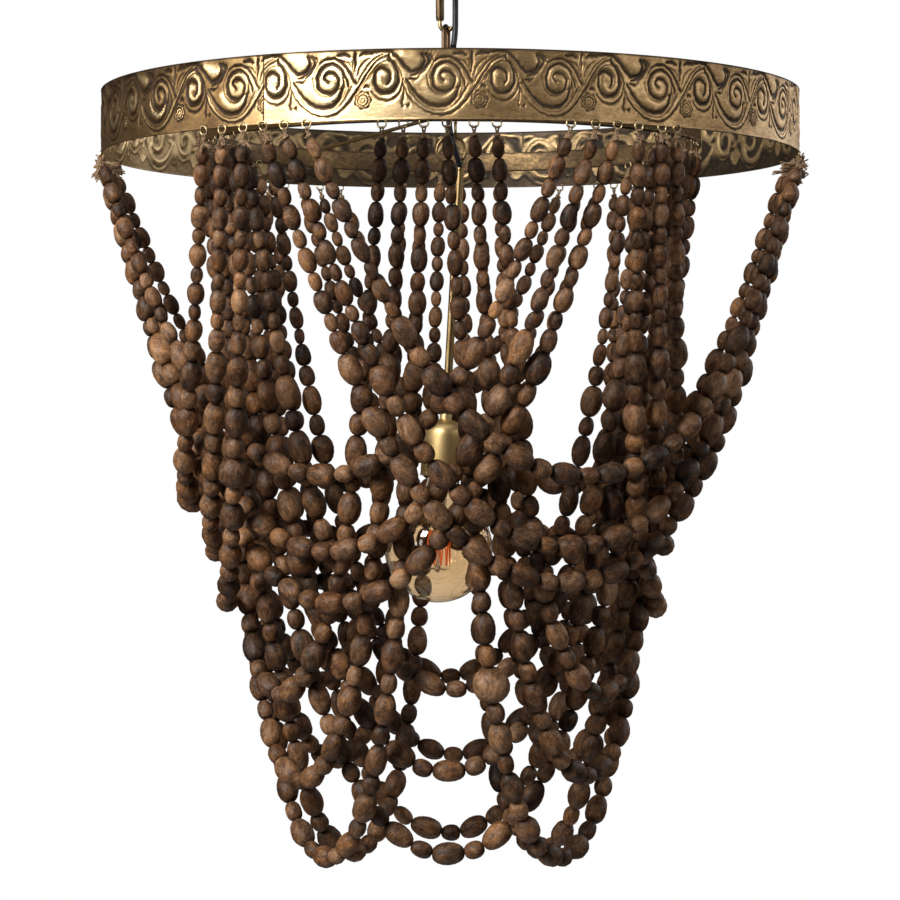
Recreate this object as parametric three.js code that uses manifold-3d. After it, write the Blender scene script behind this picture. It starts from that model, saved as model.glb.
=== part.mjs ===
// A beaded ceiling light: two hoops on a three-armed hub, strands of wooden beads
// hung from their eyes, and one lamp on a stem in the middle.
// Millimetres, +Z up, the origin where the bracket meets the ceiling, +X to the
// right and +Y to the back.
import * as THREE from "three";
import { mergeVertices } from "three/addons/utils/BufferGeometryUtils.js";
import Module from "manifold-3d";

const GAP = 0.3; // clearance between pieces that touch

// Ceiling fixings
const BRACKET = { length: 88, width: 22, thick: 3, screwX: 36, screwR: 2.5 };
const CANOPY = { r: 55, depth: 27.5, wall: 1.2 };
const STEM_X = -9, SLEEVE_R = 3.7, SLEEVE_END = -55;
const FLEX_X = 4.5, FLEX_Y = -5, FLEX_R = 2.4;
const HOOK = { wire: 1.75, bend: 5.5, z: -58.5 };

// Link, hub and spokes
const LINK = { x: -3.75, top: -58, bottom: -100, wire: 2, half: 6, turn: 19 };
const HUB = { r: 8, top: -128, bottom: -141 };
const EYE = { r: 6, wire: 2, z: -99.7 };
const LOOP = { x: 4.6, r: 7.4, wire: 1.25, z: -152.45 };
const SPOKE = { r: 1.75, from: 8.3, to: 302.7, z0: -137.0, slope: -0.05165, angles: [-148, -28, 92] };

// Hoops, with their eyes given as angles from the front toward +X
const BAND = { r: 305, wall: 1.6, top: -121, bottom: -176, sides: 64 };
const RING = { r: 220, wall: 1.6, top: -150, bottom: -168, sides: 54 };
const LUG = { r: 5, hole: 3, thick: 1.5, drop: 1 };

// Split ring and lamp
const SPLIT = { x: 0.8, z: -169.2, r: 12.7, wire: 1.2 };
const PIVOT = [9, 0, -178.9], LEAN = 3.26, AXIS_Y = -3.9;
const TUBE = { r: 3.6, bore: 2.9, top: 5.7, end: 233.2 };
const BULB = { centre: 340.3, r: 47.5, wall: 1 };

// Strands
const STRAND_R = 5;

const wasm = await Module();
wasm.setup();

const solid = (geometry) => {
  let g = geometry.index ? geometry.toNonIndexed() : geometry.clone();
  g.deleteAttribute("normal");
  g.deleteAttribute("uv");
  g = mergeVertices(g, 1e-4);
  const pos = g.attributes.position.array;
  const keep = [];
  for (let i = 0; i < g.index.count; i += 3) {
    const a = g.index.getX(i), b = g.index.getX(i + 1), c = g.index.getX(i + 2);
    if (a !== b && b !== c && c !== a) keep.push(a, b, c);
  }
  const build = (t) =>
    new wasm.Manifold(new wasm.Mesh({ numProp: 3, vertProperties: new Float32Array(pos), triVerts: new Uint32Array(t) }));
  let m = build(keep);
  if (m.volume() < 0) {
    for (let i = 0; i < keep.length; i += 3) [keep[i + 1], keep[i + 2]] = [keep[i + 2], keep[i + 1]];
    m = build(keep);
  }
  return m;
};

const geometryOf = (m) => {
  const mesh = m.getMesh();
  const v = new Float32Array(mesh.numVert * 3);
  for (let i = 0; i < mesh.numVert; i++)
    v.set(mesh.vertProperties.subarray(i * mesh.numProp, i * mesh.numProp + 3), i * 3);
  const g = new THREE.BufferGeometry()
    .setAttribute("position", new THREE.BufferAttribute(v, 3))
    .setIndex(new THREE.BufferAttribute(new Uint32Array(mesh.triVerts), 1));
  g.computeVertexNormals();
  return g;
};

const moved = (g, x, y, z, rx = 0, ry = 0, rz = 0) => {
  const m = new THREE.Matrix4().makeRotationFromEuler(new THREE.Euler(rx, ry, rz));
  m.setPosition(x, y, z);
  return g.clone().applyMatrix4(m);
};

// A round bar through the given points, with a station at each of them.
class Route extends THREE.Curve {
  constructor(points) {
    super();
    this.p = points.map((q) => new THREE.Vector3(...q));
  }
  getPoint(t, target = new THREE.Vector3()) {
    const n = this.p.length - 1, f = Math.min(Math.max(t, 0), 1) * n;
    const i = Math.min(Math.floor(f + 1e-9), n - 1);
    return target.copy(this.p[i]).lerp(this.p[i + 1], f - i);
  }
  getPointAt(u, target) {
    return this.getPoint(u, target);
  }
  getTangent(t, target = new THREE.Vector3()) {
    const n = this.p.length - 1, i = Math.round(Math.min(Math.max(t, 0), 1) * n);
    const a = this.p[Math.max(i - 1, 0)], b = this.p[i], c = this.p[Math.min(i + 1, n)];
    const d1 = b.clone().sub(a).normalize(), d2 = c.clone().sub(b).normalize();
    return target.copy(d1).add(d2).normalize();
  }
  getTangentAt(u, target) {
    return this.getTangent(u, target);
  }
}

const bar = (points, r, sides = 8) => {
  const s = new THREE.Shape();
  for (let i = 0; i < sides; i++) {
    const a = ((i + 0.5) / sides) * 2 * Math.PI;
    if (i) s.lineTo(r * Math.cos(a), r * Math.sin(a));
    else s.moveTo(r * Math.cos(a), r * Math.sin(a));
  }
  s.closePath();
  return new THREE.ExtrudeGeometry(s, { steps: points.length - 1, bevelEnabled: false, extrudePath: new Route(points) });
};

// A turned shape about Z from [radius, z] pairs. It closes on itself or on the axis.
const turned = (profile, sides) => {
  const pts = profile.map(([r, z]) => new THREE.Vector2(r, z));
  if (profile[0][0] > 0 || profile[profile.length - 1][0] > 0) pts.push(pts[0].clone());
  if (THREE.ShapeUtils.area(pts) < 0) pts.reverse(); // faces outward
  const g = new THREE.LatheGeometry(pts, sides);
  g.rotateX(Math.PI / 2);
  return g;
};

const rod = (r, from, to, sides = 12) => {
  const g = new THREE.CylinderGeometry(r, r, Math.abs(to - from), sides);
  g.rotateX(Math.PI / 2);
  g.translate(0, 0, (from + to) / 2);
  return g;
};

const torus = (R, r, sides = 6, around = 16) => new THREE.TorusGeometry(R, r, sides, around);

const finishes = {
  goldBand: new THREE.MeshStandardMaterial({ name: "antique_gold", color: 0xa4803f, roughness: 0.42, metalness: 0.9 }),
  gold: new THREE.MeshStandardMaterial({ name: "smooth_gold", color: 0xc09a55, roughness: 0.35, metalness: 0.9 }),
  bronze: new THREE.MeshStandardMaterial({ name: "bronze", color: 0x5a4630, roughness: 0.45, metalness: 0.8 }),
  brass: new THREE.MeshStandardMaterial({ name: "satin_brass", color: 0xb99a62, roughness: 0.4, metalness: 0.9 }),
  steel: new THREE.MeshStandardMaterial({ name: "zinc_steel", color: 0xa9a9a6, roughness: 0.4, metalness: 0.9 }),
  insulator: new THREE.MeshStandardMaterial({ name: "holder_black", color: 0x1c1b1a, roughness: 0.6, metalness: 0 }),
  flex: new THREE.MeshStandardMaterial({ name: "flex_black", color: 0x14151a, roughness: 0.55, metalness: 0 }),
  glass: new THREE.MeshStandardMaterial({ name: "amber_glass", color: 0xb98a52, roughness: 0.08, metalness: 0, transparent: true, opacity: 0.45 }),
  filament: new THREE.MeshStandardMaterial({ name: "filament", color: 0xd8672c, roughness: 0.4, metalness: 0.3 }),
  wood: new THREE.MeshStandardMaterial({ name: "bead_wood", color: 0xb07f4e, roughness: 0.5, metalness: 0 }),
};

const group = new THREE.Group();
const add = (parent, name, geometry, material) => {
  const mesh = new THREE.Mesh(geometry, material);
  mesh.name = name;
  parent.add(mesh);
  return mesh;
};

// ---- ceiling fixings
{
  const { length, width, thick, screwX, screwR } = BRACKET;
  let plate = solid(moved(new THREE.BoxGeometry(length, width, thick), 0, 0, -thick / 2));
  for (const x of [-screwX, screwX]) plate = plate.subtract(solid(moved(rod(screwR, -thick - 1, 1, 12), x, 0, 0)));
  plate = plate.subtract(solid(moved(rod(3.1, -thick - 1, 1, 12), STEM_X, 0, 0)));
  plate = plate.subtract(solid(moved(rod(3.4, -thick - 1, 1, 12), FLEX_X, FLEX_Y, 0)));
  add(group, "ceiling_bracket", geometryOf(plate), finishes.steel);

  add(group, "hook_stem", moved(turned([
    [0, -GAP], [2.7, -GAP], [2.7, -thick - GAP], [SLEEVE_R, -thick - GAP], [SLEEVE_R, SLEEVE_END + 1.4],
    [SLEEVE_R - 0.4, SLEEVE_END + 0.9], [SLEEVE_R - 0.4, SLEEVE_END], [0, SLEEVE_END],
  ], 12), STEM_X, 0, 0), finishes.bronze);

  const { wire, bend, z } = HOOK;
  const pts = [[STEM_X, 0, SLEEVE_END - GAP], [STEM_X, 0, z]];
  for (let i = 1; i <= 9; i++) {
    const a = Math.PI + (i / 9) * Math.PI * 0.82;
    pts.push([STEM_X + bend + bend * Math.cos(a), 0, z + bend * Math.sin(a)]);
  }
  add(group, "ceiling_hook", bar(pts, wire, 8), finishes.gold);

  // the rose, with a hole for the stem and one for the cord grip
  const { r, depth, wall } = CANOPY;
  let cup = solid(turned([
    [0, -depth], [30, -depth], [42, -depth + 2.2], [50, -depth + 7], [r, -depth + 17], [r, -GAP - 0.2],
    [r - wall, -GAP - 0.2], [r - wall, -depth + 17.3], [49.2, -depth + 8.2], [41.5, -depth + 3.6], [29.8, -depth + wall], [0, -depth + wall],
  ], 28));
  cup = cup.subtract(solid(moved(rod(SLEEVE_R + 0.4, -depth - 2, -depth + 4, 14), STEM_X, 0, 0)));
  cup = cup.subtract(solid(moved(rod(4.2, -depth - 2, -depth + 4, 14), FLEX_X, FLEX_Y, 0)));
  add(group, "canopy_cup", geometryOf(cup), finishes.gold);
  const n = -depth - GAP;
  add(group, "canopy_nut", moved(turned([
    [SLEEVE_R + 0.35, n], [6.6, n], [7, n - 0.6], [7, n - 5], [6.4, n - 6], [SLEEVE_R + 0.35, n - 6],
  ], 14), STEM_X, 0, 0), finishes.bronze);
  add(group, "cord_grip", moved(turned([
    [FLEX_R + 0.35, n + 6], [3.9, n + 6], [3.9, n - 0.05], [4.9, n - 0.05], [4.9, n - 1.6], [3.6, n - 5], [FLEX_R + 0.35, n - 5],
  ], 14), FLEX_X, FLEX_Y, 0), finishes.insulator);
}

// ---- link: two half loops joined at the straights, turned so that it shows nearly edge on
{
  const { x, top, bottom, wire, half, turn } = LINK;
  const zt = top - wire - half, zb = bottom + wire + half, zm = (zt + zb) / 2;
  const u = (zc, up) => {
    const p = [[0, -half, zm - (up ? 0.3 : -0.3)]];
    for (let i = 0; i <= 6; i++) {
      const a = (i / 6) * Math.PI;
      p.push([0, -half * Math.cos(a), zc + (up ? 1 : -1) * half * Math.sin(a)]);
    }
    p.push([0, half, zm - (up ? 0.3 : -0.3)]);
    return p;
  };
  const link = solid(bar(u(zt, true), wire, 8)).add(solid(bar(u(zb, false), wire, 8)));
  add(group, "chain_link", moved(geometryOf(link), x, 0, 0, 0, 0, (-turn * Math.PI) / 180), finishes.bronze);
}

// ---- hub: turned body with an eye above, off centre, and a loop below
{
  const { r, top, bottom } = HUB;
  let hub = solid(turned([
    [0, bottom], [4.5, bottom], [r - 1, bottom + 1.2], [r, bottom + 2.4], [r, top - 2.4], [r - 1, top - 1.2], [5, top], [0, top],
  ], 16));
  hub = hub.add(solid(moved(rod(2.6, top - 3, EYE.z - EYE.r - 0.4, 8), LINK.x, 0, 0)));
  const t = (-LINK.turn * Math.PI) / 180; // the eye's hole lies along the link's lower bend
  hub = hub.add(solid(moved(moved(torus(EYE.r, EYE.wire), 0, 0, 0, Math.PI / 2), LINK.x, 0, EYE.z, 0, 0, t)));
  hub = hub.add(solid(moved(rod(1.6, bottom + 2, LOOP.z + LOOP.r - 0.2, 8), LOOP.x, 0, 0)));
  hub = hub.add(solid(moved(torus(LOOP.r, LOOP.wire), LOOP.x, 0, LOOP.z, 0, Math.PI / 2)));
  add(group, "hub", geometryOf(hub), finishes.gold);

  SPOKE.angles.forEach((deg, i) => {
    const a = (deg * Math.PI) / 180;
    const at = (d) => [d * Math.sin(a), -d * Math.cos(a), SPOKE.z0 + SPOKE.slope * (d - 8)];
    add(group, `spoke_${i + 1}`, bar([at(SPOKE.from), at(SPOKE.to)], SPOKE.r, 8), finishes.gold);
  });
}

// ---- hoops with their eyes
const hoop = (h, angles) => {
  let m = solid(turned([[h.r - h.wall, h.bottom], [h.r, h.bottom], [h.r, h.top], [h.r - h.wall, h.top]], h.sides));
  const outer = new THREE.Shape(), hole = new THREE.Path(); // a square ring on its corner
  for (let i = 0; i < 4; i++) {
    const a = (i / 4) * 2 * Math.PI, x = Math.cos(a), y = Math.sin(a);
    if (i) outer.lineTo(LUG.r * x, LUG.r * y);
    else outer.moveTo(LUG.r * x, LUG.r * y);
    if (i) hole.lineTo(LUG.hole * x, -LUG.hole * y);
    else hole.moveTo(LUG.hole * x, -LUG.hole * y);
  }
  outer.closePath();
  hole.closePath();
  outer.holes.push(hole);
  const lug = new THREE.ExtrudeGeometry(outer, { depth: LUG.thick, bevelEnabled: false });
  lug.translate(0, 0, -LUG.thick / 2);
  lug.rotateX(Math.PI / 2);
  const all = angles.map((deg) => {
    const a = (deg * Math.PI) / 180, d = h.r - h.wall / 2 - 0.15;
    return solid(moved(lug, d * Math.sin(a), -d * Math.cos(a), h.bottom - LUG.drop, 0, 0, a));
  });
  return geometryOf(m.add(wasm.Manifold.union(all)));
};

// Angles of the eyes, in degrees, one list for each group of six.
const OUTER_EYES = {
  m30: [-39.86, -36.11, -32.15, -28.59, -25.03, -21.38],
  p30: [17.76, 21.68, 25.27, 28.83, 32.96, 35.8],
  p90: [80.96, 84.46, 88.28, 91.83, 95.5, 98.52],
  m90: [-98.75, -95.22, -91.69, -88.08, -85.03, -81.1],
  p150: [141.28, 144.34, 148.32, 151.78, 155.34, 159.28],
  m150: [-159.06, -155.13, -151.5, -148.1, -144.65, -141],
};
const INNER_EYES = {
  p0: [-14.42, -9.81, -5.49, -0.69, 4.94, 9.78],
  p60: [51.12, 55.9, 60.76, 65.14, 69.8, 74.96],
  m60: [-74.86, -70.35, -65.37, -60.77, -55.91, -50.97],
  p120: [106.96, 112.12, 116.53, 121.24, 126.32, 130.78],
  m120: [-130.65, -125.96, -121.28, -116.85, -111.69, -107.09],
  p180: [167.97, 172.94, 177.5, 182.53, 187.25, 192.16],
};
// Each strand's middle line, x, y, z in turn, from one eye to the other.
const STRANDS = {
  outer_m90_p30_1: [-300.1, -47.6, -184.5, -269.1, -66.8, -264, -242.2, -83.5, -323.4, -220.8, -96.9, -364, -196.8, -111.9, -398.4, -166.2, -130.9, -428.7, -152.9, -139.1, -437.6, -116.2, -161.9, -450.7, -93.1, -176.4, -450.8, -78.7, -185.2, -447.9, -42.4, -207.3, -428.9, -22.6, -219.4, -411, 3.4, -235.2, -378, 24.6, -248.2, -341.7, 47, -261.9, -295.1, 92, -289.6, -184.5],
  outer_m90_p30_2: [-302.9, -26.8, -184.1, -269.7, -46.2, -285.9, -242.2, -62.4, -358.5, -222.8, -73.7, -399.2, -200.7, -87.7, -437.9, -176.9, -105.5, -472.9, -147.8, -127.4, -500, -133.8, -137.9, -507.6, -112, -154.2, -513.7, -97, -165, -514, -73.6, -179.7, -509, -58.4, -187.4, -502.3, -35.2, -197.1, -486.8, -3.9, -210.4, -455.4, 23.1, -224.3, -416.7, 61.4, -249.8, -335.2, 112, -282.7, -184.1],
  outer_m90_p30_3: [-303.9, -10.5, -184.1, -251.2, -41.5, -353, -214.7, -63, -437.4, -178.8, -89, -497.8, -153, -112, -531, -122.5, -139.4, -552.3, -109.7, -150.9, -556, -86.6, -165.3, -555.9, -70.8, -173.1, -551.6, -47.2, -183.6, -539.6, -14, -195.5, -508.8, 23.1, -209.6, -456.2, 56.6, -227.7, -393.7, 74.2, -238.9, -352.3, 129.5, -275.1, -184.1],
  outer_p30_p150_1: [178.3, -246, -184.5, 183.4, -177.4, -322.3, 185.4, -152.1, -363.3, 187.6, -124.9, -398.1, 190.1, -92.5, -429.1, 192.8, -55.1, -453.1, 196.1, -10.7, -467, 197.4, 6.4, -468.1, 198, 34.3, -463.5, 196.6, 73.6, -443.8, 194.9, 120, -401.4, 193.9, 146.6, -365.4, 193, 170.1, -325.2, 190.6, 236.7, -184.5],
  outer_p30_p150_2: [165.7, -254.8, -184.3, 168.1, -188, -346.4, 168.6, -152.2, -411.2, 171.4, -127, -446.7, 175.7, -94.6, -480.2, 181.2, -54.9, -505.7, 187.2, -11, -517.4, 188.6, 7.2, -517.7, 188.4, 34.7, -512.5, 185.4, 74.2, -491.4, 182.4, 107.8, -459.9, 180.6, 134.2, -425.8, 179.1, 179.6, -347.3, 177.6, 246.7, -184.3],
  outer_p30_p150_3: [146.9, -266, -184.3, 149, -197.6, -351, 150.6, -163, -416.5, 154, -128.4, -469.2, 165.3, -81.5, -526.8, 174.9, -45.6, -556.2, 179, -30.1, -565.2, 179.9, -4.1, -571.5, 179.2, 14.3, -571.6, 176.6, 41.8, -564.7, 166.9, 79.4, -541.1, 159.1, 110.1, -509.3, 153.4, 146.1, -458.2, 153.5, 169.6, -417.9, 155.6, 199.9, -351.8, 159.9, 258.6, -184.1],
  outer_p150_m90_1: [106.9, 284.4, -184.5, 75.8, 266.3, -265.4, 41.2, 246.4, -342, 20.5, 234.7, -379.7, -4.4, 220.8, -414.3, -34.7, 204, -443.3, -47.5, 196.9, -451.7, -85.8, 175.5, -465.4, -109.9, 162.1, -465.6, -124.9, 153.5, -462.2, -161.2, 131.3, -442.2, -179, 120.1, -425.7, -204.7, 104.1, -392.9, -227, 90.8, -355.7, -249.3, 77.4, -309.8, -300.2, 46.9, -184.5],
  outer_p150_m90_2: [126.4, 276.4, -184.3, 68.9, 242.3, -347.5, 30.5, 219.3, -425.3, 5.6, 207.4, -460.6, -25.1, 194.2, -490.8, -63.2, 177.8, -511.8, -88, 166.6, -516.3, -104.2, 158.8, -515.9, -141.1, 135.2, -504.2, -171.3, 114.1, -479.9, -195.8, 96.6, -448.2, -217.7, 81.8, -411.2, -246.5, 63.5, -349.4, -302.8, 28.1, -184.1],
  outer_p150_m90_3: [143.5, 268.1, -184.1, 85.4, 236.2, -351.7, 60.1, 222.6, -408.7, 38.4, 211.6, -447.8, -3.3, 195.7, -507, -36.1, 184.8, -538, -73.4, 169.4, -556, -89.8, 161.9, -559.1, -112.2, 148.8, -558.8, -126, 139, -555.3, -146, 122, -544.4, -170.7, 98.5, -516, -199.8, 74.2, -466.8, -219.2, 60.6, -428.8, -246.6, 44, -364.7, -303.9, 9.3, -184.1],
  outer_m30_p90_1: [-110.1, -283.3, -184.5, -49.2, -265, -313, -2.9, -251, -385.6, 28.5, -241.1, -418.5, 42, -235.7, -428.9, 64.5, -223.4, -441.5, 103.5, -200.1, -450.9, 119, -190.7, -450.8, 156.5, -168, -441.5, 177.4, -154.1, -430, 204.2, -131.8, -402.3, 227.4, -111.7, -366.7, 247, -94.7, -327.1, 272.3, -72.7, -264, 300.1, -48.5, -184.5],
  outer_m30_p90_2: [-128.2, -275.7, -184.1, -74.2, -255.2, -328.6, -47.6, -245.4, -386.2, -25.3, -237.2, -424.2, 1.2, -227.2, -459, 33.8, -212.3, -488.2, 70.2, -192.3, -505.8, 86.2, -183.5, -509.1, 125, -162, -505.8, 148.7, -148.9, -495.8, 180.8, -129.1, -471.3, 204.9, -109.6, -439.8, 226.1, -92.3, -401.9, 249.3, -73.3, -347.2, 302.6, -29.9, -184.3],
  outer_m30_p90_3: [-145.1, -267.2, -184.1, -83.7, -245.9, -353.7, -52.8, -235.5, -418.9, -29.3, -227.4, -457.1, -1.1, -216.6, -491.7, 32.2, -200.7, -519.2, 71.4, -180.8, -535.9, 86.8, -172.3, -538.3, 123.8, -148, -535.2, 158.8, -124.5, -518.1, 187.6, -103.2, -489.5, 210.2, -85.5, -455.6, 229.3, -70.1, -417.3, 254.2, -49.8, -351.7, 303.9, -9.6, -184.1],
  outer_p90_m150_1: [300.6, 45.7, -184.3, 253.6, 86.8, -325.6, 237.6, 100.8, -364.9, 218.2, 117.9, -403.1, 183.8, 146.8, -448.5, 163.5, 160.4, -462, 124.6, 182.7, -470.6, 108.7, 191.8, -470.2, 70.2, 213.8, -459.4, 48.4, 226.2, -446.1, 16.2, 240.6, -416.5, -11.3, 250.4, -380.8, -34.8, 258.5, -342.1, -73.7, 272.1, -263.5, -107.9, 284.1, -184.5],
  outer_p90_m150_2: [302.7, 29.6, -184.1, 252.5, 69.1, -349.2, 219, 95.4, -429.4, 197, 112.4, -465.1, 170.1, 132.8, -495.3, 156.6, 141.5, -504.1, 117.8, 164.6, -515.1, 93.7, 179.2, -513.8, 56.3, 201.6, -499.4, 24.5, 219.6, -475.2, -5.9, 231.2, -441.9, -31.5, 240.6, -404.2, -60.5, 251.2, -349.1, -127.3, 276.1, -184.3],
  outer_p90_m150_3: [304, 10.1, -184.1, 277, 31.9, -285.6, 249.9, 53.9, -374.9, 228.2, 71.7, -431, 209.4, 87, -469, 187.4, 104.8, -503.6, 161.2, 124, -532.3, 126.8, 146.7, -553.4, 103.8, 160.6, -559.3, 88.6, 168.9, -559.7, 65.1, 179.9, -555.7, 27.3, 197, -538.3, -5.6, 211.7, -509.9, -32.4, 222.7, -474.3, -54.8, 231.7, -435.4, -79.9, 241.4, -380.4, -112.3, 254.3, -289.5, -144.8, 267.5, -183.9],
  outer_m150_m30_1: [-191.9, 235.7, -184.5, -207.2, 167, -324.5, -214.6, 132.7, -380.4, -220.5, 104.7, -415.7, -225.1, 71.1, -446.1, -225.7, 55.7, -455.9, -226.2, 13.4, -473.5, -226.5, -16.2, -473.8, -226.6, -32.4, -468.9, -226.4, -71, -448.8, -224.2, -92.6, -431.2, -217.9, -123.3, -395.3, -207.6, -173.5, -311.7, -195.4, -232.8, -184.5],
  outer_m150_m30_2: [-176.4, 247.8, -184.1, -187.7, 183.2, -350, -195.8, 138.9, -431.2, -200.8, 110.1, -468, -205.2, 76.6, -497.5, -204.8, 37.2, -517.4, -204.5, 9.4, -522.7, -204.2, -8.3, -522.5, -203.7, -50.9, -510.9, -203, -87.8, -487.6, -198.8, -119.4, -455.5, -194.8, -146.9, -416.7, -189.5, -181.2, -350.4, -179.6, -245.4, -184.1],
  outer_m150_m30_3: [-161, 258.1, -183.9, -166.4, 223.5, -289.6, -172.1, 188.9, -381.3, -176.7, 161.3, -438.3, -180.5, 137.4, -477.1, -185.1, 107.5, -514.4, -189.8, 71.2, -544.6, -194, 30.6, -562.7, -195.7, 3.6, -566.7, -195.3, -14, -566.2, -192.3, -40.7, -560.3, -187.4, -82.1, -539.3, -183.3, -114.8, -509.8, -179.2, -142.8, -474.4, -175.9, -165.4, -436.6, -171.9, -191.4, -378.9, -162.2, -257.4, -183.9],
  inner_p0_p120_1: [37.3, -215.9, -175.2, 55.6, -188.9, -394.3, 63.8, -176.1, -467.4, 73, -161.5, -530.5, 83.8, -149.8, -571.8, 100, -133.9, -610.6, 113.2, -119.5, -629, 123.6, -105.8, -636.1, 139.1, -81.1, -634.3, 147, -68.4, -626.2, 157.9, -51.1, -604.9, 174.6, -4.3, -509.3, 190.7, 30.1, -377.9, 209.6, 63.8, -175.4],
  inner_p0_p120_2: [18.9, -218.3, -175.2, 36.4, -190.1, -427.4, 46.3, -174.7, -517.3, 56.3, -161.6, -578.8, 73, -140.1, -646, 88.6, -119.4, -683.1, 96.8, -108.2, -695.5, 111.5, -86.3, -707.9, 121.7, -70.6, -708.6, 135.4, -49.1, -699, 142.6, -37.1, -688.2, 153.4, -12.8, -650, 159.3, 3.8, -608.3, 168.5, 28.8, -518.9, 180.1, 47.4, -429.1, 203, 82.4, -175.2],
  inner_p0_p120_3: [-2.6, -219.1, -175.2, 16.4, -190, -451.5, 26.3, -174.5, -562.1, 35.4, -160.2, -636.9, 47.7, -140.7, -697.7, 60, -121.4, -738, 69.6, -106.6, -758.5, 77.3, -94.8, -769.4, 91.3, -73.2, -779.4, 101.2, -57.7, -779.5, 115.2, -35.7, -768.5, 132, -8.7, -735, 141.9, 10.6, -694.6, 151.7, 29.8, -634.9, 163, 50.4, -541.3, 173, 65.3, -450, 196, 97.8, -175.2],
  inner_p120_m120_1: [165.9, 143.2, -175.2, 129.2, 148.3, -403.3, 114.7, 150, -467.6, 92.1, 153, -542.1, 73.9, 157.6, -585.4, 47.6, 162.1, -623.5, 34, 162.9, -635.5, 9.3, 161.8, -646.9, -8.8, 160.6, -647.1, -35.4, 158.5, -634.5, -48.7, 157.6, -622.2, -65.1, 155, -598.4, -88.9, 147.6, -539.4, -111.1, 144.4, -465.5, -126.5, 144.1, -401.4, -166.2, 142.8, -175.2],
  inner_p120_m120_2: [176.5, 129.8, -175.2, 145.9, 130.8, -414.1, 123.8, 131.5, -531.5, 108, 133, -592.2, 92.9, 135.2, -635.6, 72.3, 138, -675.6, 54, 140.3, -698.1, 39.5, 141.1, -709.3, 11.9, 140.9, -718.6, -6, 140.5, -717.6, -30.2, 139.6, -707.9, -44.4, 139.1, -697.1, -71.9, 135.7, -661.5, -90.9, 132.7, -621, -112.8, 128.2, -549.4, -133.1, 127.7, -460.6, -152.4, 128.5, -351.3, -177.3, 128.7, -175.2],
  inner_p120_m120_3: [187.3, 113.7, -175.2, 145.8, 110.5, -472.2, 128.7, 111.6, -565.6, 105, 114, -657.1, 76.6, 116.7, -726.6, 48.8, 118.4, -765.3, 34, 118.3, -776.9, 9.2, 118.2, -787.1, -8.4, 118.3, -787.6, -35.9, 118.5, -777.3, -51.2, 118.5, -765.2, -69.5, 117.6, -741.9, -89.8, 115.5, -700.5, -111, 113.6, -637, -129, 112.4, -562, -150.2, 111.9, -450.4, -187.2, 113.8, -175.2],
  inner_m120_p0_1: [-209.5, 64.3, -175.2, -195.8, 32.7, -399.5, -190.6, 20.8, -460.3, -181.9, 1.2, -532.9, -173.2, -23.2, -591.6, -167.8, -36.9, -615.3, -162.4, -47.4, -627.3, -149.6, -69.2, -639.1, -140, -84.5, -639.2, -126.5, -105.3, -627.3, -118.8, -116.2, -614.3, -102.5, -132.8, -574.4, -86.6, -153.4, -507.8, -78.2, -168.9, -446.3, -70.7, -183.2, -372.3, -54.7, -212.2, -175.2],
  inner_m120_p0_2: [-203.6, 80.9, -175.2, -188.8, 50.9, -431.6, -181.1, 34.8, -522.9, -174.8, 20.4, -584, -168.9, 6.4, -628.2, -160, -11.9, -668.3, -147, -37.4, -701.4, -132.9, -60.2, -713.8, -123.4, -75.7, -713.7, -110.2, -96.8, -702.4, -103, -108.3, -690.3, -87.3, -128.6, -651.7, -76.4, -142.7, -608.9, -64, -158.8, -537.5, -54.6, -177, -444, -37.4, -215.9, -175.2],
  inner_m120_p0_3: [-195.5, 98.9, -175.2, -179.2, 71.3, -450.2, -171.2, 58.1, -540.7, -161.5, 39.9, -631.5, -150.6, 19, -700.3, -140.1, -0.8, -741.9, -134.5, -10.7, -756.4, -123.1, -30.2, -774.8, -114.4, -44.8, -781.1, -100.5, -67.9, -780.2, -92.1, -81.7, -773.3, -80.9, -100.3, -755.4, -67.7, -122.7, -717, -55.6, -143.7, -657.7, -43.4, -164.3, -567.3, -33.8, -185, -447.5, -21, -218.1, -175.2],
  inner_m60_p60_1: [-170.1, -138, -175.2, -132, -133.2, -397.5, -102.8, -129.3, -505.8, -85.7, -127.6, -547.5, -63.5, -128.4, -587.4, -44.7, -129, -609.3, -30.7, -129.4, -619.9, -3.6, -130.6, -629.5, 13.7, -131.4, -628.7, 40.2, -132.6, -617.1, 54, -133, -605.4, 80.2, -133.9, -568.8, 99.6, -134.9, -526.1, 120.2, -135.9, -459.3, 134.1, -136.5, -398.5, 170.5, -137.6, -175.2],
  inner_m60_p60_2: [-181.4, -122.9, -175.2, -149.5, -118.9, -400.3, -120.3, -115.4, -536.8, -87.8, -112.5, -622.9, -64.4, -112.9, -663.8, -53.5, -113.2, -676.8, -31.2, -113.8, -694, -15, -114.1, -699.7, 12.8, -114.2, -698.6, 29.1, -114.3, -691.7, 50.6, -114.4, -674.2, 77.3, -114.8, -636.5, 103.6, -116, -578, 125.9, -117.8, -506.1, 145.8, -119.5, -415.2, 181.4, -122.9, -175.2],
  inner_m60_p60_3: [-191.2, -107, -175.2, -155.8, -101.3, -446.1, -138.6, -98.5, -537.3, -120.2, -95.7, -610, -98.9, -93.5, -671.2, -65.4, -93.4, -733.6, -33, -94.2, -764.5, -15.6, -94.4, -771.8, 12.2, -94.5, -771.7, 28.4, -94.7, -765.4, 50.2, -95.3, -747.9, 76.3, -96, -711.1, 102.8, -97.1, -650.3, 124.4, -99.4, -579.9, 147.8, -102, -471.9, 167, -104, -355.2, 191.1, -107.1, -175.2],
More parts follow.
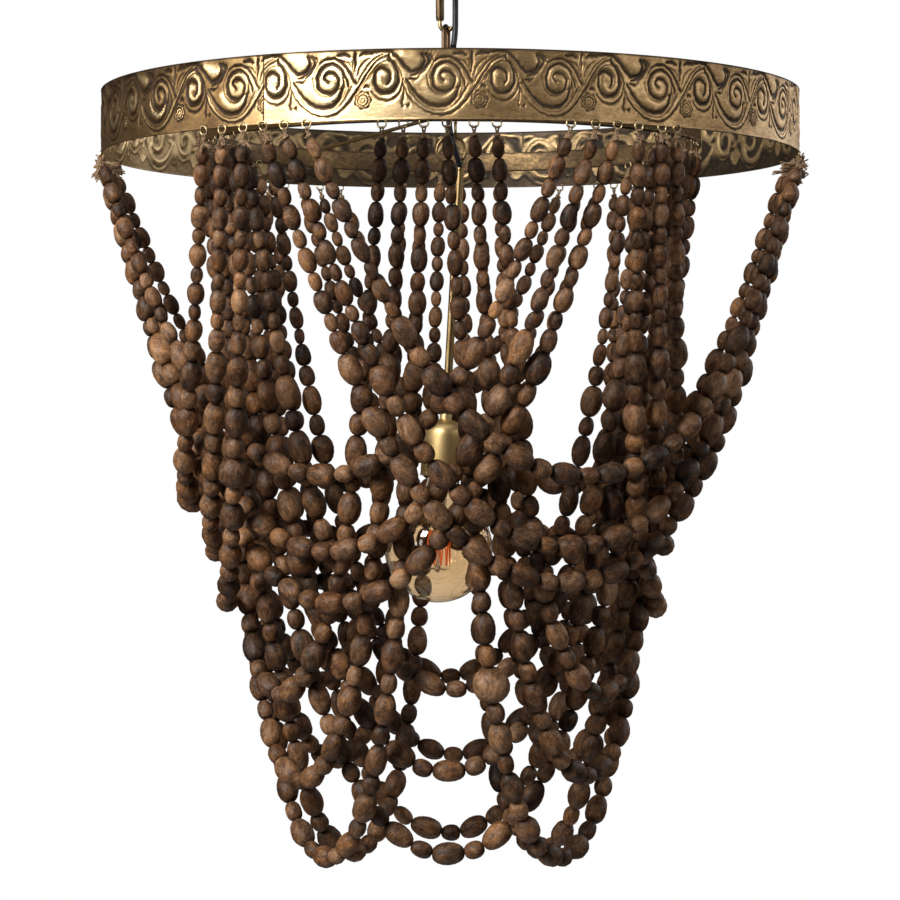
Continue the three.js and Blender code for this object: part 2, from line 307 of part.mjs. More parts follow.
  inner_p60_p180_1: [211.6, -56.8, -175.2, 184.5, -35.4, -377.4, 173.1, -26.4, -441.1, 157.4, -12.6, -512.4, 144.8, 6.5, -571.3, 133.9, 25.8, -610.4, 125, 42.7, -630.6, 118.2, 55.7, -639.3, 105.3, 80.2, -641.9, 97.5, 94.9, -635.1, 87.6, 113.2, -616.4, 82.6, 122.7, -601.8, 73.1, 141.8, -559.3, 67.4, 156.5, -517.1, 60.8, 174.1, -446.6, 56.3, 186, -383, 45.7, 214.3, -175.2],
  inner_p60_p180_2: [205.6, -75.6, -175.2, 175.8, -49.3, -419.8, 153.2, -29.6, -540.4, 143, -13.8, -602, 134.9, 0, -644, 124.4, 19.5, -682.9, 115.5, 36.6, -703.2, 107.5, 51.7, -712.3, 94.7, 75.4, -712.6, 86.6, 90.2, -704.3, 77.1, 107.7, -684.9, 72.2, 116.9, -669.9, 62.9, 135, -628.6, 52.3, 158.6, -556.6, 40.3, 186.4, -420.1, 27, 217.4, -175.2],
  inner_p60_p180_3: [198.8, -92.1, -175.2, 180, -76.2, -358.4, 164.9, -63, -480.9, 148.8, -48.7, -568.9, 130, -29.1, -661.2, 116.4, -9.8, -722.6, 103.9, 10.2, -762.6, 94.4, 26.4, -781.8, 86.8, 39.5, -790, 72.1, 64.3, -791.2, 63.6, 78.6, -783.3, 52.8, 96.8, -762.2, 47.9, 105.2, -747.7, 39.2, 124.7, -704.4, 30.2, 152.6, -616.2, 23.8, 172.8, -525.7, 19, 188.4, -432.5, 9.6, 218.9, -175.2],
  inner_p180_m60_1: [-46.2, 214.1, -175.2, -56.8, 184.2, -376.2, -62.1, 169.3, -448, -68, 152.9, -506.8, -78.1, 126.8, -573, -89.6, 107.2, -611.7, -96.1, 97.3, -624.7, -109.9, 76.9, -639.8, -119.9, 62, -641.8, -134.4, 40.1, -631, -142, 28.6, -618.4, -150.6, 15.5, -596.9, -161.9, -0.9, -555.3, -171.4, -12.9, -512.3, -182.3, -24.9, -451.4, -192.2, -35.6, -379.2, -211.5, -57.1, -175.2],
  inner_p180_m60_2: [-27.7, 217.3, -175.2, -38.4, 182.1, -428.2, -48.2, 151.4, -562.9, -57, 131.6, -625.2, -67.1, 115, -666.7, -75.8, 101.5, -688.8, -82.8, 90.7, -700.6, -97.3, 69.1, -712.8, -107.5, 53.6, -712.4, -121, 32.9, -700.2, -128, 21.9, -688, -141.6, 0.8, -649.6, -158.1, -20.5, -579.6, -170.1, -33.6, -518.9, -182.8, -47.9, -427, -206.3, -73.6, -175.2],
  inner_p180_m60_3: [-9.7, 218.9, -175.2, -19.8, 182.4, -443.3, -26.1, 161.9, -553.2, -32.1, 145.2, -625.6, -39.6, 125.7, -687.5, -54.2, 97.4, -752.9, -59.7, 88.7, -767.4, -70.3, 71.4, -786.1, -78.9, 57.5, -793, -93, 35, -792.4, -101.3, 21.9, -785.5, -112.1, 4.6, -766.5, -125.1, -15.4, -727.1, -139.8, -33.9, -667.2, -155.8, -51.3, -580.3, -172.3, -66.6, -464.4, -199.2, -91.3, -175.2],
};
// Middle lines of the flex's lengths.
const FLEX = {
  top: [[4.5, -5, -0.5], [4.5, -5, -20], [4.5, -5, -45], [4.4, -5.1, -60.8]],
  link: [[4.4, -5.15, -62.9], [3.9, -5.6, -70], [2.6, -6.8, -80], [1.5, -8.2, -93.2]],
  frame: [[1.3, -8.6, -96.8], [0.4, -10, -108], [-0.7, -11.4, -122], [-1.4, -12.1, -136], [-0.9, -12.3, -148], [0.2, -11.9, -155.8]],
  lamp: [[1.0, -11.5, -159.4], [2.3, -10.4, -164], [4.6, -8.5, -171], [6.9, -6.3, -178], [8.1, -4.7, -182.6], [8.7, -4.05, -185.2]],
};

const spread = (table) => Object.values(table).flat();
add(group, "outer_band", hoop(BAND, spread(OUTER_EYES)), finishes.goldBand);
add(group, "inner_ring", hoop(RING, spread(INNER_EYES)), finishes.gold);

// ---- strands of beads, each with the route that its own weight gives it
for (const [name, flat] of Object.entries(STRANDS)) {
  const pts = [];
  for (let i = 0; i < flat.length; i += 3) pts.push([flat[i], flat[i + 1], flat[i + 2]]);
  add(group, `strand_${name}`, bar(pts, STRAND_R, 8), finishes.wood);
}

// ---- split ring
add(group, "split_ring", moved(torus(SPLIT.r, SPLIT.wire, 6, 20), SPLIT.x, 0, SPLIT.z, Math.PI / 2), finishes.brass);

// ---- lamp, in its own group that hangs from the split ring and leans
const lamp = new THREE.Group();
lamp.position.set(...PIVOT);
lamp.rotation.y = (LEAN * Math.PI) / 180;
group.add(lamp);
const down = (profile, sides) => moved(turned(profile.map(([r, s]) => [r, -s]), sides), 0, AXIS_Y, 0);
{
  const { r, bore, top, end } = TUBE;
  let stem = solid(down([
    [bore, top], [r, top], [r, end - 3], [6.4, end - 3], [6.4, end], [bore, end],
  ], 16));
  // the lug that the ring runs through, and its neck up the back of the tube
  const tilt = -(Math.atan2(PIVOT[0] - SPLIT.x, SPLIT.z - PIVOT[2]) + (LEAN * Math.PI) / 180);
  const across = (r, h) => moved(moved(new THREE.CylinderGeometry(r, r, h, 10), 0, 0, 0, 0, 0, Math.PI / 2), 0, 0, 0, 0, tilt);
  let lug = solid(across(3, 2));
  lug = lug.add(solid(moved(new THREE.BoxGeometry(2.2, 1.9, 10), 0, 0.2, -6.9)));
  lug = lug.subtract(solid(across(1.85, 6)));
  lug = lug.subtract(solid(moved(rod(bore, -top + 1, -top - 12, 16), 0, AXIS_Y, 0)));
  add(lamp, "stem_tube", geometryOf(stem.add(lug)), finishes.brass);
}
add(lamp, "holder_cup", down([
  [4.0, 222.5], [5.4, 222.5], [5.4, 227], [9, 228.4], [15, 231.2], [18.6, 235.4], [19.6, 241], [19.6, 275.4], [20.1, 276.2], [19.6, 277],
  [18.6, 277], [18.6, 241.6], [17.7, 236.6], [14.4, 232.4], [8.8, 229.8], [4.0, 229.0],
], 18), finishes.brass);
add(lamp, "holder_insert", down([
  [3.2, 246.5], [17.4, 246.5], [18.25, 248], [18.25, 273], [14, 273], [14, 251.5], [3.2, 251.5],
], 18), finishes.insulator);
add(lamp, "bulb_cap", down([
  [0, 252.4], [4.5, 252.4], [4.5, 254.4], [13.2, 258], [13.2, 276.4], [12.3, 276.4], [12.3, 259.5], [0, 259.5],
], 16), finishes.steel);
{
  const { centre, r, wall } = BULB;
  const neck = [[13.0, 276.7], [13.5, 282], [14.8, 288], [17.8, 293.6], [22.2, 297.9]];
  const globe = [];
  for (let i = 0; i <= 8; i++) {
    const a = (34.6 + (i / 8) * 145.4) * (Math.PI / 180);
    globe.push([Math.max(r * Math.sin(a), 0), centre - r * Math.cos(a)]);
  }
  globe[globe.length - 1][0] = 0;
  const k = (r - wall) / r;
  const inner = globe.map(([q, s]) => [q * k, centre + (s - centre) * k]).reverse();
  const neckIn = neck.map(([q, s]) => [q - wall * 1.02, s + (s > 290 ? wall * 0.5 : 0)]).reverse();
  neckIn[neckIn.length - 1][1] = neck[0][1];
  const g = down([...neck, ...globe, ...inner, ...neckIn], 18);
  add(lamp, "bulb_glass", g, finishes.glass);

  // the glass stem and, round it, the wire cage that glows
  let core = solid(down([
    [0, 279], [8, 279], [8, 281], [4, 289], [2.6, 312], [1.4, 361], [0, 361],
  ], 8));
  const N = 12, high = 322, low = 358;
  const cage = [];
  for (let i = 0; i <= 2 * N - 2; i++) {
    const a = (i / (2 * N)) * 2 * Math.PI, q = i % 2 ? 11.2 : 8.2;
    cage.push([q * Math.cos(a), AXIS_Y + q * Math.sin(a), -(i % 2 ? low : high)]);
  }
  core = core.add(solid(bar(cage, 0.6, 4)));
  const arm = (i, s) => solid(bar([[0, AXIS_Y, -s], cage[i]], 0.5, 4));
  for (const i of [0, 8, 16]) core = core.add(arm(i, 318));
  for (const i of [5, 13]) core = core.add(arm(i, 352));
  add(lamp, "bulb_filament", geometryOf(core), finishes.filament);
}

// ---- flex, in four lengths that meet at the swinging joints
const flexEnd = (s) => {
  const a = (LEAN * Math.PI) / 180;
  return [PIVOT[0] - s * Math.sin(a), AXIS_Y, PIVOT[2] - s * Math.cos(a)];
};
add(group, "flex_top", bar(FLEX.top, FLEX_R, 8), finishes.flex);
add(group, "flex_link", bar(FLEX.link, FLEX_R, 8), finishes.flex);
add(group, "flex_frame", bar(FLEX.frame, FLEX_R, 8), finishes.flex);
add(group, "flex_lamp", bar([...FLEX.lamp, flexEnd(8), flexEnd(30), flexEnd(90), flexEnd(150), flexEnd(210), flexEnd(244)], FLEX_R, 8), finishes.flex);

export default group;
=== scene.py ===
"""Looks of a beaded ceiling light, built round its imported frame. Metres in Blender; the tables below are in millimetres."""

import bpy
import math
import numpy as np
from mathutils import Euler, Matrix, Vector


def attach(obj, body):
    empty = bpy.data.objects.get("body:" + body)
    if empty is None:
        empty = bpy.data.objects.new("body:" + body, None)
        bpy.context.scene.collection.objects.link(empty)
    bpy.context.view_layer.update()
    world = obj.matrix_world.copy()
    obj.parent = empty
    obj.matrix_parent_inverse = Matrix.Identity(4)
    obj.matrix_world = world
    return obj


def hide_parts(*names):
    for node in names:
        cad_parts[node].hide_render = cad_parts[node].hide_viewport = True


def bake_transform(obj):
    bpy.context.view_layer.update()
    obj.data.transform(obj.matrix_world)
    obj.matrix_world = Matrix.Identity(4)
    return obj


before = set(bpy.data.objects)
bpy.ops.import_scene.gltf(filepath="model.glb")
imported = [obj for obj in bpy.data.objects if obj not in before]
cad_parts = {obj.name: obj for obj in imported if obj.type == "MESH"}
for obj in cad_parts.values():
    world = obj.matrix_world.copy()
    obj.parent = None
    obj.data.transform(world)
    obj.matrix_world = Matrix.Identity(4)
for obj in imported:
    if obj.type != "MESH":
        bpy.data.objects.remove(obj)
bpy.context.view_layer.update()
MM = 0.001
rng = np.random.default_rng(20240611)

# ------------------------------------------------------------------ camera
cam_data = bpy.data.cameras.new("camera")
cam = bpy.data.objects.new("camera", cam_data)
bpy.context.scene.collection.objects.link(cam)
cam.location = (0.0, -2.333, -0.403)
cam.rotation_euler = (math.radians(90), 0, 0)
cam_data.sensor_width = 36.0
cam_data.lens = 106.16
cam_data.shift_x = -0.0003
cam_data.shift_y = -0.0372
cam_data.clip_end = 50
bpy.context.scene.camera = cam


# ------------------------------------------------------------------ mesh helpers
def make_mesh(name, V, F, smooth=True, sharp=None, attrs=None, materials=(), face_mats=None):
    """A mesh object from points in millimetres and faces of any size."""
    V = np.asarray(V, float) * MM
    me = bpy.data.meshes.new(name)
    me.vertices.add(len(V))
    me.vertices.foreach_set("co", V.astype(np.float32).ravel())
    if isinstance(F, np.ndarray):
        flat = F.astype(np.int32).ravel()
        starts = np.arange(0, F.size, F.shape[1], dtype=np.int32)
    else:
        flat = np.fromiter((i for f in F for i in f), np.int32)
        starts = np.cumsum([0] + [len(f) for f in F[:-1]]).astype(np.int32)
    me.loops.add(len(flat))
    me.loops.foreach_set("vertex_index", flat)
    me.polygons.add(len(starts))
    me.polygons.foreach_set("loop_start", starts)
    me.polygons.foreach_set("use_smooth", np.full(len(starts), smooth, bool))
    if face_mats is not None:
        me.polygons.foreach_set("material_index", np.asarray(face_mats, np.int32))
    me.update(calc_edges=True)
    me.validate()
    for key, values in (attrs or {}).items():
        values = np.asarray(values, np.float32)
        kind = "FLOAT" if values.ndim == 1 else "FLOAT_VECTOR"
        a = me.attributes.new(key, kind, "POINT")
        a.data.foreach_set("value" if values.ndim == 1 else "vector", values.ravel())
    if sharp is not None:
        me.set_sharp_from_angle(angle=math.radians(sharp))
    for m in materials:
        me.materials.append(m)
    ob = bpy.data.objects.new(name, me)
    bpy.context.scene.collection.objects.link(ob)
    return ob


def joined(parts):
    """Several (V, F) pairs as one; faces become lists."""
    V, F, n = [], [], 0
    for v, f in parts:
        V.append(np.asarray(v, float))
        F.extend([[int(i) + n for i in q] for q in f])
        n += len(v)
    return np.vstack(V), F


def smooth_line(P, step):
    """Catmull-Rom through P, at about the given spacing in mm."""
    P = np.asarray(P, float)
    out = []
    Q = np.vstack([2 * P[0] - P[1], P, 2 * P[-1] - P[-2]])
    for i in range(1, len(Q) - 2):
        a, b, c, d = Q[i - 1], Q[i], Q[i + 1], Q[i + 2]
        n = max(1, int(round(np.linalg.norm(c - b) / step)))
        for k in range(n):
            t = k / n
            out.append(0.5 * ((2 * b) + (c - a) * t + (2 * a - 5 * b + 4 * c - d) * t * t + (3 * b - a - 3 * c + d) * t ** 3))
    out.append(P[-1])
    return np.array(out)


def frames(P, closed=False):
    """Tangents and two normals along a line, without twist."""
    n = len(P)
    if closed:
        T = np.roll(P, -1, 0) - np.roll(P, 1, 0)
    else:
        T = np.vstack([P[1] - P[0], P[2:] - P[:-2], P[-1] - P[-2]]) if n > 2 else np.vstack([P[1] - P[0]] * 2)
    T = T / np.maximum(np.linalg.norm(T, axis=1, keepdims=True), 1e-12)
    u = np.cross(T[0], [0, 0, 1.0])
    if np.linalg.norm(u) < 0.1:
        u = np.cross(T[0], [0, 1.0, 0])
    u /= np.linalg.norm(u)
    U = [u]
    for i in range(1, n):
        u = u - T[i] * (u @ T[i])
        u /= np.linalg.norm(u)
        U.append(u)
    U = np.array(U)
    W = np.cross(T, U)
    if closed:  # spread the mismatch
        u = U[-1] - T[0] * (U[-1] @ T[0])
        ang = math.atan2(u @ W[0], u @ U[0])
        a = -ang * np.arange(n)[:, None] / n
        U, W = U * np.cos(a) + W * np.sin(a), W * np.cos(a) - U * np.sin(a)
    return T, U, W


def tube(P, r, sides=12, closed=False, round_ends=True):
    """A round bar along points; r is one number or one for each point."""
    P = np.asarray(P, float)
    n = len(P)
    R = np.full(n, float(r)) if np.isscalar(r) else np.asarray(r, float)
    T, U, W = frames(P, closed)
    if not closed and round_ends:
        for end, s in ((0, -1), (-1, 1)):
            e, q = P[end], R[end]
            extra = [(e + s * T[end] * q * math.sin(a), q * math.cos(a)) for a in (0.55, 1.05)]
            if s < 0:
                extra = extra[::-1]
                P = np.vstack([[x[0] for x in extra], P])
                R = np.concatenate([[x[1] for x in extra], R])
                T, U, W = (np.vstack([A[:1]] * 2 + [A]) for A in (T, U, W))
            else:
                P = np.vstack([P, [x[0] for x in extra]])
                R = np.concatenate([R, [x[1] for x in extra]])
                T, U, W = (np.vstack([A] + [A[-1:]] * 2) for A in (T, U, W))
        n = len(P)
    a = np.arange(sides) / sides * 2 * math.pi
    ring = np.cos(a)[None, :, None] * U[:, None, :] + np.sin(a)[None, :, None] * W[:, None, :]
    V = (P[:, None, :] + ring * R[:, None, None]).reshape(-1, 3)
    F = []
    for i in range(n if closed else n - 1):
        j = (i + 1) % n
        for k in range(sides):
            m = (k + 1) % sides
            F.append([i * sides + k, i * sides + m, j * sides + m, j * sides + k])
    if not closed:
        F.append([k for k in range(sides)][::-1])
        F.append([(n - 1) * sides + k for k in range(sides)])
    return V, F


def soften(profile, r=0.5, closed=True):
    """Rounds the corners of a turned profile."""
    P = [np.array(p, float) for p in profile]
    # two points in one place would give a corner without sides
    P = [p for i, p in enumerate(P) if (i == 0 and not closed) or np.linalg.norm(p - P[i - 1]) > 1e-6]
    n, out = len(P), []
    for i, p in enumerate(P):
        if not closed and i in (0, n - 1) or p[0] < 1e-6:
            out.append(p)
            continue
        a, b = P[i - 1] - p, P[(i + 1) % n] - p
        la, lb = np.linalg.norm(a), np.linalg.norm(b)
        cosang = (a @ b) / max(la * lb, 1e-9)
        if cosang < -0.94:
            out.append(p)
            continue
        q = min(r, 0.4 * la, 0.4 * lb)
        s, e = p + a / la * q, p + b / lb * q
        for t in (0, 0.33, 0.67, 1):
            out.append((1 - t) ** 2 * s + 2 * t * (1 - t) * p + t * t * e)
    return out


def lathe(profile, sides=48, soft=0.4, closed=True, axis=(0, 0)):
    """A turned shape about Z. closed joins the last profile point to the first."""
    P = soften(profile, soft, closed) if soft else [np.array(p, float) for p in profile]
    a = np.arange(sides) / sides * 2 * math.pi
    V, rows = [], []
    for r, z in P:
        if r < 1e-6:
            rows.append([len(V)])
            V.append([axis[0], axis[1], z])
        else:
            rows.append(list(range(len(V), len(V) + sides)))
            V.extend([axis[0] + r * math.cos(t), axis[1] + r * math.sin(t), z] for t in a)
    F = []
    n = len(rows)
    for i in range(n if closed else n - 1):
        A, B = rows[i], rows[(i + 1) % n]
        if len(A) == 1 and len(B) == 1:
            continue
        for k in range(sides):
            m = (k + 1) % sides
            if len(A) == 1:
                F.append([A[0], B[m], B[k]])
            elif len(B) == 1:
                F.append([A[k], A[m], B[0]])
            else:
                F.append([A[k], A[m], B[m], B[k]])
    V = np.array(V)
    # faces outward: the signed volume is above zero
    vol = 0.0
    for f in F:
        for k in range(1, len(f) - 1):
            vol += np.dot(V[f[0]], np.cross(V[f[k]], V[f[k + 1]]))
    if vol < 0:
        F = [f[::-1] for f in F]
    return V, F


def ring_torus(R, r, around=40, sides=12):
    a = np.arange(around) / around * 2 * math.pi
    P = np.stack([R * np.cos(a), R * np.sin(a), np.zeros(around)], 1)
    return tube(P, r, sides, closed=True)


def place(part, loc=(0, 0, 0), rot=(0, 0, 0)):
    V, F = part
    M = Matrix.Translation(Vector(loc)) @ Euler(rot).to_matrix().to_4x4()
    M = np.array(M)
    return np.asarray(V) @ M[:3, :3].T + M[:3, 3], F


# ------------------------------------------------------------------ tables: where the eyes are (degrees from the front toward +X), and each strand's beads and route
OUTER_EYES = {
    "m30": [-39.86, -36.11, -32.15, -28.59, -25.03, -21.38],
    "p30": [17.76, 21.68, 25.27, 28.83, 32.96, 35.8],
    "p90": [80.96, 84.46, 88.28, 91.83, 95.5, 98.52],
    "m90": [-98.75, -95.22, -91.69, -88.08, -85.03, -81.1],
    "p150": [141.28, 144.34, 148.32, 151.78, 155.34, 159.28],
    "m150": [-159.06, -155.13, -151.5, -148.1, -144.65, -141],
}
INNER_EYES = {
    "p0": [-14.42, -9.81, -5.49, -0.69, 4.94, 9.78],
    "p60": [51.12, 55.9, 60.76, 65.14, 69.8, 74.96],
    "m60": [-74.86, -70.35, -65.37, -60.77, -55.91, -50.97],
    "p120": [106.96, 112.12, 116.53, 121.24, 126.32, 130.78],
    "m120": [-130.65, -125.96, -121.28, -116.85, -111.69, -107.09],
    "p180": [167.97, 172.94, 177.5, 182.53, 187.25, 192.16],
}
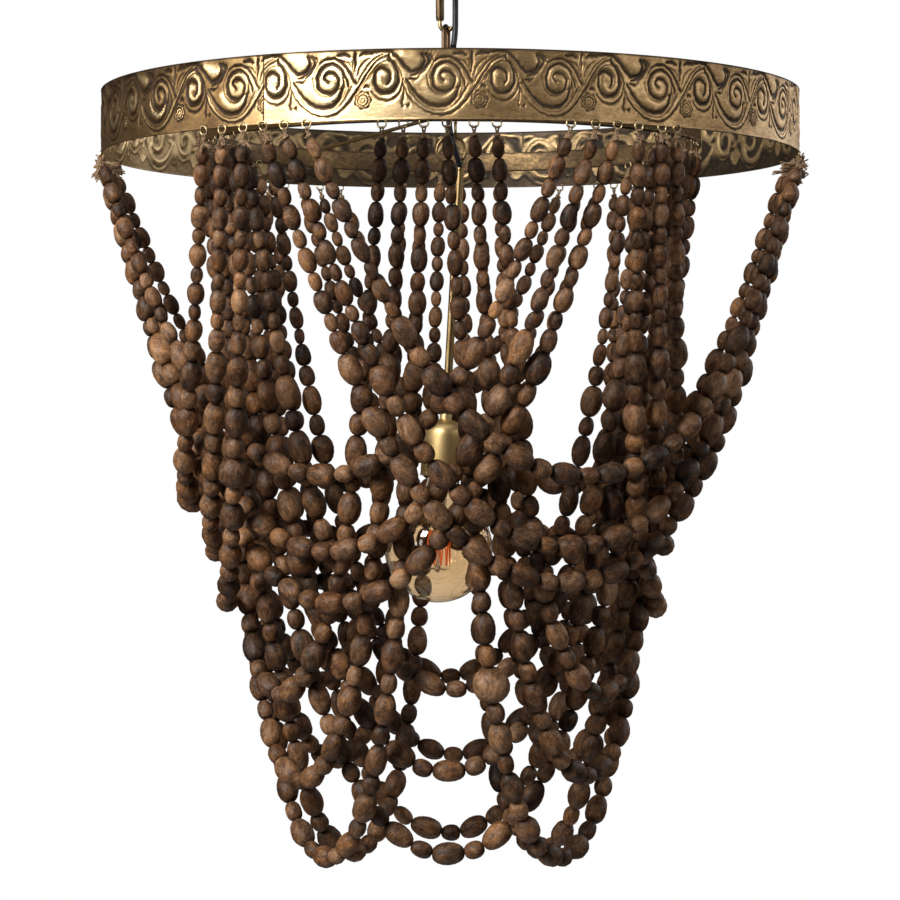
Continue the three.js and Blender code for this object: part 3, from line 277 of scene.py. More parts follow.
# name: (kind of each bead, k for the knots; diameters; the points between the beads, x y z in mm)
STRAND_DATA = {
    "outer_m90_p30_1": ("ksmsmsmsmsmLrLrLrLrLrLrLrLrLmsmsmsmsmsk", [4, 11.31, 15.08, 11.03, 15.93, 11.5, 15.44, 11.14, 15.17, 11.19, 15.01, 21.68, 17.02, 21.74, 15.67, 22.28, 16.58, 21.89, 16.87, 21.21, 15.7, 22.23, 16.42, 22.3, 16.22, 21.91, 16.42, 21.69, 15.4, 10.78, 14.91, 10.85, 15.32, 10.64, 14.59, 11.62, 14.82, 11.67, 4],
        [-300.94, -47.11, -182.2, -298.9, -48.36, -187.7, -293.29, -51.83, -202.8, -286.87, -55.79, -219.73, -281.91, -58.86, -232.51, -274.57, -63.4, -250.8, -269.06, -66.81, -264.04, -261.65, -71.41, -281.28, -256.19, -74.8, -293.54, -248.47, -79.61, -310.34,
         -242.24, -83.49, -323.43, -233.98, -88.65, -340.13, -220.75, -96.92, -363.98, -211.42, -102.75, -378.63, -196.77, -111.89, -398.41, -185.56, -118.87, -411.17, -166.2, -130.86, -428.69, -152.94, -139.08, -437.57, -131.8, -152.2, -447.12, -116.23, -161.91, -450.67,
         -93.11, -176.35, -450.83, -78.68, -185.25, -447.87, -56.11, -198.97, -438.04, -42.37, -207.32, -428.86, -22.62, -219.37, -410.96, -12.34, -225.64, -399.27, 3.35, -235.24, -377.98, 11.91, -240.47, -364.46, 24.59, -248.22, -341.74, 32.57, -253.1, -325.76,
         38.65, -256.82, -313.11, 47.03, -261.94, -295.06, 53.05, -265.63, -281.6, 60.45, -270.16, -264.52, 65.76, -273.42, -251.84, 73.34, -278.06, -233.22, 78.73, -281.37, -219.55, 85.34, -285.44, -202.32, 90.43, -288.56, -188.78, 92.91, -290.08, -182.2]),
    "outer_m90_p30_2": ("ksmsmsmsmsLrLrLrLrLrLrLrLrLrLrLrLsmsmsmsmsk", [4, 10.99, 15.08, 11.08, 15.91, 10.81, 15.25, 11.75, 15.54, 10.97, 21.61, 16.6, 21.75, 16.84, 22.04, 16.84, 22.31, 16.7, 22.46, 17.03, 21.92, 16.85, 20.92, 16.59, 21.01, 16.9, 21.14, 16.38, 22.16, 16.92, 21.3, 16.46, 22.57, 11.65, 14.66, 10.84, 15.3, 11.16, 14.95, 11.31, 15.22, 11.42, 4],
        [-303.45, -26.41, -182.2, -301.71, -27.44, -187.85, -297, -30.21, -203.05, -291.23, -33.6, -221.43, -286.91, -36.14, -234.92, -280.45, -39.94, -254.56, -275.9, -42.62, -268.04, -269.72, -46.25, -285.93, -264.9, -49.08, -299.5, -257.98, -53.14, -318.45,
         -252.89, -56.13, -331.97, -242.16, -62.41, -358.5, -234.61, -66.83, -375.43, -222.84, -73.74, -399.18, -214.56, -78.61, -414, -200.73, -87.73, -437.87, -192.18, -94.11, -452, -176.94, -105.52, -472.93, -166.37, -113.43, -484.55, -147.78, -127.36, -499.95,
         -133.79, -137.86, -507.65, -112.04, -154.16, -513.73, -96.95, -164.98, -513.97, -73.62, -179.7, -508.95, -58.44, -187.45, -502.26, -35.25, -197.09, -486.85, -21.66, -202.63, -474.69, -3.86, -210.43, -455.39, 7.19, -216, -441.15, 23.14, -224.32, -416.7,
         31.46, -229.33, -401.98, 43.3, -237.54, -378.18, 50.47, -242.51, -362.08, 61.39, -249.82, -335.17, 66.69, -253.32, -320.99, 73.45, -257.76, -302.35, 78.38, -260.98, -288.39, 84.79, -265.15, -269.72, 89.29, -268.07, -256.26, 95.27, -271.94, -237.88,
         99.84, -274.89, -223.51, 105.94, -278.81, -203.86, 110.41, -281.68, -189.2, 112.54, -283.05, -182.2]),
    "outer_m90_p30_3": ("ksmsmsmsmsmLrLrLrLrLrLrLrLrLrLrLrLrLmsmsmsmsmsk", [4, 11.48, 14.54, 11.57, 14.57, 11.17, 15.31, 10.87, 15.56, 11.14, 15.67, 21.82, 16.45, 22.69, 16.5, 22.97, 15.84, 21.81, 15.58, 22.18, 16.89, 21.54, 17.11, 21.88, 15.56, 21.79, 16.54, 21.53, 16.83, 21.38, 16.32, 22.99, 16.83, 22.95, 16.36, 22.83, 15.08, 11.19, 15.13, 11.6, 15.63, 11.36, 15.38, 11.18, 15.32, 11.37, 4],
        [-304.43, -10.21, -182.2, -302.8, -11.16, -187.9, -298.36, -13.78, -203.45, -292.69, -17.12, -223.03, -288.7, -19.47, -236.59, -282.92, -22.88, -255.82, -278.66, -25.38, -269.68, -272.8, -28.82, -288.35, -268.54, -31.33, -301.63, -262.54, -34.85, -319.88,
         -258.04, -37.5, -333.27, -251.19, -41.51, -353.04, -241.68, -47.1, -378.46, -235.07, -50.99, -394.67, -223.1, -58.06, -421.03, -214.7, -63.04, -437.41, -201.12, -72.11, -462.21, -192.36, -78.29, -476.62, -178.76, -88.95, -497.75, -169.03, -97.52, -511.93,
         -153.01, -111.97, -531, -140.93, -122.77, -541.49, -122.46, -139.37, -552.27, -109.67, -150.88, -555.98, -86.65, -165.33, -555.86, -70.79, -173.1, -551.62, -47.22, -183.63, -539.58, -33.64, -188.84, -529.16, -14.04, -195.49, -508.78, -3.32, -199.15, -494.75,
         13.22, -205.37, -470.99, 23.08, -209.56, -456.23, 36.77, -215.94, -432.4, 44.98, -220.47, -416.91, 56.64, -227.74, -393.72, 63.96, -232.32, -377.55, 74.21, -238.87, -352.34, 80.84, -243.19, -334.35, 85.64, -246.33, -320.99, 92.38, -250.74, -301.69,
         97.26, -253.93, -287.35, 103.25, -257.86, -269.23, 107.72, -260.79, -255.38, 113.58, -264.64, -236.77, 117.98, -267.54, -222.44, 123.52, -271.18, -204.07, 127.88, -274.06, -189.38, 130.01, -275.46, -182.2]),
    "outer_p30_p150_1": ("ksmsmsmsmsmLrLrLrLrLrLrLrLrLrLmsmsmsmsmsk", [4, 11.64, 14.47, 11.31, 15.09, 11.11, 15.7, 11.43, 14.74, 11.62, 15.54, 22.29, 15.81, 21.44, 16.1, 22.03, 15.98, 21.67, 15.76, 22.48, 17.03, 22.33, 15.52, 22.93, 16, 22.66, 15.89, 22.66, 15.55, 22.98, 15.15, 11.25, 14.48, 10.9, 15.52, 11.34, 14.86, 11.76, 15.12, 11.27, 4],
        [178.18, -247.05, -182.2, 178.36, -244.58, -187.66, 178.82, -238.26, -201.62, 179.43, -229.95, -219.7, 179.87, -223.95, -232.46, 180.51, -215.25, -250.48, 180.99, -208.9, -263.29, 181.65, -200.12, -280.47, 182.13, -193.82, -292.45, 182.87, -184.17, -310.24,
         183.39, -177.44, -322.29, 184.16, -167.58, -339.31, 185.39, -152.14, -363.26, 186.24, -141.46, -377.93, 187.57, -124.88, -398.1, 188.57, -112.24, -411.49, 190.09, -92.53, -429.13, 191.2, -77.62, -440.06, 192.85, -55.09, -453.06, 194.11, -37.83, -460.33,
         196.1, -10.73, -466.98, 197.39, 6.45, -468.07, 197.98, 34.26, -463.49, 197.4, 50.54, -457.06, 196.58, 73.65, -443.84, 196.06, 88.37, -432.8, 195.34, 108.48, -414.11, 194.91, 119.99, -401.37, 194.29, 135.98, -380.9, 193.87, 146.65, -365.37,
         193.33, 160.24, -343.08, 192.95, 170.09, -325.16, 192.7, 176.86, -312.41, 192.34, 186.27, -294.13, 192.11, 192.77, -281.13, 191.78, 201.78, -262.54, 191.57, 207.63, -250.11, 191.29, 215.6, -232.73, 191.08, 221.62, -219.24, 190.83, 229.01, -202.31,
         190.64, 234.69, -189.11, 190.53, 237.65, -182.2]),
    "outer_p30_p150_2": ("ksmsmsmsmsmLrLrLrLrLrLrLrLrLrLrLrLmsmsmsmsmsk", [4, 11.58, 14.84, 11.14, 14.99, 11.75, 14.85, 11.74, 14.78, 11.58, 15.08, 22.45, 15.59, 21.63, 16.24, 23.08, 16.24, 22.3, 15.91, 22.33, 15.7, 21.53, 15.77, 22.8, 16.42, 22.4, 17.08, 21.6, 16.78, 21.89, 15.53, 21.16, 16.67, 21.6, 15.88, 10.98, 15.84, 11.17, 14.66, 10.74, 15.58, 11.37, 15.72, 10.67, 4],
        [165.71, -255.58, -182.2, 165.78, -253.49, -187.82, 165.99, -247.74, -203.24, 166.23, -241.07, -220.87, 166.42, -236.01, -234, 166.67, -228.83, -252.17, 166.87, -223.37, -265.67, 167.12, -216.01, -283.41, 167.32, -210.4, -296.59, 167.6, -202.24, -315.23,
         167.81, -195.99, -329.1, 168.09, -187.96, -346.43, 168.36, -175.25, -371.7, 168.45, -166.17, -388.18, 168.61, -152.16, -411.18, 169.32, -142.53, -425.68, 171.4, -127.03, -446.66, 172.97, -115.23, -460.35, 175.71, -94.64, -480.17, 177.73, -80.13, -491.31,
         181.15, -54.91, -505.68, 183.43, -38.28, -511.93, 187.2, -11.04, -517.35, 188.61, 7.19, -517.72, 188.39, 34.72, -512.47, 187.24, 51, -505.7, 185.41, 74.25, -491.38, 184.17, 88.09, -479.98, 182.44, 107.85, -459.87, 181.48, 118.59, -446.89,
         180.55, 134.22, -425.84, 180.22, 144.81, -410.21, 179.77, 158.58, -387.58, 179.49, 167.24, -371.87, 179.11, 179.56, -347.31, 178.89, 187.26, -330.62, 178.73, 193.33, -317.1, 178.52, 201.25, -298.96, 178.38, 207.07, -285.26, 178.2, 215.06, -265.99,
         178.08, 220.69, -252.09, 177.92, 228.14, -233.28, 177.83, 233.12, -220.39, 177.7, 239.77, -202.84, 177.61, 244.68, -189.73, 177.56, 247.5, -182.2]),
    "outer_p30_p150_3": ("ksmsmsmsmsmLrLrLrLrLrLrLrLrLrLrLrLrLrLmsmsmsmsmsk", [4, 10.88, 15.23, 11.53, 15.9, 11.74, 15.72, 11.35, 15.13, 11.6, 14.71, 21.32, 16.53, 21.49, 16.49, 21.02, 16.42, 22.81, 15.74, 22.46, 16.87, 21.17, 16.89, 22.65, 16.17, 22.19, 16.03, 22.44, 15.69, 21.53, 16.45, 22.73, 15.52, 22.61, 17.03, 21.52, 16.26, 22.26, 15.46, 11.67, 15.27, 11.18, 15.1, 11.7, 14.76, 10.74, 15.56, 11.31, 4],
        [146.9, -266.83, -182.2, 146.97, -264.72, -187.81, 147.15, -258.53, -204.22, 147.36, -251.41, -222.89, 147.52, -245.99, -236.85, 147.74, -238.5, -255.74, 147.9, -232.87, -269.6, 148.13, -225.09, -288.34, 148.3, -219.51, -301.47, 148.52, -212.09, -318.58,
         148.69, -206.08, -332.16, 148.95, -197.56, -350.95, 149.44, -185.48, -375.76, 149.88, -177.1, -391.71, 150.62, -163.02, -416.51, 151.11, -153.74, -431.54, 152.78, -138.14, -455.49, 153.99, -128.42, -469.21, 157.13, -111.52, -491.48, 160.17, -100.12, -505.85,
         165.33, -81.51, -526.79, 168.94, -68.2, -539.19, 174.92, -45.61, -556.19, 178.98, -30.06, -565.15, 179.86, -4.07, -571.53, 179.24, 14.26, -571.61, 176.63, 41.76, -564.73, 173.15, 57.29, -556.83, 166.91, 79.45, -541.12, 163.13, 92.9, -528.51,
         159.12, 110.08, -509.3, 157.01, 121.4, -494.72, 154.59, 136.42, -473.09, 153.36, 146.12, -458.16, 152.97, 161.05, -433.29, 153.54, 169.56, -417.89, 154.36, 182.14, -392.64, 154.86, 189.58, -376.3, 155.56, 199.86, -351.76, 156.08, 207.23, -332.77,
         156.46, 212.43, -319.02, 156.92, 218.85, -301.62, 157.28, 223.67, -288.3, 157.77, 230.33, -269.42, 158.14, 235.29, -255.07, 158.62, 241.58, -236.46, 158.99, 246.4, -221.9, 159.46, 252.58, -202.87, 159.78, 256.79, -189.75, 159.97, 259.21, -182.2]),
    "outer_p150_m90_1": ("ksmsmsmsmsmrLrLrLrLrLrLrLrLrLrmsmsmsmsmsk", [4, 11.06, 15.15, 11.37, 14.47, 11.07, 15.94, 11.64, 15.68, 11.41, 14.8, 16.57, 22.46, 16.21, 22.82, 16.5, 22.54, 17.04, 21.29, 16.06, 21.88, 15.91, 21.99, 16.86, 22.77, 16.67, 22.56, 16.4, 21.18, 16.3, 15.35, 10.77, 15.59, 10.82, 15.42, 11.64, 15.34, 11.66, 15.8, 10.81, 4],
        [107.79, 284.89, -182.2, 105.75, 283.71, -187.72, 100.11, 280.42, -203, 93.31, 276.47, -221.08, 88.14, 273.46, -234.47, 81.04, 269.34, -252.39, 75.75, 266.28, -265.36, 68.2, 261.92, -283.29, 62.72, 258.76, -295.86, 55.23, 254.46, -312.49,
         49.56, 251.2, -324.65, 41.16, 246.4, -342.04, 33.17, 241.85, -357.7, 20.52, 234.7, -379.72, 11.44, 229.58, -393.56, -4.41, 220.78, -414.33, -16, 214.41, -426.99, -34.73, 204.04, -443.33, -47.54, 196.9, -451.69, -70.17, 184.21, -461.73,
         -85.81, 175.47, -465.35, -109.94, 162.06, -465.56, -124.91, 153.47, -462.24, -147.92, 139.63, -451.58, -161.17, 131.28, -442.25, -178.96, 120.1, -425.69, -190.1, 113.08, -412.75, -204.7, 104.12, -392.9, -213.51, 98.85, -379.27, -226.96, 90.8, -355.67,
         -235.07, 85.95, -339.75, -243.08, 81.16, -323.15, -249.28, 77.45, -309.83, -256.92, 72.87, -292.89, -262.27, 69.66, -280.63, -269.36, 65.41, -263.9, -274.92, 62.07, -250.39, -281.88, 57.89, -232.96, -286.86, 54.9, -220.14, -293.55, 50.87, -202.43,
         -298.47, 47.91, -189.18, -301.05, 46.35, -182.2]),
    "outer_p150_m90_2": ("ksmsmsmsmsmLrLrLrLrLrLrLrLrLrLrLrLmsmsmsmsmsk", [4, 11.37, 14.78, 10.98, 15.23, 11.01, 15.12, 11.06, 14.59, 11.64, 15.87, 20.95, 16.43, 22.2, 15.52, 21.33, 16.46, 22.23, 15.92, 21.96, 16.81, 22.73, 15.96, 21.48, 17.11, 21.89, 15.5, 22.24, 16.45, 21.83, 16.22, 21.49, 16.69, 22.3, 15.78, 11.27, 15.61, 11.12, 15.62, 10.71, 15.42, 11.35, 15.65, 10.89, 4],
        [127.1, 276.82, -182.2, 125.3, 275.75, -187.82, 120.29, 272.8, -203.4, 114.17, 269.19, -222.19, 109.51, 266.43, -236.25, 103.43, 262.84, -254.15, 98.5, 259.92, -268.32, 92.27, 256.22, -285.83, 87.51, 253.39, -298.91, 80.85, 249.42, -316.78,
         76, 246.53, -329.47, 68.89, 242.28, -347.49, 58.13, 235.85, -372.57, 51.1, 231.64, -387.54, 38.66, 224.14, -411.4, 30.52, 219.33, -425.29, 15.49, 211.86, -447.85, 5.6, 207.38, -460.62, -12.43, 199.6, -479.99, -25.08, 194.19, -490.85,
         -48.2, 184.37, -505.6, -63.2, 177.81, -511.8, -88.01, 166.59, -516.32, -104.17, 158.76, -515.86, -127.52, 144.31, -510.59, -141.08, 135.18, -504.22, -159.56, 122.32, -491.03, -171.31, 114.06, -479.87, -186.78, 103.09, -461.33, -195.79, 96.65, -448.23,
         -208.86, 87.48, -426.58, -217.73, 81.75, -411.18, -229.41, 74.35, -388.48, -236.33, 69.96, -373.55, -246.46, 63.54, -349.41, -253.34, 59.18, -331.48, -258.16, 56.13, -318.55, -264.99, 51.81, -299.68, -269.68, 48.85, -286.36, -275.91, 44.93, -268.21,
         -280.48, 42.06, -254.56, -286.33, 38.38, -236.67, -290.77, 35.59, -222.77, -296.7, 31.88, -203.79, -301.11, 29.11, -189.46, -303.34, 27.72, -182.2]),
    "outer_p150_m90_3": ("ksmsmsmsmsmrLrLrLrLrLrLrLrLrLrLrLrLrLrmsmsmsmsmsk", [4, 11.2, 14.48, 10.99, 15.55, 11.74, 14.47, 10.86, 15.81, 11.64, 15.58, 16.48, 21.15, 16.26, 20.94, 15.68, 21.5, 15.78, 21.98, 16.78, 21.88, 15.81, 21.82, 15.55, 22.14, 15.95, 22.13, 17.05, 22.92, 15.84, 23.04, 16.55, 22.38, 15.86, 22.21, 17.02, 23.04, 15.81, 15.53, 11.08, 14.92, 11.17, 15.58, 11.48, 14.93, 11.34, 15.86, 10.68, 4],
        [144.05, 268.39, -182.2, 142.28, 267.41, -187.85, 137.45, 264.74, -203.19, 131.46, 261.44, -221.99, 126.96, 258.96, -235.85, 120.53, 255.42, -255.19, 115.84, 252.84, -268.95, 109.55, 249.39, -286.97, 104.48, 246.62, -301.16, 97.47, 242.79, -320.27,
         92.18, 239.91, -334.24, 85.39, 236.21, -351.72, 78.53, 232.49, -368.59, 67.32, 226.46, -393.95, 60.14, 222.64, -408.7, 47.09, 215.79, -432.88, 38.35, 211.56, -447.77, 24.2, 205.28, -469.71, 14.07, 201.33, -484.3, -3.33, 195.7, -506.99,
         -15.69, 192, -520.48, -36.13, 184.82, -537.95, -50.63, 178.86, -546.88, -73.42, 169.41, -556.01, -89.78, 161.86, -559.11, -112.15, 148.78, -558.8, -126.03, 138.99, -555.26, -146.01, 121.98, -544.4, -156.81, 111.91, -534.45, -170.71, 98.53, -515.98,
         -179.03, 90.72, -502.49, -191.67, 80.23, -480.94, -199.82, 74.22, -466.79, -211.74, 65.5, -443.57, -219.22, 60.61, -428.78, -230.63, 53.67, -404.46, -237.14, 49.72, -389.18, -246.64, 43.97, -364.74, -252.35, 40.52, -348.83, -258.49, 36.81, -331.13,
         -262.82, 34.19, -318.31, -268.67, 30.65, -300.62, -272.9, 28.09, -287.56, -278.98, 24.41, -268.31, -283.37, 21.76, -254.09, -288.89, 18.42, -235.83, -292.74, 16.09, -222.86, -298.16, 12.81, -204.19, -302.28, 10.32, -189.84, -304.47, 9, -182.2]),
    "outer_m30_p90_1": ("ksmsmsmsmsLrLrLrLrLrLrLrLrLrLsmsmsmsmsk", [4, 10.71, 15.29, 11.48, 15.1, 11.1, 15.41, 11.08, 15.07, 11.41, 21.58, 15.59, 22.88, 16.75, 20.94, 16.74, 22.74, 16.82, 21.12, 15.97, 21.24, 16.31, 21.32, 15.58, 22.52, 15.78, 21.51, 15.49, 22.81, 11, 15.9, 11.53, 14.51, 10.79, 14.48, 11.27, 14.81, 11.01, 4],
        [-111.04, -283.64, -182.2, -108.67, -282.93, -187.67, -101.91, -280.9, -203.27, -93.96, -278.51, -221.28, -88.07, -276.74, -234.31, -80.02, -274.31, -251.64, -74, -272.49, -264.25, -64.81, -269.72, -282.9, -57.95, -267.64, -296.38, -49.22, -264.99, -313.01,
         -42.37, -262.91, -325.66, -28.99, -258.85, -348.48, -19.24, -255.9, -363.5, -2.9, -250.98, -385.62, 8.54, -247.56, -398.93, 28.52, -241.11, -418.5, 41.95, -235.71, -428.88, 64.48, -223.42, -441.52, 80.09, -214.12, -446.97, 103.48, -200.08, -450.94,
         119.02, -190.7, -450.85, 141.91, -176.85, -446.71, 156.54, -167.99, -441.49, 177.39, -154.13, -429.96, 189.32, -144.68, -419.83, 204.25, -131.78, -402.29, 214.14, -123.23, -388.37, 227.4, -111.72, -366.66, 235.55, -104.64, -351.43, 247, -94.67, -327.06,
         252.57, -89.83, -313.96, 259.93, -83.42, -295.94, 265.24, -78.8, -282.42, 272.26, -72.68, -263.95, 277.39, -68.22, -250.04, 283.79, -62.65, -232.2, 288.27, -58.76, -219.37, 294.24, -53.56, -201.82, 298.5, -49.86, -189.13, 300.82, -47.85, -182.2]),
    "outer_m30_p90_2": ("ksmsmsmsmsmrLrLrLrLrLrLrLrLrLrLrLrmsmsmsmsmsk", [4, 11.12, 14.8, 10.65, 15.68, 11.54, 14.46, 10.75, 15.77, 11.41, 15.2, 15.87, 22.38, 15.52, 22.03, 16.76, 22.26, 16.26, 22.47, 16.59, 21.59, 16.19, 21.76, 17.09, 20.99, 15.59, 21.29, 17.05, 22.17, 16.16, 22.07, 15.56, 22.12, 16.23, 14.76, 11.17, 15.44, 10.98, 14.78, 10.9, 14.69, 10.92, 15.87, 11.43, 4],
        [-128.89, -275.99, -182.2, -126.96, -275.24, -187.83, -121.79, -273.26, -202.85, -115.66, -270.92, -220.43, -110.86, -269.09, -233.93, -104.35, -266.6, -251.84, -99.21, -264.65, -265.61, -92.23, -262, -283.84, -87.05, -260.04, -297.04, -79.39, -257.16, -316,
         -74.15, -255.2, -328.57, -66.51, -252.35, -346.34, -59.14, -249.61, -362.76, -47.58, -245.35, -386.15, -38.87, -242.16, -402.06, -25.34, -237.21, -424.21, -15.47, -233.59, -438.47, 1.17, -227.2, -459.01, 12.9, -222.51, -471.14, 33.84, -212.31, -488.22,
         47.07, -205.06, -496.28, 70.25, -192.31, -505.8, 86.21, -183.48, -509.06, 109.57, -170.51, -509.04, 125.04, -161.95, -505.75, 148.66, -148.93, -495.75, 161.81, -141.7, -487.66, 180.78, -129.08, -471.28, 191.05, -120.84, -459.33, 204.94, -109.63, -439.81,
         214.04, -102.23, -424.84, 226.11, -92.34, -401.94, 233.34, -86.4, -386.46, 243.13, -78.33, -363.2, 249.27, -73.28, -347.17, 255.92, -67.82, -329.04, 260.65, -63.94, -315.78, 267.2, -58.59, -296.87, 271.53, -55.06, -284.03, 277.86, -49.9, -264.76,
         282.13, -46.43, -251.44, 287.64, -41.97, -233.9, 291.8, -38.6, -220.35, 297.05, -34.36, -202.89, 301.08, -31.1, -189.3, 303.18, -29.41, -182.2]),
    "outer_m30_p90_3": ("ksmsmsmsmsmLrLrLrLrLrLrLrLrLrLrLrLrLmsmsmsmsmsk", [4, 10.89, 15.18, 11.18, 15.03, 11.02, 15.18, 11.22, 15.89, 10.89, 15.74, 20.99, 16.35, 22.91, 15.62, 21.87, 16.44, 21.49, 15.67, 21.81, 17, 21.89, 16.31, 21.66, 15.93, 22.09, 16.73, 21.88, 15.96, 22.41, 15.97, 22.59, 17.06, 22.16, 15.58, 22.15, 14.91, 10.87, 14.66, 11.27, 15.64, 11.01, 15.37, 10.68, 15.95, 11.73, 4],
        [-145.77, -267.45, -182.2, -143.9, -266.8, -187.86, -138.44, -264.88, -204.35, -131.78, -262.55, -224.2, -127.07, -260.9, -237.98, -120.44, -258.58, -256.96, -115.33, -256.8, -271.28, -108.34, -254.38, -290.4, -103.04, -252.55, -304.55, -96.26, -250.23, -322.2,
         -90.85, -248.37, -335.94, -83.68, -245.93, -353.68, -73.15, -242.36, -377.96, -65.26, -239.7, -394.77, -52.77, -235.47, -418.9, -44.12, -232.51, -433.96, -29.26, -227.39, -457.1, -19.06, -223.82, -471.11, -1.11, -216.61, -491.72, 11.76, -210.75, -503.88,
         32.19, -200.66, -519.19, 46.4, -193.66, -527.11, 71.36, -180.79, -535.91, 86.78, -172.27, -538.27, 109.62, -157.55, -538.02, 123.76, -148.05, -535.17, 146.15, -133.01, -525.99, 158.78, -124.52, -518.09, 177.65, -110.9, -501.22, 187.61, -103.19, -489.53,
         201.69, -92.2, -469.69, 210.17, -85.49, -455.64, 222.42, -75.71, -432.27, 229.33, -70.13, -417.29, 239.21, -62.08, -393.44, 245.58, -56.86, -376.59, 254.25, -49.76, -351.73, 260.05, -45.02, -333.92, 264.69, -41.24, -319.32, 270.18, -36.77, -301.72,
         274.6, -33.19, -287.27, 280.03, -28.79, -269.1, 284.01, -25.58, -255.52, 289.62, -21.07, -235.99, 293.34, -18.08, -222.77, 298.5, -13.94, -204.08, 302.5, -10.73, -189.4, 304.46, -9.16, -182.2]),
    "outer_p90_m150_1": ("ksmsmsmsmsmLrLrLrLrLrLrLrLrLrLmsmsmsmsmsk", [4, 11.76, 14.57, 10.7, 15.95, 11.52, 15.59, 10.65, 14.61, 11.48, 15.48, 22.65, 15.67, 20.99, 16.84, 22.76, 16.53, 22.55, 15.81, 21.66, 15.85, 21.85, 17.02, 22.93, 16.15, 22.67, 16.68, 20.91, 16.02, 22.12, 15.24, 11.05, 14.49, 11.28, 14.89, 11.6, 14.68, 10.8, 14.87, 11.1, 4],
        [301.24, 45.11, -182.2, 299.55, 46.59, -187.77, 295.11, 50.47, -202.39, 289.73, 55.18, -219.86, 285.44, 58.93, -233.51, 279.6, 64.03, -251.58, 275.47, 67.64, -264.03, 269.37, 72.97, -281.88, 264.74, 77.02, -295.05, 258.54, 82.44, -312.24,
         253.58, 86.78, -325.59, 247.23, 92.33, -342.14, 237.63, 100.76, -364.88, 230.34, 107.17, -380.31, 218.23, 117.87, -403.12, 209.78, 125.35, -416.97, 195.07, 138.11, -436.88, 183.8, 146.84, -448.51, 163.46, 160.42, -462.01, 148.82, 168.82, -466.87,
         124.56, 182.68, -470.61, 108.67, 191.76, -470.19, 83.96, 205.91, -464.92, 70.19, 213.83, -459.36, 48.36, 226.17, -446.11, 34.97, 232.93, -435.29, 16.19, 240.62, -416.53, 5.07, 244.62, -403.22, -11.34, 250.35, -380.77, -20.75, 253.63, -366.29,
         -34.79, 258.53, -342.1, -43.43, 261.54, -325.65, -50.14, 263.89, -312.48, -59.11, 267.02, -294.32, -65.25, 269.17, -281.55, -73.68, 272.12, -263.51, -79.37, 274.11, -251, -86.81, 276.72, -234.23, -92.79, 278.82, -220.45, -100.6, 281.57, -202.03,
         -105.95, 283.44, -189.23, -108.88, 284.48, -182.2]),
    "outer_p90_m150_2": ("ksmsmsmsmsmrLrLrLrLrLrLrLrLrLrLrLrmsmsmsmsmsk", [4, 10.95, 15.42, 11.38, 15.26, 11.28, 15.05, 11.45, 14.86, 10.83, 15.23, 16.62, 23.05, 15.97, 22.89, 16.97, 22.77, 16.12, 20.96, 15.9, 21.96, 16.54, 22.18, 15.87, 21.28, 15.74, 23.02, 16.01, 22.39, 16.27, 21.31, 17.07, 21.2, 16.83, 15.92, 10.92, 14.59, 10.87, 14.78, 11.65, 15.76, 10.9, 14.53, 10.9, 4],
        [303.2, 29.17, -182.2, 301.63, 30.4, -187.86, 297.31, 33.78, -203.42, 291.87, 38.03, -222.76, 288.08, 41, -235.96, 282.84, 45.11, -253.82, 278.62, 48.42, -267.88, 273.21, 52.68, -285.52, 268.79, 56.16, -299.62, 263.19, 60.58, -317.07,
         258.71, 64.12, -330.72, 252.47, 69.06, -349.21, 246.49, 73.8, -366.21, 237.1, 81.24, -390.45, 230.35, 86.56, -406.1, 219.01, 95.45, -429.41, 210.67, 101.93, -444.29, 197.02, 112.44, -465.06, 187.23, 119.95, -477.57, 170.09, 132.81, -495.26,
         156.61, 141.47, -504.07, 132.66, 155.71, -512.8, 117.85, 164.59, -515.1, 93.67, 179.16, -513.76, 78.36, 188.38, -509.66, 56.3, 201.61, -499.44, 43.12, 209.47, -490.82, 24.5, 219.59, -475.16, 12, 224.57, -462.93, -5.86, 231.25, -441.94,
         -16.48, 235.14, -427.4, -31.51, 240.63, -404.15, -40.8, 244.01, -388.06, -52.82, 248.4, -365.09, -60.5, 251.21, -349.07, -68.71, 254.23, -331.11, -74.66, 256.42, -317.68, -82.32, 259.25, -299.91, -88.13, 261.4, -286.11, -95.76, 264.24, -267.47,
         -100.95, 266.17, -254.48, -108.16, 268.87, -235.92, -113.43, 270.84, -222.02, -120.36, 273.44, -203.36, -125.46, 275.35, -189.44, -128.11, 276.35, -182.2]),
    "outer_p90_m150_3": ("ksmsmsmsmsmLrLrLrLrLrLrLrLrLrLrLrLrLrLmsmsmsmsmsk", [4, 11.67, 14.83, 11.32, 14.55, 11.04, 15.5, 10.82, 14.74, 11.31, 14.61, 21.76, 16.72, 22.87, 16.32, 20.92, 16.34, 22.35, 15.6, 21.1, 15.73, 23.08, 16.5, 23.07, 15.74, 22.1, 15.49, 21.16, 16.64, 23.1, 16.71, 22.42, 16.44, 22.33, 16.8, 21.56, 15.99, 22.83, 14.82, 11.68, 15.16, 11.21, 14.74, 11.71, 15.19, 11.04, 14.99, 10.71, 4],
        [304.44, 9.73, -182.2, 302.99, 10.91, -187.9, 299.09, 14.04, -203.11, 294.51, 17.73, -220.78, 290.73, 20.78, -235.14, 285.89, 24.69, -253.22, 282.14, 27.71, -266.96, 276.96, 31.91, -285.58, 273.26, 34.91, -298.61, 267.92, 39.25, -317.03,
         264.1, 42.35, -329.94, 258.53, 46.89, -348.37, 249.92, 53.93, -374.92, 244.15, 58.66, -391.33, 235.01, 66.13, -415.02, 228.18, 71.7, -431, 217.44, 80.45, -453.78, 209.45, 86.95, -469, 196.62, 97.35, -490.33, 187.37, 104.83, -503.58,
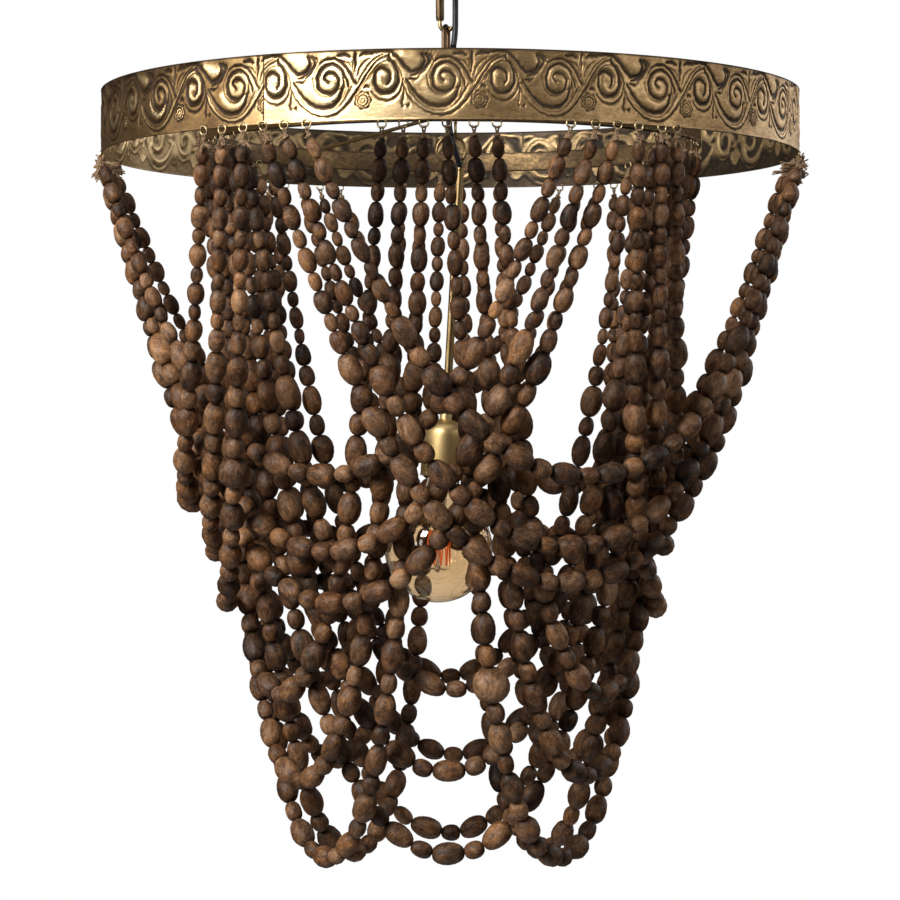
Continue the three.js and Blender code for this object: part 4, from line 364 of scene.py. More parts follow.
         172.15, 116.62, -521.89, 161.15, 124.05, -532.29, 140.42, 137.81, -547, 126.81, 146.67, -553.39, 103.76, 160.58, -559.29, 88.65, 168.87, -559.66, 65.06, 179.89, -555.71, 49.72, 186.85, -550.34, 27.29, 197.01, -538.34, 13.69, 203.19, -528.4,
         -5.58, 211.68, -509.88, -16.36, 216.13, -496.95, -32.42, 222.73, -474.28, -42.06, 226.62, -458.64, -54.82, 231.68, -435.41, -62.19, 234.56, -420.57, -73.15, 238.82, -396.48, -79.91, 241.44, -380.39, -90.19, 245.45, -353.7, -96.78, 248.06, -335.19,
         -101.68, 250, -321.1, -108.02, 252.53, -302.42, -112.31, 254.26, -289.47, -118.49, 256.75, -270.43, -122.89, 258.53, -256.55, -129.02, 261.03, -236.8, -133.04, 262.67, -223.58, -138.82, 265.03, -204.25, -143.04, 266.76, -189.95, -145.32, 267.7, -182.2]),
    "outer_m150_m30_1": ("ksmsmsmsmsmrLrLrLrLrBrLrLrLrLrmsmsmsmsmsk", [4, 11.11, 15.74, 11.75, 15.94, 10.68, 14.69, 11.01, 15.53, 11.22, 14.92, 15.8, 21.44, 16.13, 21.39, 16.83, 22.57, 16.41, 22.08, 16.15, 32.48, 15.88, 22.87, 15.82, 22.43, 15.63, 22.75, 15.77, 20.94, 16.58, 15.14, 11.08, 15.84, 11.05, 15.96, 11.42, 15.93, 11.26, 15.94, 10.83, 4],
        [-191.69, 236.72, -182.2, -192.23, 234.29, -187.66, -193.74, 227.56, -202.74, -195.59, 219.27, -221, -196.94, 213.23, -233.96, -198.8, 204.85, -251.47, -200.27, 198.21, -264.97, -202.17, 189.66, -281.94, -203.64, 182.99, -294.81, -205.57, 174.18, -311.35,
         -207.16, 166.98, -324.48, -209.29, 157.23, -341.68, -211.18, 148.59, -356.26, -214.65, 132.74, -380.45, -216.87, 122.57, -394.29, -220.5, 104.7, -415.69, -222.74, 92.4, -428.27, -225.12, 71.12, -446.09, -225.73, 55.74, -455.9, -225.99, 31.12, -467.79,
         -226.2, 13.44, -473.54, -226.53, -16.15, -473.84, -226.63, -32.39, -468.93, -226.69, -56.22, -457.98, -226.4, -70.98, -448.85, -224.2, -92.56, -431.18, -221.61, -105.3, -417.64, -217.94, -123.28, -395.32, -215.84, -133.5, -380.78, -212.66, -148.91, -356.42,
         -210.85, -157.68, -341.12, -208.97, -166.75, -324.52, -207.57, -173.54, -311.73, -205.79, -182.15, -294.99, -204.47, -188.56, -282.17, -202.71, -197.15, -264.46, -201.5, -203.02, -252.01, -199.77, -211.46, -233.57, -198.52, -217.6, -219.8, -196.94, -225.31, -202.08,
         -195.84, -230.71, -189.49, -195.21, -233.83, -182.2]),
    "outer_m150_m30_2": ("ksmsmsmsmsmLrLrLrLrLrLrLrLrLrLrLrLmsmsmsmsmsk", [4, 11.64, 14.64, 11.31, 15.75, 10.89, 15.2, 11.23, 15.52, 11.12, 14.53, 21.34, 16.44, 21.45, 15.78, 22.19, 16.14, 22.76, 15.71, 22.42, 16.38, 22.26, 16.84, 21.52, 15.64, 21.7, 15.72, 21.53, 16.62, 21.41, 16.74, 21.76, 16.91, 21.18, 15.65, 11.4, 14.94, 11.24, 14.79, 11.07, 15, 11.75, 14.84, 10.8, 4],
        [-176.25, 248.43, -182.2, -176.59, 246.44, -187.85, -177.51, 241.08, -203.04, -178.63, 234.55, -221.32, -179.46, 229.69, -234.66, -180.7, 222.56, -253.78, -181.55, 217.62, -266.67, -182.78, 210.64, -284.52, -183.79, 204.95, -298.7, -185.17, 197.19, -317.51,
         -186.19, 191.51, -330.9, -187.69, 183.2, -349.95, -189.8, 171.73, -374.27, -191.37, 163.17, -390.83, -193.95, 149.15, -415.29, -195.8, 138.9, -431.24, -198.72, 122.34, -453.74, -200.85, 110.06, -467.99, -204.07, 91.06, -486.33, -205.24, 76.61, -497.49,
         -205.04, 54, -510.71, -204.85, 37.19, -517.35, -204.46, 9.4, -522.71, -204.21, -8.29, -522.49, -203.87, -34.88, -517.1, -203.72, -50.93, -510.94, -203.61, -74.25, -497.79, -203.01, -87.8, -487.62, -200.46, -107.82, -468.69, -198.8, -119.41, -455.46,
         -196.24, -137.02, -431.89, -194.78, -146.87, -416.69, -192.6, -161.16, -391.75, -191.31, -169.52, -375.46, -189.48, -181.22, -350.45, -188.26, -189.1, -332.2, -187.39, -194.65, -318.97, -186.21, -202.24, -300.4, -185.42, -207.39, -287.46, -184.27, -214.87, -268.22,
         -183.45, -220.22, -254.12, -182.41, -227.01, -235.84, -181.64, -232.11, -221.76, -180.68, -238.41, -204.06, -179.9, -243.53, -189.46, -179.52, -246.08, -182.2]),
    "outer_m150_m30_3": ("ksmsmsmsmsmLrLrLrLrLrLrLrLrLrLrLrBrLrLmsmsmsmsmsk", [4, 11.15, 15.71, 11.48, 15.59, 10.79, 15.15, 10.7, 14.6, 11.66, 15.24, 22.37, 16.48, 22.29, 15.89, 22.97, 16.28, 21.17, 16.82, 21.74, 16.31, 22.44, 16.93, 21.37, 16.44, 22.22, 15.94, 22.92, 17.02, 22.2, 16.08, 22.47, 15.93, 30.18, 16.75, 20.93, 17.01, 22.28, 15.09, 11.04, 14.5, 11.27, 14.45, 11.05, 15.84, 11.19, 15.18, 11.37, 4],
        [-160.95, 258.6, -182.2, -161.23, 256.82, -187.92, -162.01, 251.83, -203.9, -162.94, 245.88, -222.76, -163.63, 241.45, -236.48, -164.64, 234.99, -256.1, -165.39, 230.23, -270.19, -166.45, 223.54, -289.6, -167.24, 218.59, -303.62, -168.37, 211.55, -323.15,
         -169.16, 206.61, -336.52, -170.3, 199.59, -355.05, -172.06, 188.88, -381.28, -173.2, 182.04, -396.77, -175.32, 169.39, -423.01, -176.66, 161.32, -438.29, -178.93, 147.46, -461.92, -180.54, 137.42, -477.09, -183.25, 119.91, -500.34, -185.11, 107.53, -514.39,
         -187.89, 86.43, -533.71, -189.8, 71.22, -544.6, -192.51, 47.22, -557.19, -194.04, 30.64, -562.72, -195.7, 3.65, -566.74, -195.29, -13.96, -566.17, -192.29, -40.69, -560.34, -190.31, -57.34, -553.78, -187.35, -82.07, -539.26, -185.79, -95.45, -528.72,
         -183.26, -114.83, -509.78, -181.54, -126.63, -496.08, -179.2, -142.83, -474.37, -177.85, -152.09, -460.38, -175.86, -165.41, -436.61, -174.61, -173.59, -419.7, -172.9, -184.61, -395.11, -171.86, -191.4, -378.87, -170.35, -201.21, -353.57, -169.32, -208.13, -334.49,
         -168.58, -213.08, -320.53, -167.57, -219.87, -300.97, -166.9, -224.47, -287.45, -166.02, -230.48, -269.4, -165.33, -235.23, -254.89, -164.49, -241.09, -236.58, -163.84, -245.58, -222.3, -163.02, -251.31, -203.76, -162.42, -255.54, -189.92, -162.08, -257.9, -182.2]),
    "inner_p0_p120_1": ("ksmsmsmsmsmLrLrLrLrLrLrLrLrLrLrLrLrLrLrLmsmsmsmsmsk", [4, 11.28, 14.81, 11.08, 14.81, 11.1, 15.4, 11.16, 14.47, 11.28, 14.67, 22.33, 16.7, 21.38, 16.05, 20.9, 15.61, 21, 15.91, 22.95, 16.3, 20.92, 16.62, 23.07, 15.91, 22.17, 15.52, 22.86, 15.71, 20.94, 15.79, 23.03, 15.65, 22.07, 16.96, 21.81, 16.8, 21.37, 15.89, 23, 14.91, 10.76, 14.5, 11.61, 15.2, 11.64, 15.64, 11.16, 14.8, 11.7, 4],
        [37.25, -216.01, -174.2, 37.7, -215.36, -180.15, 38.94, -213.55, -196.69, 40.36, -211.47, -215.4, 41.53, -209.77, -230.52, 43.04, -207.57, -249.71, 44.23, -205.82, -264.69, 45.8, -203.52, -283.94, 47, -201.76, -298.41, 48.59, -199.42, -317.2,
         49.82, -197.6, -331.55, 51.47, -195.17, -350.28, 53.86, -191.56, -376.4, 55.57, -188.91, -394.3, 58.41, -184.5, -421.79, 60.34, -181.5, -439.09, 63.77, -176.14, -467.37, 66.06, -172.54, -484.73, 70.18, -166.01, -513.02, 73.03, -161.47, -530.46,
         78.66, -154.66, -555.39, 83.83, -149.83, -571.8, 92.62, -141.24, -595.24, 99.99, -133.91, -610.58, 113.18, -119.53, -628.99, 123.61, -105.76, -636.14, 139.08, -81.13, -634.29, 147.04, -68.37, -626.2, 157.87, -51.1, -604.94, 161.58, -41.82, -588.71,
         164.02, -30.45, -564.76, 166.76, -22.72, -549.71, 171.97, -10.94, -525.23, 174.58, -4.31, -509.26, 178.22, 4.24, -484.08, 179.71, 8.67, -467.24, 182.87, 15.79, -439.63, 185.22, 20.12, -422.59, 188.52, 26.21, -396.35, 190.66, 30.14, -377.91,
         193.62, 35.54, -350.23, 195.46, 38.86, -331.74, 196.85, 41.36, -317.44, 198.78, 44.81, -297.26, 200.18, 47.29, -282.4, 201.98, 50.49, -262.78, 203.27, 52.76, -248.46, 204.91, 55.64, -229.87, 206.2, 57.89, -215.04, 207.85, 60.77, -195.73,
         209.02, 62.82, -181.83, 209.67, 63.94, -174.2]),
    "inner_p0_p120_2": ("ksmsmsmsmsmLrLrLrLrLrLrLrLrLrLrLrLrLrLrLrLrLrLmsmsmsmsmsk", [4, 11.72, 15.34, 11.25, 15.52, 11.22, 14.9, 11.54, 15.46, 11.19, 14.91, 22.58, 16.61, 21.24, 15.88, 21.26, 15.77, 22.33, 16.22, 21.58, 16.46, 22, 16.06, 22.39, 16.02, 21.74, 15.65, 21.54, 16.48, 21.54, 16.93, 22.76, 15.69, 22.62, 16.61, 22.23, 15.63, 22.9, 16.16, 22.27, 16.93, 23.06, 16.39, 22.57, 16.42, 21.62, 15.78, 11.23, 15.83, 11.34, 15.81, 11.53, 15.35, 11.28, 15.82, 11.58, 4],
        [18.88, -218.39, -174.2, 19.23, -217.81, -180.16, 20.17, -216.22, -196.51, 21.34, -214.25, -216.65, 22.19, -212.85, -230.81, 23.38, -210.86, -250.48, 24.33, -209.28, -265.81, 25.59, -207.2, -285.63, 26.52, -205.66, -300.01, 27.91, -203.38, -320.92,
         28.93, -201.71, -335.87, 30.3, -199.49, -355.37, 32.36, -196.25, -382.06, 33.97, -193.8, -400.82, 36.4, -190.09, -427.35, 38.2, -187.32, -445.79, 41.02, -182.97, -472.65, 43.03, -179.85, -490.46, 46.31, -174.7, -517.33, 48.74, -171.25, -534.57,
         53.05, -165.75, -560.86, 56.32, -161.56, -578.75, 61.76, -154.6, -604.72, 65.83, -149.36, -621.48, 72.97, -140.1, -646.05, 78.33, -133.05, -661.01, 88.56, -119.42, -683.08, 96.79, -108.18, -695.53, 111.49, -86.27, -707.91, 121.69, -70.6, -708.56,
         135.35, -49.08, -698.98, 142.62, -37.13, -688.24, 150.44, -20.8, -665.2, 153.45, -12.78, -649.98, 157.29, -2.14, -625.07, 159.34, 3.79, -608.3, 161.93, 11.71, -581.95, 163.12, 16.41, -563.99, 166.42, 24.29, -535.89, 168.48, 28.75, -518.94,
         171.98, 35.01, -492.47, 174.47, 38.76, -474.87, 177.93, 44.02, -447.82, 180.12, 47.39, -429.1, 183.13, 52.05, -401.26, 184.86, 54.74, -384.13, 187.63, 59.05, -355.1, 189.39, 61.78, -335.74, 190.67, 63.74, -321.54, 192.53, 66.6, -300.5,
         193.77, 68.5, -286.22, 195.5, 71.13, -266.14, 196.74, 73.01, -251.43, 198.35, 75.44, -232.21, 199.63, 77.37, -216.68, 201.25, 79.8, -196.77, 202.42, 81.55, -182.31, 203.07, 82.53, -174.2]),
    "inner_p0_p120_3": ("ksmsmsmsmsmsLrLrLrLrLrBrLrLrLrLrLrLrLrLrLrLrLrLrLrLsmsmsmsmsmsk", [4, 10.66, 15.23, 10.79, 15.71, 11.7, 15.12, 11.1, 14.86, 11.47, 15.28, 11.26, 21.33, 15.66, 22.3, 16.09, 22.48, 15.75, 21.42, 16.53, 21.24, 16.82, 31.78, 16.4, 22.24, 15.78, 21.3, 16.13, 22.6, 16.4, 21.79, 16.91, 22.92, 15.94, 21.34, 16.85, 22.04, 16.11, 22.03, 15.68, 23.09, 16.94, 22.19, 16.77, 21.89, 15.96, 23.09, 15.62, 21.89, 15.94, 22.5, 11.48, 14.77, 10.77, 15.63, 11.36, 15.61, 11.72, 14.47, 11.47, 15.76, 10.72, 4],
        [-2.63, -219.18, -174.2, -2.27, -218.63, -180.16, -1.19, -216.98, -197.93, 0.08, -215.03, -218.66, 0.99, -213.62, -233.47, 2.32, -211.58, -254.56, 3.28, -210.11, -269.49, 4.68, -207.97, -290.83, 5.71, -206.39, -306.24, 7.04, -204.34, -325.95,
         8.11, -202.7, -341.49, 9.59, -200.44, -362.51, 10.66, -198.8, -377.53, 12.67, -195.72, -404.63, 14.16, -193.45, -423.7, 16.43, -189.97, -451.51, 18.03, -187.53, -469.96, 20.44, -183.79, -497.9, 22.05, -181.25, -516.61, 24.64, -177.18, -544.76,
         26.34, -174.5, -562.07, 29.15, -170.07, -588.65, 31.34, -166.62, -607.66, 35.42, -160.17, -636.94, 38.46, -155.38, -654.32, 43.69, -147.1, -680.46, 47.73, -140.71, -697.72, 54.5, -130.07, -721.99, 60.05, -121.41, -738.04, 69.61, -106.62, -758.53,
         77.31, -94.76, -769.41, 91.27, -73.22, -779.42, 101.2, -57.73, -779.49, 115.15, -35.74, -768.48, 122.96, -23.48, -756.19, 132.02, -8.74, -734.97, 136.37, -0.3, -719.41, 141.92, 10.56, -694.63, 144.98, 16.55, -678.42, 149.12, 24.65, -653.13,
         151.72, 29.79, -634.92, 155.19, 36.7, -607.21, 157.32, 40.9, -588.43, 160.49, 46.71, -560.14, 162.95, 50.35, -541.28, 166.41, 55.53, -512.07, 168.29, 58.41, -494.64, 171.14, 62.59, -467.99, 172.96, 65.26, -450.05, 175.56, 69.08, -422.99,
         177.21, 71.49, -405.04, 179.84, 75.27, -375.3, 181.15, 77.13, -360.04, 182.81, 79.48, -340.43, 184.07, 81.25, -325.41, 185.83, 83.71, -304.22, 187.09, 85.46, -288.95, 188.76, 87.78, -268.3, 189.89, 89.35, -254.16, 191.53, 91.6, -233.58,
         192.69, 93.21, -218.66, 194.29, 95.4, -198.04, 195.46, 97.01, -182.78, 196.12, 97.91, -174.2]),
    "inner_p120_m120_1": ("ksmsmsmsmsmrLrLrLrLrLrLrLrLrLrLrLrLrLrLrmsmsmsmsmsk", [4, 11.61, 15.85, 11.33, 15.54, 11.51, 15.11, 11.24, 14.57, 11.07, 14.73, 15.54, 22.44, 15.5, 21.08, 16.83, 21.44, 16.14, 22.56, 16.4, 21.79, 16.68, 21.89, 16.44, 22.76, 15.94, 22.49, 16.03, 22.87, 15.79, 21.16, 16.09, 21.33, 15.57, 21.08, 16.03, 22.51, 15.63, 22.51, 16.04, 15.92, 10.75, 14.87, 11.28, 14.52, 11.33, 14.79, 10.7, 14.76, 11.59, 4],
        [165.99, 143.17, -174.2, 165.15, 143.3, -180.14, 162.85, 143.65, -196.38, 160.03, 144.08, -216.04, 157.87, 144.41, -230.81, 154.77, 144.87, -251.56, 152.57, 145.19, -266, 149.33, 145.66, -286.77, 147.1, 145.97, -300.76, 143.82, 146.42, -320.91,
         141.4, 146.74, -335.45, 137.88, 147.2, -356.11, 134.66, 147.6, -374.42, 129.17, 148.26, -403.26, 125.48, 148.69, -421.1, 119.17, 149.43, -449.34, 114.73, 149.97, -467.56, 107.06, 150.97, -496.07, 101.55, 151.72, -514.46, 92.11, 153.05, -542.06,
         85.86, 154.32, -558.54, 73.88, 157.64, -585.36, 64.45, 159.72, -601.58, 47.61, 162.09, -623.5, 34.03, 162.86, -635.54, 9.32, 161.84, -646.92, -8.75, 160.55, -647.09, -35.43, 158.52, -634.47, -48.74, 157.58, -622.2, -65.14, 154.99, -598.45,
         -72.8, 152.66, -582.22, -82.92, 149.56, -556.63, -88.9, 147.59, -539.39, -97.87, 145.45, -510.62, -103.08, 145.03, -493.92, -111.1, 144.4, -465.47, -115.87, 144.19, -447.11, -122.26, 144.12, -420.49, -126.5, 144.08, -401.35, -132.04, 144.01, -374.4,
         -135.65, 143.93, -355.54, -139.41, 143.84, -335.22, -141.95, 143.77, -321.14, -145.56, 143.66, -300.79, -147.98, 143.58, -286.83, -151.34, 143.45, -267.09, -153.73, 143.36, -252.82, -157.01, 143.22, -232.8, -159.45, 143.11, -217.7, -162.69, 142.96, -197.24,
         -165.1, 142.85, -181.91, -166.31, 142.79, -174.2]),
    "inner_p120_m120_2": ("ksmsmsmsmsmrLrLrLrLrLrLrLrLrLrLrLrLrLrLrLrLrLrLrmsmsmsmsmsk", [4, 11.23, 14.61, 11.68, 15.46, 11.26, 15.63, 11.73, 15.45, 10.72, 15.48, 16.54, 21.06, 17, 21.03, 16.99, 22.72, 15.63, 21.24, 16.56, 21.65, 15.76, 22.45, 16.21, 22.83, 16.97, 21.74, 16.22, 21.95, 15.72, 21.21, 17.08, 21.98, 16.03, 22.48, 15.61, 21.13, 15.57, 22.51, 16, 21.61, 16.63, 20.93, 16.66, 21.77, 16.33, 21.43, 16.11, 15.35, 11.26, 15.93, 10.93, 15.7, 10.94, 15.35, 10.8, 15.23, 11.57, 4],
        [176.61, 129.84, -174.2, 175.93, 129.86, -180.16, 173.95, 129.92, -197.56, 171.65, 129.99, -217.58, 169.95, 130.05, -232.18, 167.61, 130.12, -251.93, 165.92, 130.17, -265.96, 163.51, 130.25, -285.56, 161.78, 130.3, -299.41, 159.29, 130.37, -318.87,
         157.32, 130.43, -333.99, 154.77, 130.51, -353.2, 152.46, 130.58, -369.99, 148.64, 130.69, -396.35, 145.89, 130.76, -414.11, 141.34, 130.89, -441.45, 138.34, 130.97, -458.29, 133.22, 131.13, -485.78, 129.73, 131.27, -503.7, 123.82, 131.5, -531.47,
         119.7, 131.67, -549.01, 112.96, 132.29, -575.1, 108.05, 132.99, -592.21, 99.08, 134.28, -619.49, 92.87, 135.17, -635.6, 81.41, 136.82, -660.25, 72.28, 138.04, -675.6, 54.04, 140.28, -698.12, 39.52, 141.13, -709.33, 11.91, 140.94, -718.59,
         -6.05, 140.5, -717.57, -30.17, 139.63, -707.92, -44.45, 139.11, -697.12, -62.29, 137.02, -676.39, -71.94, 135.7, -661.54, -84.63, 133.77, -636.44, -90.94, 132.66, -620.96, -100.32, 130.6, -593.58, -105.16, 129.34, -577.16, -112.8, 128.19, -549.39,
         -117.35, 127.96, -531.83, -123.95, 127.73, -503.94, -127.62, 127.71, -487.37, -133.1, 127.71, -460.6, -136.51, 127.82, -443.12, -141.61, 128.1, -415.74, -144.78, 128.26, -397.75, -149.45, 128.42, -369.9, -152.42, 128.48, -351.31, -155.34, 128.53, -332.43,
         -157.52, 128.56, -318.05, -160.28, 128.6, -299.46, -162.33, 128.62, -285.38, -165, 128.65, -266.66, -167.05, 128.66, -252.02, -169.85, 128.68, -231.52, -171.74, 128.69, -217.46, -174.41, 128.7, -197.31, -176.4, 128.7, -182.15, -177.44, 128.71, -174.2]),
    "inner_p120_m120_3": ("ksmsmsmsmsmrLrLrLrLrLrLrLrLrLrLrLrLrLrLrLrLrLrLrLrLrmsmsmsmsmsk", [4, 11.58, 14.68, 11.64, 14.93, 10.9, 14.47, 11.62, 14.49, 11.42, 15.33, 16.34, 22.58, 16.41, 21.39, 16.38, 21.35, 16.83, 21.41, 16.92, 22.65, 16.33, 22.07, 15.52, 21.6, 16.81, 23.01, 15.8, 21.48, 16.37, 22.74, 16.73, 22.4, 16.14, 22.06, 16.73, 21.93, 15.86, 21.23, 16.3, 21.43, 17.01, 22.5, 16.28, 21.64, 15.54, 21.72, 15.96, 22.2, 16.94, 21.59, 17.06, 15.72, 10.74, 15.78, 10.83, 15, 11.21, 15.57, 10.84, 15.61, 10.75, 4],
        [187.41, 113.69, -174.2, 186.68, 113.62, -180.16, 184.46, 113.42, -198.29, 181.95, 113.19, -218.53, 180.07, 113.02, -233.54, 177.44, 112.78, -254.23, 175.52, 112.6, -269.12, 172.97, 112.37, -288.6, 170.94, 112.19, -303.91, 168.04, 111.94, -325.4,
         166.09, 111.78, -339.69, 163.28, 111.54, -359.89, 160.78, 111.34, -377.55, 156.55, 111.04, -406.14, 153.81, 110.88, -423.85, 148.97, 110.62, -453.67, 145.79, 110.47, -472.19, 140.69, 110.55, -501.73, 137.66, 110.81, -519.12, 132.17, 111.29, -548.48,
         128.69, 111.62, -565.65, 122.38, 112.24, -594.03, 118.12, 112.67, -611.32, 110.65, 113.42, -638.58, 104.95, 113.98, -657.08, 96.01, 114.86, -682.87, 89.32, 115.51, -699.76, 76.6, 116.72, -726.56, 67.07, 117.58, -742.72, 48.76, 118.35, -765.29,
         34.03, 118.31, -776.88, 9.16, 118.23, -787.08, -8.38, 118.28, -787.6, -35.92, 118.47, -777.27, -51.17, 118.51, -765.25, -69.48, 117.64, -741.94, -78.37, 116.73, -725.95, -89.82, 115.53, -700.47, -96.28, 114.88, -683.48, -105.71, 114.03, -655,
         -111, 113.63, -637.02, -118.54, 113.15, -608.55, -122.68, 112.87, -591.27, -129.02, 112.37, -562.01, -132.59, 112.2, -544.08, -138.33, 112.17, -515.04, -141.81, 112.13, -497.24, -147.17, 111.96, -467.77, -150.15, 111.86, -450.35, -154.81, 111.75, -421.5,
         -157.66, 111.74, -402.94, -161.54, 111.83, -376.19, -163.93, 111.95, -358.85, -166.74, 112.12, -338.02, -168.71, 112.25, -323.28, -171.34, 112.44, -303.2, -173.33, 112.59, -287.87, -176.02, 112.8, -266.82, -177.86, 112.95, -252.2, -180.37, 113.17, -231.95,
         -182.14, 113.32, -217.46, -184.54, 113.54, -197.62, -186.32, 113.71, -182.79, -187.35, 113.8, -174.2]),
    "inner_m120_p0_1": ("ksmsmsmsmsmrLrLrLrLrLrLrLrLrLrLrLrLrLrLrmsmsmsmsmsk", [4, 11.05, 15.02, 10.94, 14.58, 10.91, 14.74, 11.08, 15.34, 11.38, 14.64, 15.9, 22.12, 15.97, 22.26, 16.21, 22.05, 16.09, 21.17, 16.06, 22.85, 17.05, 21.09, 16.85, 21.54, 15.7, 22.74, 16.86, 22.96, 15.93, 21.27, 15.67, 22.21, 16.24, 22.08, 16.06, 21.92, 16.85, 21.03, 16.44, 14.65, 10.93, 15.66, 11.15, 14.89, 11.52, 14.47, 11.48, 15.88, 11.45, 4],
        [-209.52, 64.42, -174.2, -209.21, 63.67, -180.15, -208.31, 61.53, -197.13, -207.24, 59, -217.09, -206.42, 57.07, -232.02, -205.36, 54.55, -251.14, -204.49, 52.52, -266.31, -203.28, 49.69, -286.98, -202.45, 47.77, -300.74, -201.27, 45.04, -319.89,
         -200.34, 42.92, -334.45, -199.05, 39.96, -354.32, -197.78, 37.09, -372.93, -195.83, 32.69, -399.5, -194.46, 29.61, -416.72, -192.1, 24.31, -443.92, -190.55, 20.8, -460.34, -187.61, 14.1, -488.52, -185.59, 9.45, -505.92, -181.91, 1.16, -532.89,
         -178.81, -5.33, -550.3, -175.03, -15.64, -575.45, -173.25, -23.18, -591.6, -167.85, -36.9, -615.29, -162.42, -47.4, -627.33, -149.56, -69.16, -639.14, -139.98, -84.52, -639.21, -126.46, -105.34, -627.29, -118.77, -116.19, -614.27, -108.61, -127.87, -590.73,
         -102.52, -132.79, -574.42, -95.11, -140.56, -549.38, -91.48, -146.12, -533.47, -86.57, -153.45, -507.78, -84.05, -158.08, -491.22, -80.41, -164.8, -464.39, -78.2, -168.89, -446.34, -75.14, -174.73, -418.35, -73.34, -178.17, -400.44, -70.71, -183.17, -372.33,
         -69.21, -185.98, -355.43, -67.45, -189.23, -335.14, -66.24, -191.45, -321.04, -64.53, -194.57, -300.61, -63.28, -196.83, -285.47, -61.62, -199.81, -265.08, -60.51, -201.8, -251.2, -58.89, -204.68, -230.67, -57.74, -206.72, -215.77, -56.24, -209.37, -196.17,
         -55.17, -211.25, -182.1, -54.58, -212.3, -174.2]),
    "inner_m120_p0_2": ("ksmsmsmsmsmLrLrLrLrLrLrLrLrLrLrLrLrLrLrLrLrLrLmsmsmsmsmsk", [4, 11.32, 14.92, 11.56, 15.32, 10.77, 15.36, 10.68, 15.21, 10.99, 15.03, 22.36, 16.45, 22.38, 17.1, 21.62, 16.16, 21.6, 15.5, 22.97, 16.97, 21.61, 15.75, 22.54, 15.61, 21.62, 16.89, 22.72, 16.57, 22.83, 16.95, 20.98, 16.35, 22.89, 15.56, 21.88, 16.03, 21.3, 16.06, 22.51, 16.75, 22.49, 16.4, 21.11, 16.54, 21.84, 15.83, 11.4, 14.87, 11.12, 14.6, 11.22, 14.83, 10.65, 15.1, 11.27, 4],
        [-203.68, 81.02, -174.2, -203.38, 80.42, -180.16, -202.55, 78.73, -196.83, -201.53, 76.65, -217.24, -200.77, 75.12, -232.03, -199.67, 72.88, -253.16, -198.91, 71.35, -267.33, -197.78, 69.07, -288.06, -196.99, 67.49, -302.11, -195.84, 65.18, -322.3,
         -195.02, 63.53, -336.41, -193.78, 61.06, -357.17, -191.99, 57.46, -385.44, -190.84, 55.14, -402.51, -188.75, 50.91, -431.65, -187.4, 48.11, -449.56, -185.1, 43.33, -478.08, -183.53, 40.02, -496.36, -181.07, 34.83, -522.9, -179.35, 31.24, -539.79,
         -176.65, 25.1, -566.13, -174.78, 20.43, -584.05, -171.35, 12.24, -611.44, -168.86, 6.44, -628.21, -164.15, -3.58, -652.34, -160.03, -11.88, -668.27, -153.03, -26.38, -689.73, -146.98, -37.42, -701.43, -132.94, -60.17, -713.81, -123.35, -75.74, -713.67,
         -110.19, -96.85, -702.37, -102.97, -108.27, -690.33, -92.54, -121.98, -666.76, -87.33, -128.56, -651.69, -80.19, -137.76, -625.61, -76.41, -142.7, -608.88, -71.27, -149.42, -582.6, -68.05, -153.52, -564.02, -64.05, -158.81, -537.5, -61.62, -162.16, -519.17,
         -58.46, -167.81, -490.23, -56.84, -171.66, -471.71, -54.64, -176.98, -443.95, -53.33, -180.19, -425.93, -51.5, -184.79, -398.54, -50.38, -187.62, -380.72, -48.48, -192.06, -351.57, -47.18, -194.87, -332.34, -46.23, -196.9, -318.18, -44.91, -199.76, -297.88,
         -43.98, -201.77, -283.38, -42.78, -204.34, -264.47, -41.91, -206.22, -250.41, -40.73, -208.74, -231.19, -39.88, -210.55, -217.16, -38.68, -213.11, -197.1, -37.81, -214.98, -182.25, -37.33, -216, -174.2]),
    "inner_m120_p0_3": ("ksmsmsmsmsmLrLrLrLrLrLrLrLrLrLrLrLrLrLrLrLrLrLrLrLrLmsmsmsmsmsk", [4, 10.89, 15.88, 11.69, 15.38, 11.43, 14.96, 11.46, 15.14, 10.7, 14.49, 22.99, 16.59, 21.41, 17, 21.17, 15.73, 22.8, 16.14, 20.94, 15.92, 20.98, 15.56, 21.17, 16.28, 21.29, 16.26, 21.1, 15.52, 22.78, 15.66, 22.14, 16.6, 21.89, 15.65, 23, 15.95, 20.92, 15.5, 21.28, 15.63, 22.59, 16.63, 21.68, 15.79, 21.19, 16.57, 20.91, 16.96, 21.15, 16.71, 21.43, 15.2, 11.19, 15.82, 11.7, 15.57, 10.88, 15.31, 10.69, 14.92, 11.56, 4],
        [-195.56, 99.01, -174.2, -195.26, 98.5, -180.17, -194.4, 97.01, -197.34, -193.34, 95.17, -218.24, -192.56, 93.82, -233.44, -191.49, 91.97, -253.76, -190.72, 90.65, -268.12, -189.6, 88.72, -288.66, -188.78, 87.31, -303.37, -187.57, 85.25, -324.6,
         -186.72, 83.81, -339.12, -185.49, 81.7, -360.05, -183.73, 78.74, -387.89, -182.56, 76.8, -405.18, -180.64, 73.63, -431.97, -179.25, 71.34, -450.24, -176.97, 67.6, -478.42, -175.47, 65.15, -495.83, -173, 61.07, -522.79, -171.24, 58.13, -540.74,
         -168.63, 53.53, -566.97, -166.84, 50.17, -584.65, -163.67, 44.12, -613.5, -161.49, 39.9, -631.48, -157.97, 33.08, -657.42, -155.29, 27.92, -674.63, -150.6, 18.95, -700.28, -146.74, 11.68, -717.7, -140.07, -0.82, -741.91, -134.54, -10.67, -756.41,
